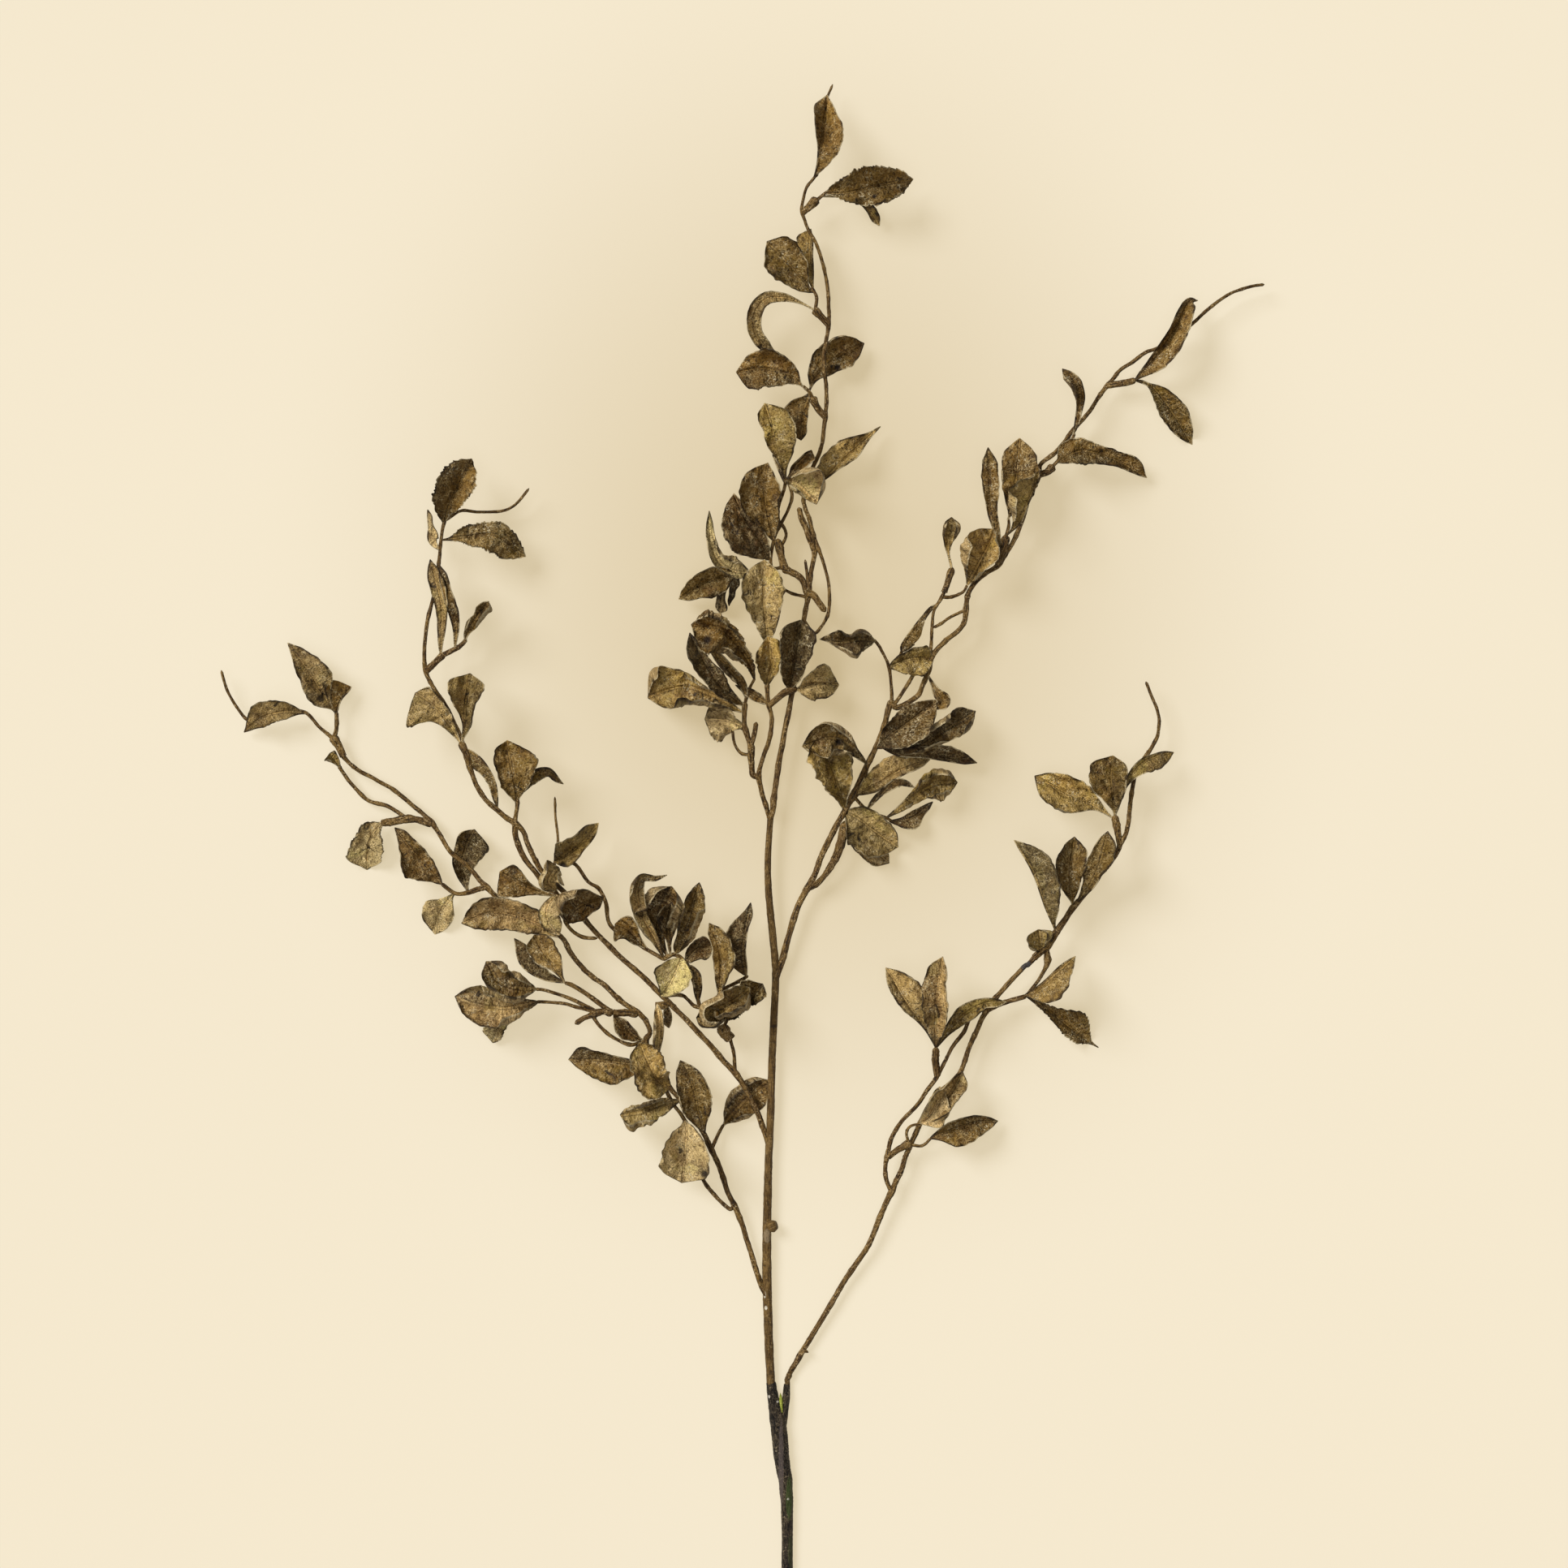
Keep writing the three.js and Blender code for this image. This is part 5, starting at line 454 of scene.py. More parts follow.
LEAVES["outer_right_spray"] = [
    ["first_left", [[92.5, 422, 18], [86, 434, 22], [75, 449, 25], [61.5, 471, 19]], [0.8, 1.2, 2.5, 5, 4.5],
     [4, 10, 13.5, 13.5, 9], {"roll": 8, "fold": 10, "curl": 14}],
    ["first_upright", [[92.5, 422, 18], [92, 438, 28], [93, 458, 31], [96.5, 478, 26]], [3, 6, 8.8, 9.2, 7.3],
     [3, 6.2, 7, 5, 3.7], {"roll": -14, "fold": 16, "curl": 16}],
    ["first_right", [[93, 422, 18], [104, 437, 21], [120, 448.5, 22], [136, 450, 18]],
     [1.5, 3.8, 5.7, 3.5, 2], [1.5, 3.5, 5.3, 3.5, 3], {"roll": -10, "fold": 16, "curl": 20}],
    ["second_pale", [[83, 375, 20], [88, 380, 22], [92, 387, 23], [95, 398, 21]], [3, 4.8, 5, 4.5, 3.5],
     [4, 10, 9.6, 8.7, 5], {"roll": 16, "fold": [40, 20], "curl": 30}],
    ["second_brown", [[83.6, 374.5, 20], [91, 382, 20], [101, 393, 19.5], [109, 407, 17]],
     [2.5, 5.5, 8.5, 6.5, 3.5], [2, 4.5, 6, 5.5, 6.5], {"roll": -10, "fold": 30, "curl": 30}],
    ["second_dark", [[89, 365.5, 13.5], [102, 371, 15], [117, 375.5, 14], [131, 376, 9]],
     [2.5, 4.7, 5, 4.4, 2.6], [3.5, 10, 11.8, 8.8, 4.9], {"roll": 6, "fold": 10, "curl": 14}],
    ["third_small", [[157, 481, 17], [156.5, 487, 20], [155.5, 494.5, 20]], [5, 7.5, 8.3, 8.2, 6.5],
     [2, 3.5, 5.5, 7.8, 7.2], {"roll": 14, "fold": 16, "curl": 16}],
    ["third_folded", [[147, 453.5, 14], [156, 458, 19], [168, 469, 22], [178.5, 478, 17]],
     [1.5, 2.2, 2, 2.3, 1.5], [3, 9, 11.6, 7.5, 3.7], {"roll": -16, "fold": [16, 36], "curl": 14}],
    ["third_drooping", [[148, 453.5, 14], [160, 446, 12], [175, 434, 6], [184, 427, 1.5], [193.5, 421, -1]],
     [1.5, 4, 12.5, 9.7, 1.6], [1.5, 3.5, 6.3, 5.8, 1.3], {"roll": -8, "fold": 8, "curl": 16}],
    ["fourth_folded", [[166, 494, 17.5], [160, 508, 24], [152, 530, 27], [140.5, 549.5, 21]],
     [0.6, 0.8, 1, 1, 0.8], [2.5, 7.5, 11.5, 12.5, 7], {"roll": -6, "fold": [6, 62], "curl": 10}],
    ["fourth_ovate", [[177.1, 507.3, 17.4], [175, 520, 20], [175.5, 535, 20], [178, 551.5, 15]],
     [1, 4.7, 8.9, 9.5, 6], [1.5, 5, 7.5, 9.5, 7.5], {"roll": 10, "fold": 12, "curl": 16}],
    ["fourth_side", [[178, 509.5, 17.5], [187.5, 523, 25], [193.5, 538, 29], [198, 555, 25]],
     [1.5, 4.8, 8.5, 7, 4.5], [1.5, 2.9, 4, 6.7, 5.6], {"roll": -20, "fold": [10, 34], "curl": 20}],
    ["fifth_upright", [[202.5, 564, 19], [201, 576, 24], [200, 588, 25], [201.5, 601.5, 19]],
     [1.5, 6.4, 12.5, 14.3, 11], [2, 6, 8.7, 9.3, 8.5], {"roll": -6, "fold": 12, "curl": 16}],
    ["fifth_left", [[203, 562.2, 18.8], [189, 571, 19], [172, 579, 19], [153.5, 589, 12]],
     [0.9, 2.7, 9.5, 12, 9], [1.2, 5, 10, 10, 6.5], {"roll": 12, "fold": 12, "curl": [30, 10]}],
    ["fifth_right", [[203, 565, 19], [208, 581, 24], [217, 595, 26], [228, 601, 22], [239, 603.5, 17]],
     [1.2, 2, 2.9, 2.2, 1.8], [1.2, 1.5, 6, 8.2, 5.4], {"roll": 14, "fold": 18}],
]
TWIGS["upper_left_spray"] = [
    [[1.8, 1.6, 1.6, 1.3, 1], [[-10.5, 361, 6.4], [-15, 375, 7], [-20.5, 388, 7.8], [-29, 403, 9],
     [-39, 414, 10], [-53, 430, 12], [-67.5, 445, 13.5], [-76.5, 454, 14.5], [-86.5, 464, 15.5],
     [-100, 476, 17], [-113.5, 489, 18], [-123, 500, 18.5], [-134, 515, 19], [-149.5, 530, 19.5],
     [-154.5, 538, 20], [-159, 548, 20], [-163, 557, 20.5], [-172.5, 564, 21], [-182, 572, 21.5],
     [-189.5, 582, 22], [-194.5, 595, 22], [-198.5, 609, 22], [-202.5, 619, 22], [-208.5, 631, 22],
     [-217.5, 645, 22], [-221.5, 654, 22], [-222, 668, 22], [-220, 685, 22], [-215.5, 703, 22],
     [-213.5, 717, 22], [-212.5, 728, 22], [-211, 740, 22], [-208, 752, 22]]],
    [[1, 0.8], [[-209.5, 745.9, 22], [-200, 752, 19], [-189.5, 751.5, 17], [-175.5, 752, 16],
     [-166.5, 756, 16], [-158, 766, 17]]],
    [[1.2, 1], [[-31, 405, 9.5], [-31.5, 412, 11], [-32, 418, 12], [-34.5, 428, 14]]],
    [[3.6, 3.2], [[-34.3, 427.2, 13.8], [-37.5, 431, 15.5], [-38, 436, 17]]],
    [[1.2, 1.1], [[-37.8, 434.2, 16.5], [-36, 442, 20], [-44, 447, 20], [-55, 447, 19], [-60, 451, 18],
     [-64.5, 454, 17], [-76.5, 453, 14.5]]],
    [[1.3, 1.1], [[-75.1, 476.3, 20], [-85, 482, 18], [-95, 488, 17], [-103.5, 493, 17], [-109, 499, 17],
     [-110.5, 510, 17.5], [-114.5, 519, 18], [-121.5, 524, 19], [-130, 535, 22], [-140, 536, 23]]],
    [[1.3, 1.2], [[-53, 447, 19], [-56, 460, 18], [-60, 472, 19], [-68, 479, 20], [-76, 476, 20]]],
    [[1.2, 1.1], [[-37.2, 442.7, 19.9], [-41, 455, 21], [-30, 462, 21], [-23, 466, 21]]],
    [[2.6, 2.6], [[-80, 447, 13.5], [-72, 447.5, 14.5]]],
    [[1.9, 1.5], [[-166.2, 559.4, 20.7], [-166, 551, 19], [-161, 539, 18], [-152, 527, 18], [-146, 518, 19],
     [-135, 513, 19]]],
    [[1.1, 1], [[-131.7, 512, 18.9], [-140, 516, 21], [-143, 525, 23], [-142, 535, 23]]],
    [[1, 0.7], [[-142.3, 532.5, 23], [-140, 549, 22], [-141.5, 563, 20], [-142, 576, 18]]],
    [[1.2, 1.1], [[-131.3, 511.6, 18.9], [-136, 502, 21], [-132.5, 495, 20.5], [-125.5, 490, 19],
     [-116, 489, 18]]],
    [[2.2, 1.8], [[-221.1, 653.5, 22], [-215, 659, 23.5], [-210, 664, 24]]],
    [[1.7, 1.3], [[-210.8, 663.3, 23.9], [-201, 668, 25], [-196, 673, 25.5]]],
    [[1.9, 2.6], [[-194, 594, 22], [-196, 602, 23], [-200, 610, 24]]],
    [[1.4, 1.2], [[-166.9, 560.2, 20.7], [-165, 570, 23], [-165, 578, 24]]],
]
LEAVES["upper_left_spray"] = [
    ["near_hook", [[-75, 477, 20], [-80, 488, 25], [-88, 503, 29], [-91, 517, 30], [-88, 526, 29],
     [-80, 526, 26], [-73, 528, 22]], [2, 4.2, 4.6, 2.6, 1.4], [2, 3.8, 4.4, 2.4, 1.4],
     {"roll": 14, "fold": 24, "curl": 30}],
    ["near_arch", [[-72.7, 477.3, 20], [-79, 492, 19], [-77, 506, 20], [-70, 521, 17]], [1.5, 6, 13, 13, 10],
     [2, 5, 11, 13, 11], {"roll": -6, "fold": 16, "curl": 30}],
    ["near_inner", [[-70.6, 478.1, 20], [-72, 489, 27], [-72, 500, 29], [-70, 511, 26]],
     [1, 1.5, 4.5, 6.6, 4.9], [1, 2.2, 5, 6.3, 4.5], {"roll": 10, "fold": 26, "curl": 50}],
    ["near_folded", [[-68, 479, 20], [-64, 492, 26], [-58, 508, 29], [-53, 523.5, 25]], [2.5, 2.5, 5, 5, 3.5],
     [4, 8, 8.8, 8.5, 5], {"roll": 16, "fold": [50, 40], "curl": 30}],
    ["near_dark", [[-85, 482, 18], [-92, 489, 21], [-98, 495, 21], [-105, 498, 17]], [1.5, 3.7, 5, 8, 8.5],
     [1.5, 3, 6, 8, 5], {"roll": 20, "fold": 30, "curl": 30}],
    ["near_ochre", [[-64, 477, 19.5], [-67, 470, 24], [-71, 461, 24], [-77, 453, 19]], [6, 10, 10.8, 8, 4],
     [5, 9, 12, 10.5, 4], {"roll": 10, "fold": 8, "curl": 10}],
    ["near_strap", [[-60.9, 472.6, 19.1], [-54.5, 468, 22], [-53.5, 460, 21], [-54, 449, 19]],
     [1.5, 1.5, 2, 2.2, 1.5], [1.5, 2.5, 3, 3.5, 2], {"roll": 24, "fold": 24}],
    ["near_small", [[-62, 474, 19], [-55, 482, 21], [-45, 486, 18]], [2, 4, 5, 6, 5], [3, 5, 7, 8, 6],
     {"roll": -14, "fold": 20, "curl": 20}],
    ["near_orange", [[-41, 454, 21], [-40, 468, 27], [-41, 484, 29], [-47, 498.5, 24]], [2, 3.5, 4.3, 4, 3.3],
     [2.5, 5.5, 9.3, 8, 5.4], {"roll": -8, "fold": 22, "curl": 30}],
    ["near_upright", [[-24, 466, 21], [-26, 480, 25], [-25, 494, 26], [-21.5, 511, 21]],
     [6, 10, 12.5, 9.5, 3], [1.5, 1.8, 1.8, 2, 2.8], {"roll": 0, "fold": [-6, 30], "curl": [0, 20]}],
    ["near_crumpled", [[-36.3, 439.3, 19.1], [-46, 443, 27], [-34, 450, 31], [-22, 459, 28]],
     [4, 7, 8, 8, 6.5], [4, 5, 6, 9, 8], {"roll": 20, "twist": -30, "fold": 34, "curl": 40}],
    ["near_ragged", [[-37, 438, 18], [-31, 444, 22], [-22, 452, 23], [-14, 461, 20]], [4, 8, 11, 12, 10],
     [2, 4.5, 3.5, 5, 7.5], {"roll": -20, "fold": 30, "curl": 34}],
    ["near_mass", [[-37.2, 442.7, 19.9], [-46, 438, 20], [-55, 440, 17]], [3, 4, 4, 4, 3],
     [6, 10, 12, 12, 10], {"roll": 10, "fold": 30, "curl": 40}],
    ["near_scrap", [[-73, 448, 14.5], [-70.5, 441, 14], [-72, 433.5, 11]], [0.6, 0.6, 0.6, 0.8, 0.8],
     [3, 4.3, 4.5, 4.4, 4.2], {"fold": 30}],
    ["crown_ragged", [[-210, 744, 22], [-206, 756, 27], [-200, 769, 28], [-193, 784, 21]],
     [6, 10.6, 12, 12, 9], [2, 7.3, 9.4, 10.9, 6.5], {"roll": 8, "fold": 10, "curl": 14}],
    ["crown_right", [[-212, 734, 22], [-196, 736, 25], [-178, 737, 25], [-160, 724, 16]],
     [1.2, 6.5, 7.5, 8.6, 5.7], [1.5, 4.8, 10, 12, 9.5], {"roll": -10, "fold": 16, "curl": [20, 10]}],
    ["crown_scrap", [[-212.5, 728, 22], [-219, 733, 20], [-219, 742, 18], [-220.5, 753, 16]],
     [1, 0.8, 1.3, 1.3, 1], [2, 5.5, 6, 2.3, 2.3], {"roll": 20}],
    ["crown_strap", [[-211.8, 662, 23.7], [-211, 676, 28], [-211, 692, 30], [-214, 707, 29],
     [-218.5, 722, 24]], [2, 2.9, 3.8, 4.8, 4], [0.8, 2.5, 4, 5, 3.5], {"roll": -30, "fold": 20, "curl": 20}],
    ["crown_narrow", [[-203, 667, 25], [-202, 682, 33], [-207, 700, 36], [-212, 718, 31]],
     [1.5, 2.5, 3, 3, 2.5], [1, 2, 3.9, 3.3, 3], {"roll": -24, "fold": 20, "curl": 30}],
    ["crown_trumpet", [[-197, 672, 25.5], [-192, 682, 28], [-187, 690, 30], [-182, 696, 32]],
     [2.5, 3.7, 2.6, 3.4, 2.6], [0.8, 3, 4, 4.6, 5.2], {"roll": 20, "fold": 10, "curl": 150}],
    ["elbow_left", [[-199.2, 608.4, 23.8], [-207, 621, 26], [-216, 632, 26], [-228, 640, 19]],
     [1.5, 3.5, 7.5, 18, 17], [1.2, 3.5, 5.3, 6.2, 7.5], {"roll": 10, "fold": 14, "curl": 14}],
    ["elbow_upright", [[-199, 608, 23.8], [-197, 621, 28], [-196, 636, 29], [-194, 652, 24]],
     [1, 1.3, 4.7, 10, 11], [1.2, 4.5, 5.5, 9, 10.8], {"roll": -8, "fold": 34, "curl": 10}],
    ["elbow_edge", [[-197, 606, 23.5], [-186, 598, 28], [-178.5, 585, 28], [-177, 569, 21.5]],
     [1.3, 1, 0.8, 0.8, 0.8], [3.5, 7.5, 5.5, 4.6, 2.8], {"roll": 60, "fold": 20}],
    ["elbow_big", [[-165, 572, 23], [-166, 583, 27], [-169, 597, 29], [-171, 611, 25]],
     [3.5, 7.5, 8.8, 9.4, 8], [2.5, 8.5, 15.5, 17, 8], {"roll": -6, "fold": 26, "curl": 14}],
    ["elbow_hook", [[-165, 576.8, 23.7], [-157, 588, 29], [-146, 592.5, 24], [-137, 584, 13]],
     [2.5, 3, 2.3, 1.6, 0.8], [3, 5, 5.2, 4, 3], {"roll": 20, "fold": 24, "curl": 30}],
    ["left_triangle", [[-135, 513, 19], [-150, 518, 21], [-162, 523, 23], [-176, 530, 21]],
     [1, 2.3, 5.2, 10.5, 13], [1, 1, 1.8, 5.5, 8], {"roll": -20, "fold": 20, "curl": 20}],
    ["left_pointed", [[-142, 536.1, 23], [-135, 540, 27], [-126, 547, 27], [-115, 560, 20]],
     [5, 9, 8.3, 6.3, 5], [4.5, 7, 6, 4.2, 3.4], {"roll": 20, "fold": 30, "curl": 20}],
    ["left_funnel", [[-141.1, 518.6, 21.7], [-145, 524, 27], [-142, 530, 31], [-139, 533, 35]],
     [3.5, 6, 5.5, 7, 7], [3.5, 8, 10, 5, 4.5], {"roll": 0, "fold": 10, "curl": 150}],
    ["left_brown", [[-134.5, 498.4, 20.8], [-130, 506, 26], [-122, 511, 27], [-112, 514, 21]],
     [6, 12, 11.4, 9.3, 4], [5, 8.5, 8.5, 7, 5.5], {"roll": 10, "fold": 16, "curl": 20}],
    ["left_ochre", [[-140, 516, 21], [-146, 509, 28], [-146, 500, 29], [-139, 491, 25]], [4, 8, 8.4, 8, 6.5],
     [2, 3, 4.8, 4.8, 3], {"roll": 10, "fold": 12, "curl": 12}],
]
TWIGS["lower_left_spray"] = [
    [[1.7, 1.5, 1.6, 1.5, 1.2], [[-12, 268, 5.6], [-16, 277, 5.8], [-23.5, 301, 6.6], [-29, 318, 7.6],
     [-36, 333, 9], [-40.5, 347, 10], [-46.5, 360, 10.5], [-52, 371, 11.5], [-58, 381, 12.5],
     [-65.5, 390, 13.5], [-73, 399, 14.5], [-80, 412, 15.5], [-86, 425, 16], [-83.5, 431, 16.5],
     [-86, 438, 17], [-91.5, 444, 17], [-101, 450, 17], [-111.5, 460, 17], [-118.5, 465, 17],
     [-126, 472, 16.5], [-132.5, 480, 15.5], [-137.5, 489, 14.5], [-147, 496, 13.5], [-159, 502, 12.5],
     [-168, 508, 12], [-177.5, 514, 11.5], [-187, 523, 11], [-197, 534, 10.5], [-206.5, 542, 10],
     [-213.5, 553, 9.5], [-220, 562, 9], [-230.5, 571, 8.5], [-241.5, 580, 8], [-253.5, 587, 8],
     [-266, 594, 8], [-274, 602, 8.5]]],
    [[2.2, 2.4], [[-273, 601, 8.5], [-276, 608, 9], [-280, 614, 9.5]]],
    [[1.2, 1.2], [[-31.7, 323.6, 8.1], [-35, 322, 8.8], [-43.5, 330, 8.5], [-50.5, 339, 8.5], [-54, 352, 9],
     [-57, 366, 11], [-63, 378, 13], [-70, 388, 14], [-76, 400, 15]]],
    [[1.2, 1], [[-45.8, 358.3, 10.5], [-42.5, 366, 7], [-38, 374, 4]]],
    [[2, 2.2], [[-119, 442, 19], [-112, 444, 19], [-106, 443, 18.5]]],
    [[2, 2.2], [[-106, 443, 18.5], [-98, 443, 18], [-90.5, 442, 17.5]]],
    [[1.5, 1.7], [[-117.5, 442.4, 19], [-124, 440, 19.5], [-129.5, 436.5, 20]]],
    [[1.2, 1.1], [[-85.5, 426.4, 16.1], [-95.5, 423.5, 17], [-106, 428, 18], [-113.5, 434, 19],
     [-119, 442, 19]]],
    [[1.2, 1], [[-117.9, 444, 19], [-120.5, 446, 19], [-132.5, 452, 20], [-147, 457, 22], [-154, 458, 23]]],
    [[1.2, 1], [[-117, 444, 19], [-126, 446, 17.5], [-138, 449, 17], [-154, 450, 17]]],
    [[1.6, 1.2], [[-107.1, 443.1, 18.5], [-116, 450, 19], [-129, 459, 19.5], [-136, 462, 20]]],
    [[1.1, 0.9], [[-279, 612, 9.5], [-287.5, 619, 10], [-296, 628, 12], [-308, 629, 12], [-320, 626, 10],
     [-331, 623, 8], [-339, 632, 9], [-344.5, 642, 10.5], [-348, 654, 12]]],
    [[1.3, 1.2], [[-278.8, 611.8, 9.3], [-277, 619, 10], [-277, 629, 10.5]]],
    [[1.3, 1.1], [[-233, 562, 8.5], [-245, 570, 7], [-258, 574, 6], [-268, 584, 6], [-274, 592, 7],
     [-276, 596, 7.5]]],
    [[2.2, 2.4], [[-218.7, 559.7, 9.1], [-232, 562.5, 8.5], [-244, 560.5, 8], [-250, 560, 7.5]]],
    [[1.9, 1.2], [[-184.4, 520.5, 11.1], [-190, 519, 11], [-196, 517, 10.5], [-204, 516.5, 10],
     [-213, 523, 10.5]]],
]
LEAVES["lower_left_spray"] = [
    ["low_flat", [[-39, 372.2, 4.7], [-33, 380, 2.4], [-23, 390, 1.2], [-11, 401, 0.6]],
     [1.5, 5.5, 9.7, 9.7, 7.4], [1.5, 6, 9, 10.8, 7.7], {"roll": 0, "fold": 2}],
    ["low_dark", [[-50, 368, 11.5], [-54, 384, 17], [-57, 398, 18], [-65, 413.5, 12]],
     [4, 8.5, 10.5, 10, 6.5], [3, 8.2, 9.9, 8.9, 5.5], {"roll": -10, "fold": 16, "curl": 12}],
    ["low_pale", [[-71.2, 396.6, 14.3], [-78, 401, 22], [-84, 412, 25], [-90, 425, 21]], [7, 12, 12.4, 11, 9],
     [5, 8.9, 8.5, 10, 8], {"roll": 10, "fold": 12, "curl": 12}],
    ["low_brown", [[-80, 411, 15.5], [-96, 412, 18], [-114, 414, 18], [-134, 414, 10]], [2, 8, 13.5, 11.5, 6],
     [2, 2.5, 3.8, 5.6, 8], {"roll": -6, "fold": 16, "curl": 14}],
    ["low_crumpled", [[-64.9, 389, 13.4], [-78, 386, 20], [-90, 382, 20], [-102, 380, 13]], [3, 6, 8, 9, 9],
     [2.5, 4.5, 5, 5, 4], {"roll": 20, "fold": 30, "curl": 40}],
    ["low_ochre", [[-62.3, 376.8, 12.8], [-61, 370, 18], [-62, 355, 18], [-64, 338, 11]],
     [2, 6, 12.5, 15.5, 14.5], [3, 8, 12, 14.5, 13], {"roll": 8, "fold": 14, "curl": 18}],
    ["low_rolled", [[-81, 413, 15.5], [-78, 423, 21], [-77.5, 436, 23], [-79, 449, 24]],
     [2, 3.5, 3.9, 3.3, 2.3], [1.5, 1.5, 2.4, 2.7, 2.4], {"fold": 30, "curl": 80}],
    ["twig_dark", [[-87.1, 425.9, 16.2], [-94, 430, 20], [-100, 436, 20], [-106, 442, 18]],
     [1.8, 4.2, 6.5, 5.7, 3], [0.9, 3, 3.4, 3.5, 1.6], {"roll": 16, "fold": 16, "curl": 16}],
    ["outer_curled", [[-153, 458, 23], [-165, 459, 29], [-176, 463, 31], [-184, 475, 25]],
     [4, 9, 9.5, 7, 5.6], [4, 9, 9.5, 9.5, 9.3], {"roll": 10, "fold": 24, "curl": 30}],
    ["outer_brown", [[-153, 450, 17], [-168, 447, 21], [-185, 447, 20], [-204, 453, 11]],
     [2, 8, 11.6, 11.6, 7], [3, 6, 10, 13, 9], {"roll": -8, "fold": 14, "curl": 16}],
    ["outer_low", [[-152, 450, 16.5], [-168, 443, 11], [-176, 434, 8], [-181, 424, 4]],
     [2.5, 3.8, 4, 3.9, 4.5], [3, 6, 8, 9, 8.5], {"roll": 8, "fold": 10}],
    ["inner_dark", [[-135, 461.5, 20], [-150, 464, 18], [-163, 473, 18], [-167, 489, 17]],
     [0.6, 0.6, 0.6, 0.6, 0.6], [3, 6.5, 7, 7.4, 7], {"roll": 40, "fold": 20, "curl": 20}],
    ["inner_veined", [[-136, 462, 20], [-143, 472, 21], [-150, 482, 20], [-155, 491, 15]],
     [1, 2.6, 6.6, 8, 6.6], [2, 6.5, 9, 10, 8], {"roll": -6, "fold": 14, "curl": 20}],
    ["long_brown", [[-138.4, 489.7, 14.4], [-158, 500, 15.5], [-180, 505, 15.5], [-200, 498, 10]],
     [3.5, 7.7, 9.9, 11, 7], [4, 8.4, 9.2, 9.6, 6.2], {"roll": -8, "fold": 14, "curl": 16}],
    ["far_left", [[-294, 627.5, 12], [-309, 628.5, 15], [-323, 625, 13], [-334.5, 616, 6]],
     [1.3, 4.7, 5.7, 6.2, 2.8], [2, 5.9, 8, 8.3, 3.2], {"roll": -10, "fold": 16, "curl": 20}],
    ["far_upright", [[-277, 627, 10.5], [-284, 638, 16], [-294, 654, 18], [-307, 671, 12]],
     [1.5, 8, 8.2, 6.3, 3], [1, 3.5, 11.5, 9.7, 5], {"roll": 12, "fold": 22, "curl": 14}],
    ["far_dark", [[-277, 628, 10.5], [-274, 636, 13], [-268, 644, 10]], [3, 6, 11, 12, 9],
     [0.6, 0.6, 0.6, 0.8, 1], {"roll": -16, "fold": 24, "curl": 20}],
    ["far_trumpet", [[-275, 594, 7.5], [-277, 598, 10], [-279, 601, 12], [-281, 603, 13]],
     [1.2, 2.2, 3.6, 4.6, 4.6], [1, 2, 2.6, 3.2, 3], {"fold": 10, "curl": 140}],
    ["far_round", [[-249, 560, 7.5], [-255, 553, 8], [-258, 544, 4], [-259, 531, -1]], [3, 8, 9.5, 11, 8.5],
     [5, 9, 9.7, 12, 11.5], {"roll": 6, "fold": 8, "curl": 10}],
    ["far_ovate", [[-212, 522, 10.5], [-221, 533, 12], [-231, 544, 10], [-241.5, 557, 4]],
     [4, 11, 13, 7.5, 3], [3, 5.2, 6.4, 6, 4.5], {"roll": -8, "fold": 12, "curl": 10}],
    ["far_broad", [[-196, 517.5, 10], [-200, 531, 6], [-198, 544, 6], [-192, 556, 8]], [2, 4, 6, 6.5, 6],
     [2.5, 7, 10.5, 13, 13], {"roll": 10, "fold": 14, "curl": 16}],
    ["far_pale", [[-204, 517, 10], [-210, 510, 7], [-215, 501, 3], [-217, 491, -1]], [1.5, 5.3, 9.2, 8.7, 6],
     [1.5, 4.3, 11, 9.5, 4.3], {"roll": -6, "fold": 8, "curl": 8}],
]


def srgb(code):
    """Linear colour of an sRGB hex code."""
    values = [int(code[i:i + 2], 16) / 255 for i in (0, 2, 4)]
    return tuple(v / 12.92 if v <= 0.04045 else ((v + 0.055) / 1.055) ** 2.4 for v in values) + (1.0,)


def smooth(low, high, values):
    """0 below low, 1 above high and smooth between them."""
    part = np.clip((values - low) / (high - low), 0, 1)
    return part * part * (3 - 2 * part)


def unit(vectors):
    """Vectors made one long."""
    return vectors / np.maximum(np.linalg.norm(vectors, axis=-1, keepdims=True), 1e-12)


def bump(away, width):
    """1 at no distance, and nearly 0 from two widths on."""
    return np.exp(-((away / width) ** 2))


def waves(rng, x, y, length):
    """Uneven swell of unit height: waves of about one length in all directions."""
    total = np.zeros(np.broadcast(x, y).shape)
    for _ in range(WAVES_IN_SWELL):
        angle, phase = rng.uniform(0, 2 * math.pi, 2)
        number = 2 * math.pi / (length * rng.uniform(*WAVE_LENGTHS))
        total += np.sin(number * (x * math.cos(angle) + y * math.sin(angle)) + phase)
    return total * math.sqrt(2 / WAVES_IN_SWELL)


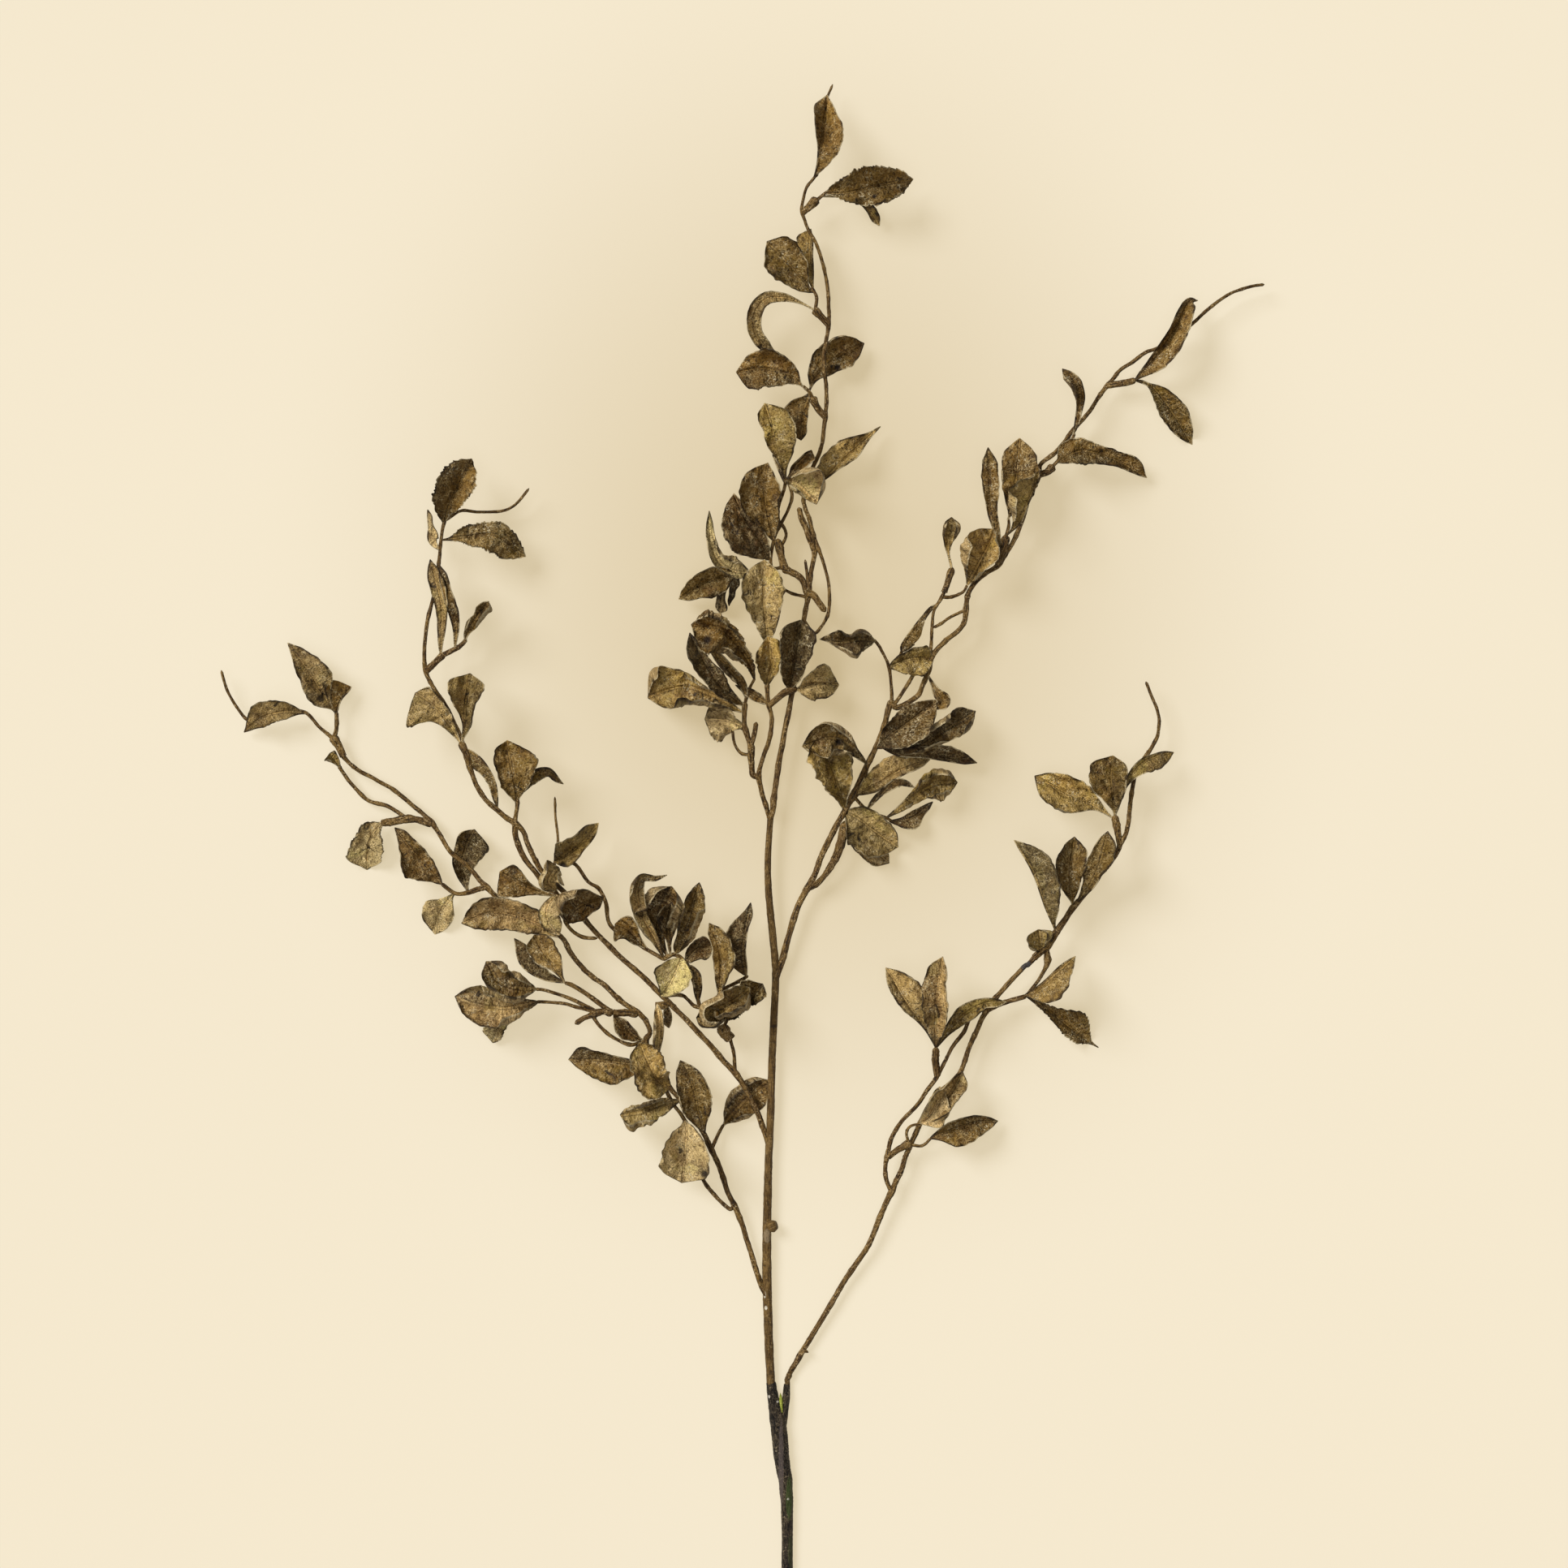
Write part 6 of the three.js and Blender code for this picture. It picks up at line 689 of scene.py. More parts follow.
class Curve:
    """A smooth curve through given points."""

    def __init__(self, points):
        points = np.array(points, float)
        first, last = 2 * points[0] - points[1], 2 * points[-1] - points[-2]
        self.spans = len(points) - 1
        self.wide = np.vstack([first, points, last])

    def at(self, shares):
        """Points at shares of the curve, where each span between given points has an equal share."""
        place = np.clip(np.asarray(shares, float), 0, 1) * self.spans
        i = np.minimum(place.astype(int), self.spans - 1)
        w = (place - i)[..., None]
        before, start, end, after = (self.wide[i + k] for k in range(4))
        t0, t1 = (end - before) / 2, (after - start) / 2
        bend = 3 * (end - start) - 2 * t0 - t1
        return start + t0 * w + bend * w**2 + (2 * (start - end) + t0 + t1) * w**3

    def length(self):
        """Length along the curve."""
        return np.linalg.norm(np.diff(self.at(np.linspace(0, 1, 200)), axis=0), axis=1).sum()

    def axes(self, share, steps):
        """Up and left at shares of the curve, carried along it in steps from up nearest to +Z, untwisted."""
        shares = np.linspace(0, 1, steps + 1)
        ahead = self.at(shares + TANGENT_STEP) - self.at(shares - TANGENT_STEP)
        ahead /= np.linalg.norm(ahead, axis=1, keepdims=True)
        up = np.array([0.0, 0.0, 1.0])
        ups = []
        for direction in ahead:
            up = up - direction * up.dot(direction)
            up = up / np.linalg.norm(up)
            ups.append(up)
        lefts = np.cross(ups, ahead)
        return [unit(np.stack([np.interp(share, shares, axis[:, k]) for k in range(3)], axis=-1))
                for axis in (np.array(ups), lefts)]


def half_width(widths, share):
    """Half of a blade's width at shares of its length, as a smooth curve through the given ones."""
    values = np.array([ROOT_HALF_WIDTH, *widths, TIP_HALF_WIDTH])
    places = np.array([0.0, *WIDTH_SHARES, 1.0])
    last = len(places) - 1
    i = np.arange(last + 1)
    before, after = np.maximum(0, i - 1), np.minimum(last, i + 1)
    slope = (values[after] - values[before]) / (places[after] - places[before])
    start = np.clip(np.searchsorted(places, share, side="right") - 1, 0, last - 1)
    step = places[start + 1] - places[start]
    part = (share - places[start]) / step
    rise = values[start + 1] - values[start]
    leave, arrive = slope[start] * step, slope[start + 1] * step
    bend = 3 * rise - 2 * leave - arrive
    smooth_width = values[start] + leave * part + bend * part**2 + (leave + arrive - 2 * rise) * part**3
    return np.maximum(LEAST_HALF_WIDTH, smooth_width)


class Blade:
    """One leaf as a grid: rows along its rib from the root, and columns across it from right to left."""

    def __init__(self, leaf, index, seed):
        self.name, points, left_widths, right_widths, self.shape = leaf
        self.rng = np.random.default_rng(seed)
        self.curve = Curve(points)
        length = self.curve.length()
        self.width = max(left_widths) + max(right_widths)
        self.rows = max(LEAST_ROWS, round(length / CELL))
        self.columns = 2 * max(LEAST_COLUMNS, round(self.width / CELL / 2))
        self.share = np.linspace(0, 1, self.rows + 1)[:, None]
        across = np.linspace(-1, 1, self.columns + 1)[None, :]
        self.side = np.where(across < 0, -1.0, 1.0)
        self.reach = np.abs(across)
        self.s = self.share * length
        self.phase = index * WAVE_STEP + self.side
        left, right = (half_width(widths, self.share) for widths in (left_widths, right_widths))
        half = np.where(self.side > 0, left, right)
        self.half = half * (1 + NOTCH_DEPTH * np.sin(2 * math.pi * NOTCH_COUNT * self.share + 2 * self.phase))
        self.flatness = np.minimum(1, self.half / FLAT_HALF_WIDTH) ** 2

    def of_halves(self, key):
        """A value of the leaf's shape that is given for both of its halves or as [left, right]."""
        value = self.shape.get(key, 0)
        left, right = value if isinstance(value, list) else (value, value)
        return np.where(self.side > 0, left, right)

    def cut_edges(self):
        """Makes the outline uneven, and toothed on some leaves."""
        apart = HALVES_APART * self.side
        ragged = waves(self.rng, self.s, apart, RAGGED_LENGTH)
        ragged = ragged + 0.5 * waves(self.rng, self.s, apart, RAGGED_LENGTH / 2)
        cut = RAGGED * (RAGGED_MORE if self.name in CRUMPLED else 1) * ragged * self.flatness
        if self.name in TOOTHED:
            tooth = (self.s / TOOTH_LENGTH + TOOTH_SHIFT * ragged) % 1
            cut = cut - TOOTH_DEPTH / np.maximum(self.half, 1) * tooth * self.flatness
        self.half = self.half * (1 + cut)
        self.flat_out = self.side * self.reach * self.half

    def fold(self):
        """Height over the rib of a blade whose halves are folded, curled and waved."""
        roll = self.shape.get("roll", 0) + self.shape.get("twist", 0) * self.share
        fold = self.of_halves("fold") + self.rng.uniform(*MORE_FOLD)
        lean = self.side * roll + fold + self.of_halves("curl") * self.reach / 2
        lean = np.radians(np.clip(lean, -STEEPEST, STEEPEST))
        wave = WAVE_HEIGHT * self.width * self.flatness
        wave = wave * np.sin(2 * math.pi * WAVE_COUNT * self.share + self.phase)
        return self.half * self.reach * np.tan(lean) * self.flatness + wave * self.reach**2

    def crumple(self):
        """Height of the crumples and creases, which are stronger towards the edges and tip."""
        size = np.minimum(1, self.width / CRUMPLE_WIDTH) * smooth(0.0, CRUMPLE_START, self.share)
        size = size * (CRUMPLED_MORE if self.name in CRUMPLED else 1) * self.flatness
        crumple = sum(height * waves(self.rng, self.s, self.flat_out, span) for span, height in CRUMPLES)
        crease = np.abs(waves(self.rng, CREASE_STRETCH * self.s, self.flat_out, CREASE_LENGTH))
        crease = CREASE_HEIGHT * (CREASE_MEAN - crease)
        return size * (crumple + crease) * (0.5 + 0.5 * self.reach)

    def veins(self):
        """Height of the side veins, less the depth of the midrib."""
        distance = np.abs(self.flat_out)
        slant = self.s - VEIN_SLANT * distance - VEIN_BEND * distance**2 + VEIN_SHIFT * (self.side > 0)
        off = np.abs((slant / VEIN_SPACING) % 1 - 0.5) * VEIN_SPACING
        vein = VEIN_HEIGHT * bump(off, VEIN_HALF_WIDTH) * smooth(0, VEIN_START, distance)
        return (vein - MIDRIB_DEPTH * bump(distance, MIDRIB_HALF_WIDTH)) * self.flatness

    def roll_edges(self):
        """How far out the blade reaches with its edges rolled over here and there, and how high they rise."""
        curled = self.name in CURLED
        rolled = waves(self.rng, self.s, ROLLS_APART * self.side, ROLL_LENGTH)
        rolled = smooth(*(CURLED_RANGE if curled else ROLL_RANGE), rolled)
        angle = np.radians(CURLED_ANGLE if curled else ROLL_ANGLE) * rolled * self.flatness + LEAST_ANGLE
        strip_share = CURLED_SHARE if curled else ROLL_SHARE
        bend = angle / (strip_share * self.half)
        strip = np.maximum(0, self.reach - 1 + strip_share) * self.half
        flat_part = np.minimum(self.reach, 1 - strip_share) * self.half
        widest = (1 - strip_share) * self.half + np.sin(np.minimum(angle, math.pi / 2)) / bend
        level_out = self.side * (flat_part + np.sin(bend * strip) / bend) * self.half / widest
        turn = 1 if self.rng.uniform() < ROLL_UP_SHARE else -1
        return level_out, turn * (1 - np.cos(bend * strip)) / bend

    def thickness(self):
        """Thickness of the blade, and how much its rib stands out below."""
        petiole = 1 - smooth(0, PETIOLE_LENGTH, self.s)
        thick = BLADE_THICKNESS + (PETIOLE_THICKNESS - BLADE_THICKNESS) * petiole
        thick = thick * (1 - (1 - EDGE_SHARE) * self.reach**2 * (1 - petiole))
        return thick, RIB_HEIGHT * bump(np.abs(self.flat_out), MIDRIB_HALF_WIDTH) * (1 - self.share)

    def mesh(self):
        """Corners, quads and layers. The layer leaf_place is (along the rib, out from it, to the edge)."""
        self.cut_edges()
        rise = self.fold() + self.crumple() + self.veins()
        level_out, rolled_rise = self.roll_edges()
        rise = rise + rolled_rise
        # The middle surface, with the widths laid out level
        share = self.share[:, 0]
        ahead = self.curve.at(share + SLOPE_STEP) - self.curve.at(share - SLOPE_STEP)
        ahead = unit(ahead * [1.0, 1.0, 0.0])
        level = np.stack([-ahead[:, 1], ahead[:, 0], np.zeros(self.rows + 1)], axis=-1)[:, None, :]
        middle = self.curve.at(share)[:, None, :] + level * level_out[..., None]
        middle[..., 2] += rise
        mark = np.zeros(rise.shape)
        for x, y, radius, depth in PITS:
            inside = 1 - smooth(*PIT_WALL, np.linalg.norm(middle[..., :2] - [x, y], axis=-1) / radius)
            middle[..., 2] -= depth * inside
            mark = np.maximum(mark, inside)
        # Two faces, a thickness apart and clear of the surface below
        normal = unit(np.cross(np.gradient(middle, axis=0), np.gradient(middle, axis=1)))
        thick, rib = self.thickness()
        top = middle + normal * (thick / 2)[..., None]
        bottom = middle - normal * (thick / 2 + rib)[..., None]
        lift = np.maximum(0, FLOOR_CLEAR - np.minimum(top[..., 2], bottom[..., 2]))
        top[..., 2] += lift
        bottom[..., 2] += lift
        to_edge = (1 - self.reach) * self.half
        place = np.stack(np.broadcast_arrays(self.s, self.flat_out, to_edge), axis=-1).reshape(-1, 3)
        layers = {
            "leaf_place": np.concatenate([place, place]),
            "leaf_back": np.repeat([0.0, 1.0], len(place)),
            "leaf_mark": np.tile(mark.ravel(), 2),
        }
        corners = np.concatenate([top.reshape(-1, 3), bottom.reshape(-1, 3)])
        return corners, blade_faces(self.rows, self.columns), layers


def blade_faces(rows, columns):
    """Quads of two grids of corners, the upper one first, and of the wall round them."""
    here = np.arange(rows)[:, None] * (columns + 1) + np.arange(columns)[None, :]
    upper = np.stack([here, here + columns + 1, here + columns + 2, here + 1], axis=-1).reshape(-1, 4)
    face_size = (rows + 1) * (columns + 1)
    lower = upper[:, ::-1] + face_size
    ring = np.concatenate([
        np.arange(columns), columns + np.arange(rows) * (columns + 1),
        face_size - 1 - np.arange(columns), (rows - np.arange(rows)) * (columns + 1),
    ])
    following = np.roll(ring, -1)
    wall = np.stack([ring, following, following + face_size, ring + face_size], axis=-1)
    return np.concatenate([upper, lower, wall])


def tube_faces(steps, sides):
    """Quads of a tube of steps + 1 sections, and triangles to a point at each end."""
    i = np.arange(steps)[:, None] * sides
    k = np.arange(sides)[None, :]
    following = (k + 1) % sides
    quads = np.stack(np.broadcast_arrays(i + k, i + following, i + sides + following, i + sides + k), axis=-1)
    k, following = k[0], following[0]
    last = steps * sides
    ends = np.concatenate([
        np.stack([following, k, np.full(sides, last + sides)], axis=-1),
        np.stack([last + k, last + following, np.full(sides, last + sides + 1)], axis=-1),
    ])
    return [quads.reshape(-1, 4), ends]


def swelling(rng, centre, s, branchings, thick):
    """How much thicker a twig is at its knots and where others grow from it, as a share of its radius."""
    swell = np.zeros(len(s))
    place = rng.uniform(0.3, 1) * KNOT_SPACING
    while place < s[-1] - KNOT_HALF_LENGTH and not thick:
        swell += KNOT_HEIGHT * rng.uniform(0.3, 1) * bump(s - place, KNOT_HALF_LENGTH)
        place += KNOT_SPACING * rng.uniform(0.5, 1.5)
    for start in branchings:
        distance = np.linalg.norm(centre - start, axis=1)
        swell = np.maximum(swell, COLLAR_HEIGHT * bump(distance, COLLAR_HALF_LENGTH))
    return swell


def twig_mesh(radii, points, seed, branchings=(), thick=False):
    """Corners, faces and grain places of one twig, swollen where others start. A thin twig has knots and a
    round end; a thick stem is smoother and ends flat."""
    rng = np.random.default_rng(seed)
    curve = Curve(points)
    length = curve.length()
    steps = max(LEAST_STEPS, round(length / SECTION_STEP))
    share = np.linspace(0, 1, steps + 1)
    s = share * length
    centre = curve.at(share)
    up, left = curve.axes(share, max(steps, RIB_STEPS))
    radius = np.interp(share, np.linspace(0, 1, len(radii)), radii)
    swell = swelling(rng, centre, s, branchings, thick)
    largest = max(radii)
    sides = max(TWIG_SIDES, 2 * round(math.pi * largest / SIDE_LENGTH))
    angle = np.linspace(0, 2 * math.pi, sides, endpoint=False)[None, :]
    x, y = largest * np.cos(angle), largest * np.sin(angle)
    rough = waves(rng, s[:, None] / 2 + x, y + x / 2, BARK_LENGTH)
    rough = rough + FINE_BARK * waves(rng, s[:, None], x - y, BARK_LENGTH / 3)
    from_end = np.minimum(1, (length - s) / radius[-1] + thick)
    cap = np.sqrt(np.maximum(BLUNTNESS, 1 - (1 - from_end) ** 2))
    roughness = STEM_ROUGHNESS if thick else BARK_ROUGHNESS
    full = (radius * (1 + swell) * cap)[:, None] * (1 + roughness * rough)
    ring = left[:, None, :] * (full * np.cos(angle))[..., None]
    ring = ring + up[:, None, :] * (full * np.sin(angle))[..., None]
    corners = (centre[:, None, :] + ring).reshape(-1, 3)
    end = centre[-1:] + END_HEIGHT * unit(centre[-1:] - centre[-2:-1])
    corners = np.concatenate([corners, centre[:1], end])
    corners[:, 2] = np.maximum(corners[:, 2], 0)
    start = seed * GRAIN_STEP
    grain = np.stack(np.broadcast_arrays(x, y, s[:, None] + start), axis=-1).reshape(-1, 3)
    grain = np.concatenate([grain, [[0, 0, start]], [[0, 0, start + length]]])
    return corners, tube_faces(steps, sides), grain


class Shell:
    """Gathers corners, faces and numbers per corner, and makes them one mesh object."""

    def __init__(self):
        self.corners, self.faces, self.layers, self.count = [], [], {}, 0

    def add(self, corners, faces, **layers):
        """Adds corners in millimetres, groups of faces between them, and layers of numbers for them."""
        self.corners.append(corners)
        self.faces += [face for group in faces for face in (group + self.count).tolist()]
        for key, values in layers.items():
            self.layers.setdefault(key, []).append(values)
        self.count += len(corners)

    def build(self, name, material, sharp_degrees):
        """The mesh object, smooth but for edges that are sharper than an angle."""
        corners = (np.concatenate(self.corners) - MIDDLE) * MM
        mesh = bpy.data.meshes.new(name)
        mesh.from_pydata(corners.tolist(), [], self.faces)
        for key, values in self.layers.items():
            values = np.concatenate(values)
            kind, field = LAYER_KINDS[1 if values.ndim == 1 else values.shape[1]]
            layer = mesh.attributes.new(key, kind, "POINT")
            layer.data.foreach_set(field, values.astype(np.float32).ravel())
        mesh.shade_smooth()
        mesh.set_sharp_from_angle(angle=math.radians(sharp_degrees))
        mesh.materials.append(material)
        piece = bpy.data.objects.new(name, mesh)
        bpy.context.collection.objects.link(piece)
        return piece


class Nodes:
    """A new material, and short calls that add nodes to it. Values are sockets, numbers or colours."""

    def __init__(self, name):
        self.material = bpy.data.materials.new(name)
        self.material.use_nodes = True
        self.tree = self.material.node_tree
        self.shader = self.tree.nodes["Principled BSDF"]
        self.where = self.add("TexCoord").outputs["Object"]

    def give(self, socket, value):
        """Links a socket to a value that is a socket, and sets it to any other."""
        if isinstance(value, bpy.types.NodeSocket):
            self.tree.links.new(value, socket)
        else:
            socket.default_value = value

    def shade(self, **inputs):
        """Gives the shader its inputs, whose names are written with _ for spaces."""
        for key, value in inputs.items():
            self.give(self.shader.inputs[key.replace("_", " ")], value)

    def add(self, kind, inputs=(), **settings):
        """A new node of a kind, with its inputs and settings."""
        node = self.tree.nodes.new("ShaderNode" + kind)
        for key, value in settings.items():
            setattr(node, key, value)
        for key, value in dict(inputs).items():
            self.give(node.inputs[key], value)
        return node

    def layer(self, name, kind="Fac"):
        """Numbers that the mesh holds for each corner."""
        return self.add("Attribute", attribute_name=name).outputs[kind]

    def calc(self, operation, *values):
        """Arithmetic on numbers."""
        return self.add("Math", dict(enumerate(values)), operation=operation).outputs[0]

    def times(self, first, second):
        """The product of two numbers."""
        return self.calc("MULTIPLY", first, second)

    def vector(self, operation, *values):
        """Arithmetic on places and colours."""
        node = self.add("VectorMath", dict(enumerate(values)), operation=operation)
        return node.outputs["Value" if operation == "LENGTH" else "Vector"]

    def tint(self, colour, factors, *added):
        """A colour times factors, and plus what is added."""
        return self.vector("MULTIPLY_ADD" if added else "MULTIPLY", colour, factors, *added)

    def mix(self, factor, first, second):
        """The first colour where the factor is 0, and the second where it is 1."""
        node = self.add("Mix", data_type="RGBA", clamp_factor=True)
        for key, value in (("Factor", factor), ("A", first), ("B", second)):
            self.give(next(s for s in node.inputs if s.name == key and s.enabled), value)
        return next(s for s in node.outputs if s.enabled)

    def ramp(self, value, low, high, top=1.0):
        """0 where a value is under low and top over high, or the other way round where low is the larger."""
        inputs = {"Value": value, "From Min": low, "From Max": high, "To Max": top}
        return self.add("MapRange", inputs, interpolation_type="SMOOTHSTEP").outputs["Result"]

    def noise(self, place, scale, detail=3.0, roughness=0.6, warp=0.0):
        """Noise from 0 to 1 with features of 1 / scale."""
        node = self.add("TexNoise", {"Vector": place, "Scale": scale, "Detail": detail})
        node.inputs["Roughness"].default_value = roughness
        node.inputs["Distortion"].default_value = warp
        return node.outputs["Fac"]

    def borders(self, place, scale, low, high):
        """1 on the borders of cells about 1 / scale across, and 0 away from them. A noise winds them."""
        wind = {"Vector": place, "Scale": WIND_SCALE * scale, "Detail": 2.0}
        bend = self.add("TexNoise", wind).outputs["Color"]
        bend = self.vector("MULTIPLY_ADD", bend, (WIND_SIZE / scale,) * 3, place)
        node = self.add("TexVoronoi", {"Vector": bend, "Scale": scale}, feature="DISTANCE_TO_EDGE")
        return self.ramp(node.outputs["Distance"], high, low)

    def lines(self, value, level, width):
        """1 on the thin winding lines where a value passes a level."""
        return self.ramp(self.calc("ABSOLUTE", self.calc("SUBTRACT", value, level)), width, 0.0)

    def away(self, centre, half_sizes):
        """Distance from a centre, in half sizes. Both are in millimetres, as in the part's source."""
        away = self.vector("SUBTRACT", self.where, tuple((np.array(centre) - MIDDLE) * MM))
        away = self.vector("DIVIDE", away, tuple(np.array(half_sizes) * MM))
        return self.vector("LENGTH", away)

    def spots(self, colour, marks):
        """Adds soft-edged marks to a colour: [centre, half sizes, colour, strength]."""
        for centre, half_sizes, code, strength in marks:
            inside = self.ramp(self.away(centre, half_sizes), *MARK_EDGE, strength)
            colour = self.mix(inside, colour, srgb(code))
        return colour

    def relief(self, distance, *heights):
        """Gives the shader bumps: a distance times the sum of (height, strength)."""
        total = 0.0
        for height, strength in heights:
            total = self.calc("MULTIPLY_ADD", height, strength, total)
        node = self.add("Bump", {"Height": total, "Strength": 1.0, "Distance": distance})
        self.shade(Normal=node.outputs[0])


# Leaves. Noises are (scale, detail, roughness, warp), with scales per millimetre of the leaf's own place or
# per metre of the stem. Nets are (scale, and the distances from a border where it is full and gone), and
# tints are (factors, what is added).
CRINKLE, SMALL, SPECK = (0.42, 1.0, 0.5, 0.3), (1.05, 1.5, 0.55, 0.25), (2.3, 1.0)
COARSE_NET, FINE_NET, FINE_NET_SHARE = (0.22, 0.03, 0.09), (0.5, 0.02, 0.12), 0.6
WIND_SCALE, WIND_SIZE = 1.6, 1.1
BACK_LAYER, NUMBER_LAYER = 9.0, 7.0
BROAD, FINE, WORN = (75, 3.0, 0.55, 0.2), (800, 2.0, 0.6), (120,)
PATCHES, RUST_PATCHES = (42, 3.0, 0.5, 0.6), (83, 3.0, 0.6, 0.3)
HIGHLIGHT_FLECK_PLACES, SPOTS = (100, 2.0, 0.5), (133, 3.0, 0.55, 0.8)
# The first tint below lightens crests and veins: partly the leaf's pale colour and partly painted highlight
PALE_AND_HIGHLIGHT_TINT = (1.3, 1.3, 1.4), (0.11, 0.088, 0.042)
NET_TINT = (1.1, 1.1, 1.2), (0.21, 0.170, 0.090)
LIGHT_TINT = (1.25, 1.28, 1.4), (0.03, 0.027, 0.014)
DARK_TINT = ((0.40, 0.34, 0.28),)
# Painted shade in hollows, cracks and grooves
RECESS_SHADE_TINT = ((0.22, 0.17, 0.12),)
OLIVE_TINT = ((1.12, 1.3, 0.85),)
# Of these colours, the near-white fleck and the pale thin rim are painted highlights
BACK, RUST, HIGHLIGHT_FLECK, RIM, RIM_HIGHLIGHT, SPOT = "9c845a", "5f3c20", "cdbf9c", "261a10", "bfae88", "231b17"
LEAF_GLOSS = 0.22
LEAF_RELIEF = 0.0009


def leaf_material():
    """A dried leaf: a pale crinkled net over painted shade in its hollows, painted highlights on crests and
    rims, veins, patches, dark spots and edges.
    """
    m = Nodes("dried_leaf")
    where, tone = m.where, m.layer("leaf_tone", "Color")
    axes = m.add("SeparateXYZ", {"Vector": m.layer("leaf_place", "Vector")})
    s, out, edge = (axes.outputs[k] for k in "XYZ")
    back, mark, number = (m.layer(key) for key in ("leaf_back", "leaf_mark", "leaf_number"))
    distance = m.calc("ABSOLUTE", out)
    # Each leaf and each of its faces has its own layer of the patterns
    layer = m.calc("MULTIPLY_ADD", back, BACK_LAYER, m.times(number, NUMBER_LAYER))
    lying = m.add("CombineXYZ", {"X": s, "Y": out, "Z": layer}).outputs[0]
    crinkle, small, speck = (m.noise(lying, *pattern) for pattern in (CRINKLE, SMALL, SPECK))
    broad, fine, worn = (m.noise(where, *pattern) for pattern in (BROAD, FINE, WORN))
    worn = m.ramp(worn, 0.38, 0.56)
    pale_share = m.calc("MULTIPLY_ADD", worn, 0.8, 0.15)
    fine_net = m.times(m.borders(lying, *FINE_NET), FINE_NET_SHARE)
    net = m.calc("MAXIMUM", m.borders(lying, *COARSE_NET), fine_net)
    net = m.times(m.times(net, pale_share), m.ramp(small, 0.32, 0.46))
    # From dark to pale over the blade, and paler and greyer on its back
    base = m.mix(m.times(back, 0.6), tone, srgb(BACK))
    pale_and_highlight, recess_shade = m.tint(base, *PALE_AND_HIGHLIGHT_TINT), m.tint(base, *RECESS_SHADE_TINT)
    colour = m.mix(m.ramp(broad, 0.54, 0.66, 0.7), base, m.tint(base, *LIGHT_TINT))
    colour = m.mix(m.ramp(broad, 0.50, 0.34), colour, m.tint(base, *DARK_TINT))
    # Olive and rust patches
    colour = m.mix(m.ramp(m.noise(where, *PATCHES), 0.54, 0.62, 0.4), colour, m.tint(base, *OLIVE_TINT))
    colour = m.mix(m.ramp(m.noise(where, *RUST_PATCHES), 0.60, 0.68, 0.4), colour, srgb(RUST))
    # Painted shade in the hollows and cracks of the crinkles, the pale net on their crests with painted
    # highlights, and nearly white flecks that are painted highlights
    hollow = m.ramp(crinkle, 0.44, 0.32)
    colour = m.mix(m.times(hollow, 0.7), colour, recess_shade)
    colour = m.mix(m.ramp(small, 0.44, 0.36, 0.55), colour, recess_shade)
    colour = m.mix(m.ramp(speck, 0.45, 0.35, 0.5), colour, recess_shade)
    # Pale lines and specks on the crests: partly the leaf's pale colour and partly painted highlight
    colour = m.mix(m.times(m.lines(small, 0.52, 0.05), m.times(pale_share, 0.6)), colour, pale_and_highlight)
    colour = m.mix(m.ramp(speck, 0.54, 0.64, 0.45), colour, pale_and_highlight)
    colour = m.mix(net, colour, m.tint(colour, *NET_TINT))
    # Painted highlights: nearly white flecks on the crests
    highlight_fleck = m.times(m.ramp(fine, 0.55, 0.62), m.ramp(worn, 0.6, 1.0))
    highlight_fleck = m.times(highlight_fleck, m.ramp(m.noise(where, *HIGHLIGHT_FLECK_PLACES), 0.50, 0.60))
    colour = m.mix(m.times(highlight_fleck, 0.8), colour, srgb(HIGHLIGHT_FLECK))
    # Side veins as in the mesh, and the midrib, with painted shade in the grooves at its sides
    slant = m.calc("SUBTRACT", s, m.times(distance, VEIN_SLANT))
    slant = m.calc("SUBTRACT", slant, m.times(m.calc("POWER", distance, 2.0), VEIN_BEND))
    slant = m.calc("ADD", slant, m.times(m.calc("GREATER_THAN", out, 0.0), VEIN_SHIFT))
    turn = m.calc("FRACT", m.calc("DIVIDE", slant, VEIN_SPACING))
    off = m.times(m.calc("ABSOLUTE", m.calc("SUBTRACT", turn, 0.5)), VEIN_SPACING)
    vein = m.times(m.ramp(off, 0.42, 0.1), m.ramp(crinkle, 0.40, 0.56))
    colour = m.mix(m.times(vein, 0.45), colour, pale_and_highlight)
    # Painted shade in the grooves beside the midrib
    groove = m.ramp(m.calc("ABSOLUTE", m.calc("SUBTRACT", distance, 0.75)), 0.45, 0.0, 0.55)
    colour = m.mix(groove, colour, recess_shade)
    rib = m.times(m.ramp(broad, 0.40, 0.56), m.ramp(small, 0.36, 0.5))
    colour = m.mix(m.times(rib, m.ramp(distance, 0.6, 0.25, 0.8)), colour, pale_and_highlight)
    # Dark edges with a painted highlight on a thin rim, spots and pits
    rim = m.times(m.ramp(edge, 1.9, 0.3, 0.85), m.ramp(broad, 0.58, 0.44))
    colour = m.mix(rim, colour, srgb(RIM))
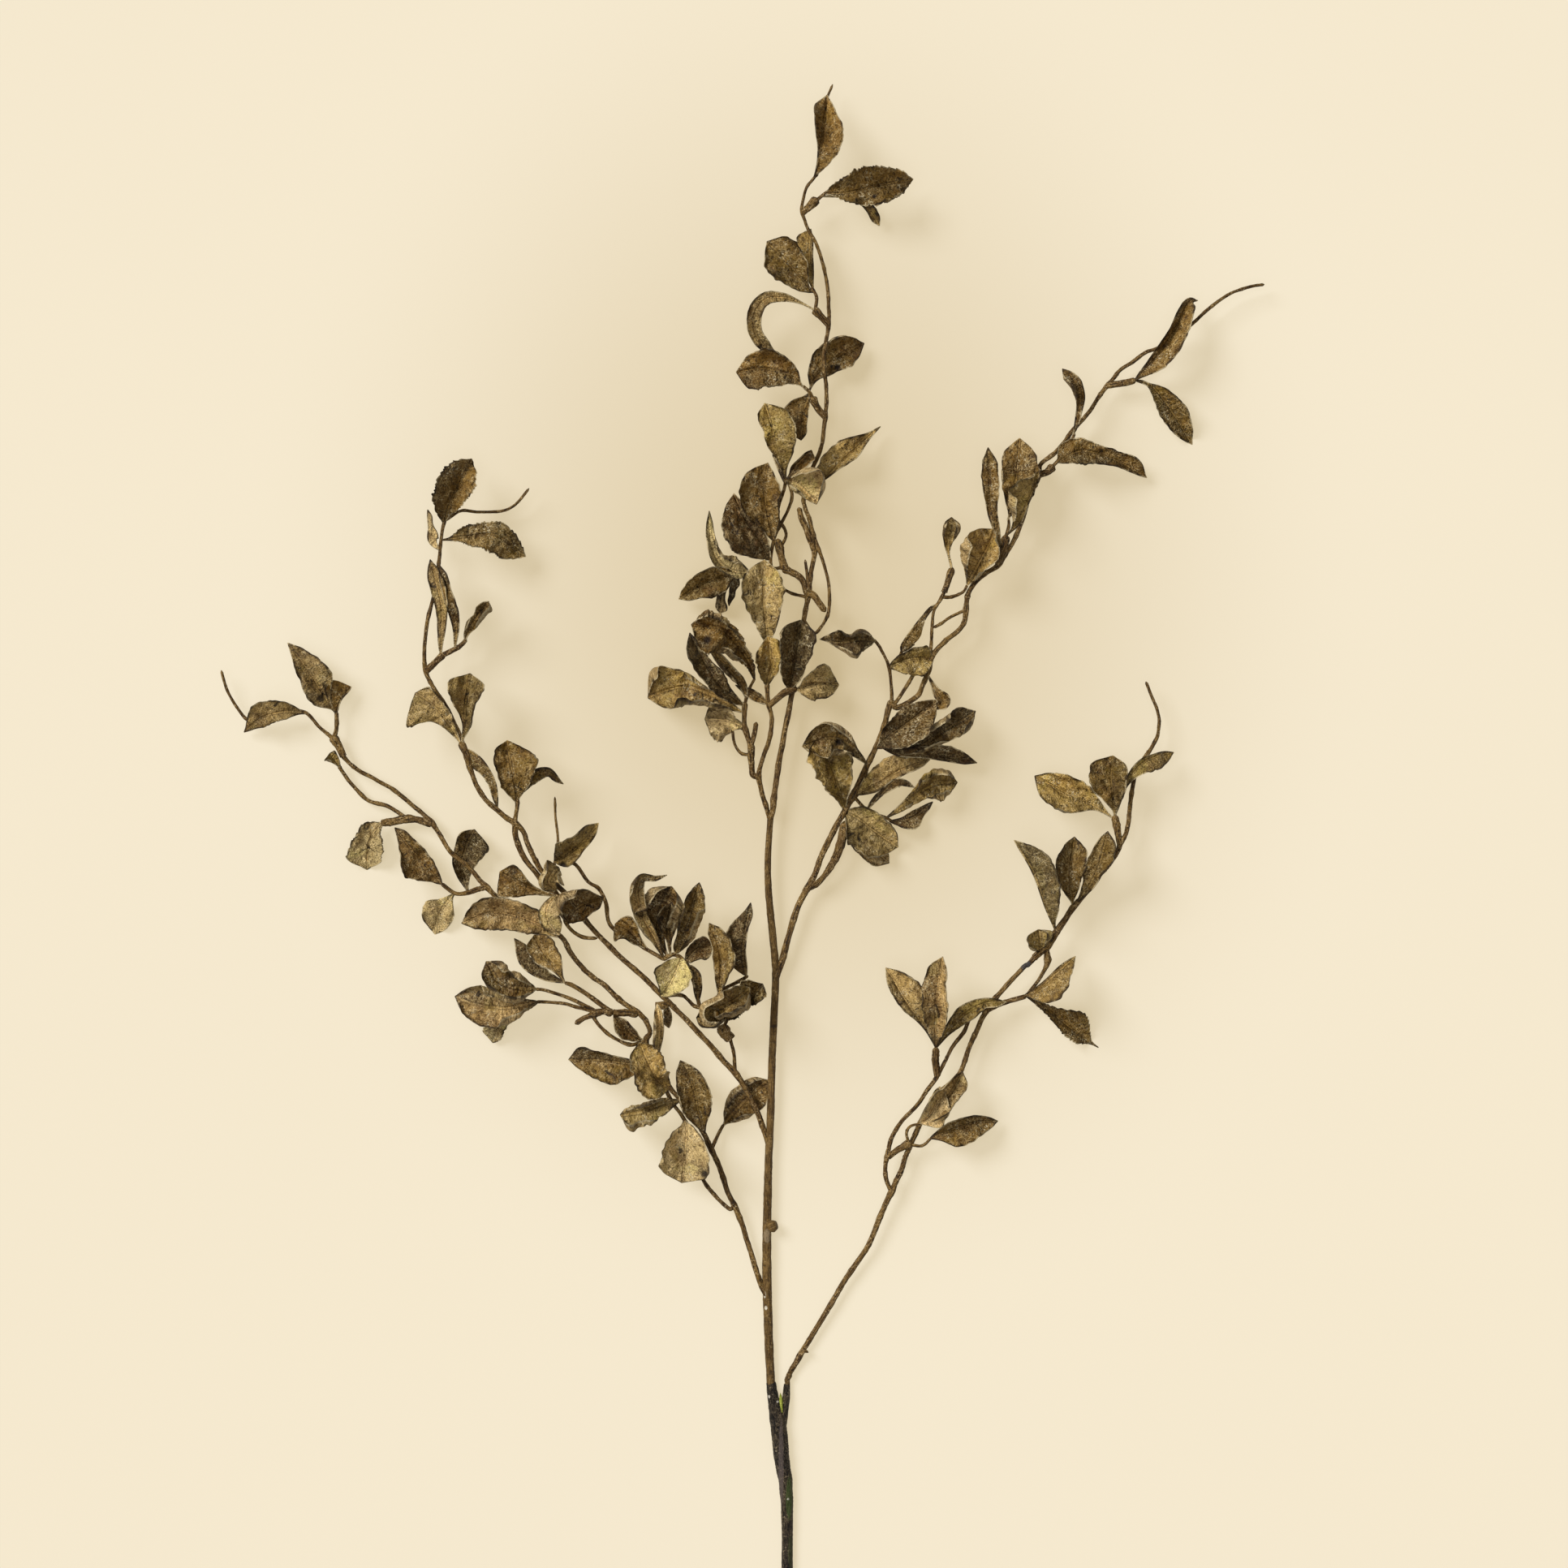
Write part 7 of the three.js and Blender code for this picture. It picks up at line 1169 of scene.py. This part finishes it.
    # Painted highlight: a pale thin rim where the edge catches the light
    rim = m.times(m.ramp(edge, 0.8, 0.3, 0.8), m.ramp(broad, 0.46, 0.54))
    colour = m.mix(rim, colour, srgb(RIM_HIGHLIGHT))
    spot = m.ramp(m.noise(where, *SPOTS), 0.64, 0.71, 0.85)
    colour = m.mix(m.calc("MAXIMUM", spot, m.times(mark, 0.96)), colour, srgb(SPOT))
    roughness = m.calc("MULTIPLY_ADD", small, 0.35, 0.42)
    m.shade(Base_Color=colour, Roughness=roughness, Specular_IOR_Level=LEAF_GLOSS)
    m.relief(LEAF_RELIEF, (net, 0.35), (crinkle, 1.6), (small, 0.9), (speck, 0.3), (hollow, -0.3))
    return m.material


# Bark: noises as on leaves, where the grain of a twig is in millimetres and drawn out along it or round it
ALONG, ROUND = (1.0, 1.0, 0.16), (0.2, 0.2, 1.7)
WRINKLES, RINGS = (1.25, 3.0, 0.6, 0.3), (0.8, 3.0, 0.6)
BARK_BROAD, BARK_FINE, BARK_PALE = (70, 3.0), (750, 3.0, 0.7), (140,)
BARK_GLOSS = 0.2
BARK_RELIEF = 0.0008


def bark_material(name, base, light, dark, flecks, fleck_share, wear, marks=()):
    """Bark with lengthwise wrinkles and rings that are as dark as wear says, pale flecks, and marks."""
    m = Nodes(name)
    where, grain = m.where, m.layer("grain", "Vector")
    wrinkle = m.noise(m.vector("MULTIPLY", grain, ALONG), *WRINKLES)
    ring = m.noise(m.vector("MULTIPLY", grain, ROUND), *RINGS)
    broad, fine = m.noise(where, *BARK_BROAD), m.noise(where, *BARK_FINE)
    colour = m.mix(m.ramp(broad, 0.42, 0.62), srgb(base), srgb(light))
    colour = m.mix(m.ramp(wrinkle, 0.50, 0.40, wear), colour, srgb(dark))
    colour = m.mix(m.ramp(ring, 0.57, 0.65, 0.8 * wear), colour, srgb(dark))
    colour = m.mix(m.ramp(fine, 0.46, 0.36, 0.5 * wear), colour, srgb(dark))
    pale = m.ramp(fine, 0.66 - 0.16 * fleck_share, 0.72 - 0.16 * fleck_share)
    pale = m.times(pale, m.ramp(m.noise(where, *BARK_PALE), 0.42, 0.58))
    pale = m.calc("MAXIMUM", pale, m.times(m.lines(wrinkle, 0.56, 0.03), fleck_share))
    colour = m.mix(m.times(pale, 0.75), colour, srgb(flecks))
    colour = m.spots(colour, marks)
    roughness = m.calc("MULTIPLY_ADD", wrinkle, 0.4, 0.32)
    m.shade(Base_Color=colour, Roughness=roughness, Specular_IOR_Level=BARK_GLOSS)
    m.relief(BARK_RELIEF, (wrinkle, 1.4), (fine, 0.5), (ring, -0.6))
    return m.material


# Marks are [centre, half sizes, colour, strength], with a soft edge between two shares of the half sizes:
# white flecks on the main stem, a grey-blue joint on the outer right branch, and on the stock green tinges, a
# painted grey sheen of reflected light on the left and small white scars.
MARK_EDGE = (1.15, 0.75)
MAIN_MARKS = [
    [[-13, 268.5, 10], [1.0, 2.4, 6], "d8d0bc", 0.9],
    [[-12.2, 260.5, 10], [1.1, 1.5, 6], "d8d0bc", 0.95],
    [[-11.4, 305, 9], [2.6, 4.5, 6], "94846a", 0.55],
    [[-7, 434.5, 10], [3.5, 0.9, 6], "3a2b1c", 0.8],
]
TWIG_MARKS = [
    [[148, 472, 20], [3.4, 3.4, 16], "3a3d42", 0.75],
    [[-49.5, 470, 20], [1.2, 3.0, 16], "2c2320", 0.6],
]
STOCK_MARKS = [
    [[2.2, 143, 5], [2.2, 14, 9], "3f5022", 0.65],
    [[3.0, 110, 5], [1.8, 10, 9], "3b4220", 0.5],
    # Painted sheen: reflected light as a grey patch on the left of the stock
    [[-2.8, 166, 5], [1.8, 30, 9], "5f5450", 0.6],
    [[-10.2, 205.5, 5], [0.6, 1.1, 6], "c9c2b4", 0.9],
    [[-5, 202.5, 6], [0.8, 0.7, 6], "c9c2b4", 0.8],
    [[1.5, 142.5, 8], [0.7, 0.7, 4], "c9c2b4", 0.8],
]
LEAF = leaf_material()
TWIG = bark_material("twig_bark", "5a3f16", "7a5d2a", "1e1207", "b89e72", 0.7, 0.85, TWIG_MARKS)
MAIN = bark_material("main_bark", "604720", "7a5e31", "2b1c0e", "a89164", 0.4, 0.65, MAIN_MARKS)
STOCK = bark_material("stock_bark", "1f1710", "3a2f20", "050302", "93836a", 0.6, 0.9, STOCK_MARKS)
NOTCH = bark_material("fresh_wood", "8f9a2e", "a8ab4a", "5b6a1c", "c4c47c", 0.2, 0.6)
BARKS = {"stock": STOCK, "main_stem": MAIN}

# The notch between the stock's two arms: a sliver of fresh yellow-green wood, given as a twig is
NOTCH_TWIG = [[0.5, 1.1, 1.2, 0.5], [[-2.7, 191.5, 6.4], [-2.7, 199, 5.6], [-3.2, 207.5, 4.4]]]
# Random draws: the seed before the first twig, and the step to those of the leaves' tones. Twigs that start
# closer together than this are one, and the patterns of a node's leaves are this far apart.
FIRST_SEED = 100
TONE_SEED_STEP = 5000
SAME_PLACE = 0.01
NUMBER_STEP = 3.7
TONE_OF = {name: tone for tone, names in TONES.items() for name in names}


def leaf_tone(name, seed, place):
    """Colour per corner of a leaf: its tone, a little apart from its neighbours, with painted shade on one
    half of some, and painted light and shade that make one half of each a little lighter than the other.
    """
    rng = np.random.default_rng(seed)
    s, out = place[:, 0], place[:, 1]
    colour = np.array(srgb(TONE_COLOURS[TONE_OF.get(name, "middle")])[:3])
    colour *= rng.uniform(*TONE_RANGE) * rng.uniform(*HUE_RANGE, 3)
    colour *= WARMER if name in WARM else 1
    colour *= GREYER if name in GREY else 1
    # Painted shade on the steep right or left half of some leaves
    share = 1 - HALF_SHADE * (name in SHADED_RIGHT_HALF) * smooth(0.5, -0.5, out)
    share = share - HALF_SHADE * (name in SHADED_LEFT_HALF) * smooth(-0.5, 0.5, out)
    # Painted light and shade: one half of each leaf lighter and the other darker by a random share, as on a
    # folded leaf
    share = share * (1 + rng.uniform(-1, 1) * HALF_SHADE_APART * np.clip(out, -1, 1))
    share = share * (1 + rng.uniform(-1, 1) * ENDS_APART * (2 * s / s.max() - 1))
    return np.concatenate([share[:, None] * colour, np.ones((len(out), 1))], axis=1)


def bark_shell(twigs, seed, thick=False):
    """The bark of a node's twigs. The thin ones have collars where another of them starts."""
    shell = Shell()
    starts = [] if thick else [np.array(points[0], float) for radii, points in twigs[1:]]
    for radii, points in twigs:
        seed += 1
        others = [start for start in starts if np.linalg.norm(start - points[0]) > SAME_PLACE]
        corners, faces, grain = twig_mesh(radii, points, seed, others, thick)
        shell.add(corners, faces, grain=grain)
    return shell


def leaves_shell(leaves, seed):
    """The leaves of a node, each with its tone and number."""
    shell = Shell()
    for index, leaf in enumerate(leaves):
        seed += 1
        corners, quads, layers = Blade(leaf, index, seed).mesh()
        layers["leaf_tone"] = leaf_tone(leaf[0], seed + TONE_SEED_STEP, layers["leaf_place"])
        layers["leaf_number"] = np.full(len(corners), NUMBER_STEP * index)
        shell.add(corners, [quads], **layers)
    return shell


seed = FIRST_SEED
for node, twigs in TWIGS.items():
    thick = node in ("stock", "main_stem")
    piece = bark_shell(twigs, seed, thick).build(node + "_bark", BARKS.get(node, TWIG), BARK_SHARP)
    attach(piece, "root")
    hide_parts(node)
    seed += len(twigs)
    if node in LEAVES:
        piece = leaves_shell(LEAVES[node], seed).build(node + "_leaves", LEAF, LEAF_SHARP)
        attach(piece, "root")
        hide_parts(node)
        seed += len(LEAVES[node])

piece = bark_shell([NOTCH_TWIG], seed).build("stock_notch", NOTCH, BARK_SHARP)
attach(piece, "root")

# Camera: straight above, at the photograph's framing. The photo's pixels are half a millimetre.
SENSOR = 36.0
LENS = 130.0
PHOTO_PIXELS = 1932
PIXEL = 0.5
VIEW_CENTRE = (-1.0, 584.0)
FOCUS_HEIGHT = 15.0
FARTHEST = 20
camera_data = bpy.data.cameras.new("camera")
camera_data.sensor_width, camera_data.lens = SENSOR, LENS
camera_data.clip_end = FARTHEST
camera = bpy.data.objects.new("camera", camera_data)
bpy.context.collection.objects.link(camera)
camera_distance = PHOTO_PIXELS * PIXEL * LENS / SENSOR
camera.location = (np.array([*VIEW_CENTRE, FOCUS_HEIGHT + camera_distance]) - MIDDLE) * MM
bpy.context.scene.camera = camera

# Floor: a plain pale surface that glows, as on a light table, so that shadows stay faint. A soft shadow is
# painted into its colour and glow round the leaves, a little darker and warmer: centre and half sizes in
# millimetres, and the shares of them between which the painted shadow darkens.
FLOOR_SIZE = 30.0
SHADE_CENTRE = (16.0, 690.0, 0.0)
SHADE_SIZE = (300.0, 380.0, 1000.0)
SHADE_EDGE = (1.2, 0.0)
FLOOR_GLOW = 0.7
FLOOR_ROUGHNESS = 0.95
bpy.ops.mesh.primitive_plane_add(size=FLOOR_SIZE, location=(0, 0, 0))
floor = bpy.context.object
floor.name = "floor"
paper = Nodes("paper")
grey = paper.mix(paper.noise(paper.where, 2.5, 2.0), srgb("868788"), srgb("8a8b8b"))
# Painted shadow: darker, warmer colour and glow round the leaves
shade = paper.ramp(paper.away(SHADE_CENTRE, SHADE_SIZE), *SHADE_EDGE)
paper.shade(
    Base_Color=paper.mix(shade, grey, srgb("7c7a74")),
    Emission_Color=paper.mix(shade, srgb("f4e2bb"), srgb("ddc696")),
    Emission_Strength=FLOOR_GLOW, Roughness=FLOOR_ROUGHNESS, Specular_IOR_Level=0.0)
floor.data.materials.append(paper.material)
floor.visible_diffuse = False

# Light: a soft key from the upper left, a weaker one from above, and an even sky
LIGHT_COLOUR = (1.0, 0.98, 0.95)
SKY_COLOUR = (1.0, 0.97, 0.92, 1.0)
SKY_STRENGTH = 0.25


def soft_light(name, direction, power, spread):
    """Even light from far away. A wide spread makes soft shadows."""
    data = bpy.data.lights.new(name, "SUN")
    data.energy, data.angle, data.color = power, math.radians(spread), LIGHT_COLOUR
    lamp = bpy.data.objects.new(name, data)
    lamp.rotation_euler = Vector(direction).to_track_quat("-Z", "Y").to_euler()
    bpy.context.collection.objects.link(lamp)


soft_light("key_light", (1.0, -0.75, -1.25), 2.9, 28)
soft_light("top_light", (0.1, 0.1, -1.0), 0.8, 40)
world = bpy.data.worlds.new("sky")
world.use_nodes = True
sky = world.node_tree.nodes["Background"].inputs
sky["Color"].default_value, sky["Strength"].default_value = SKY_COLOUR, SKY_STRENGTH
bpy.context.scene.world = world
bpy.context.scene.view_settings.view_transform = "Standard"
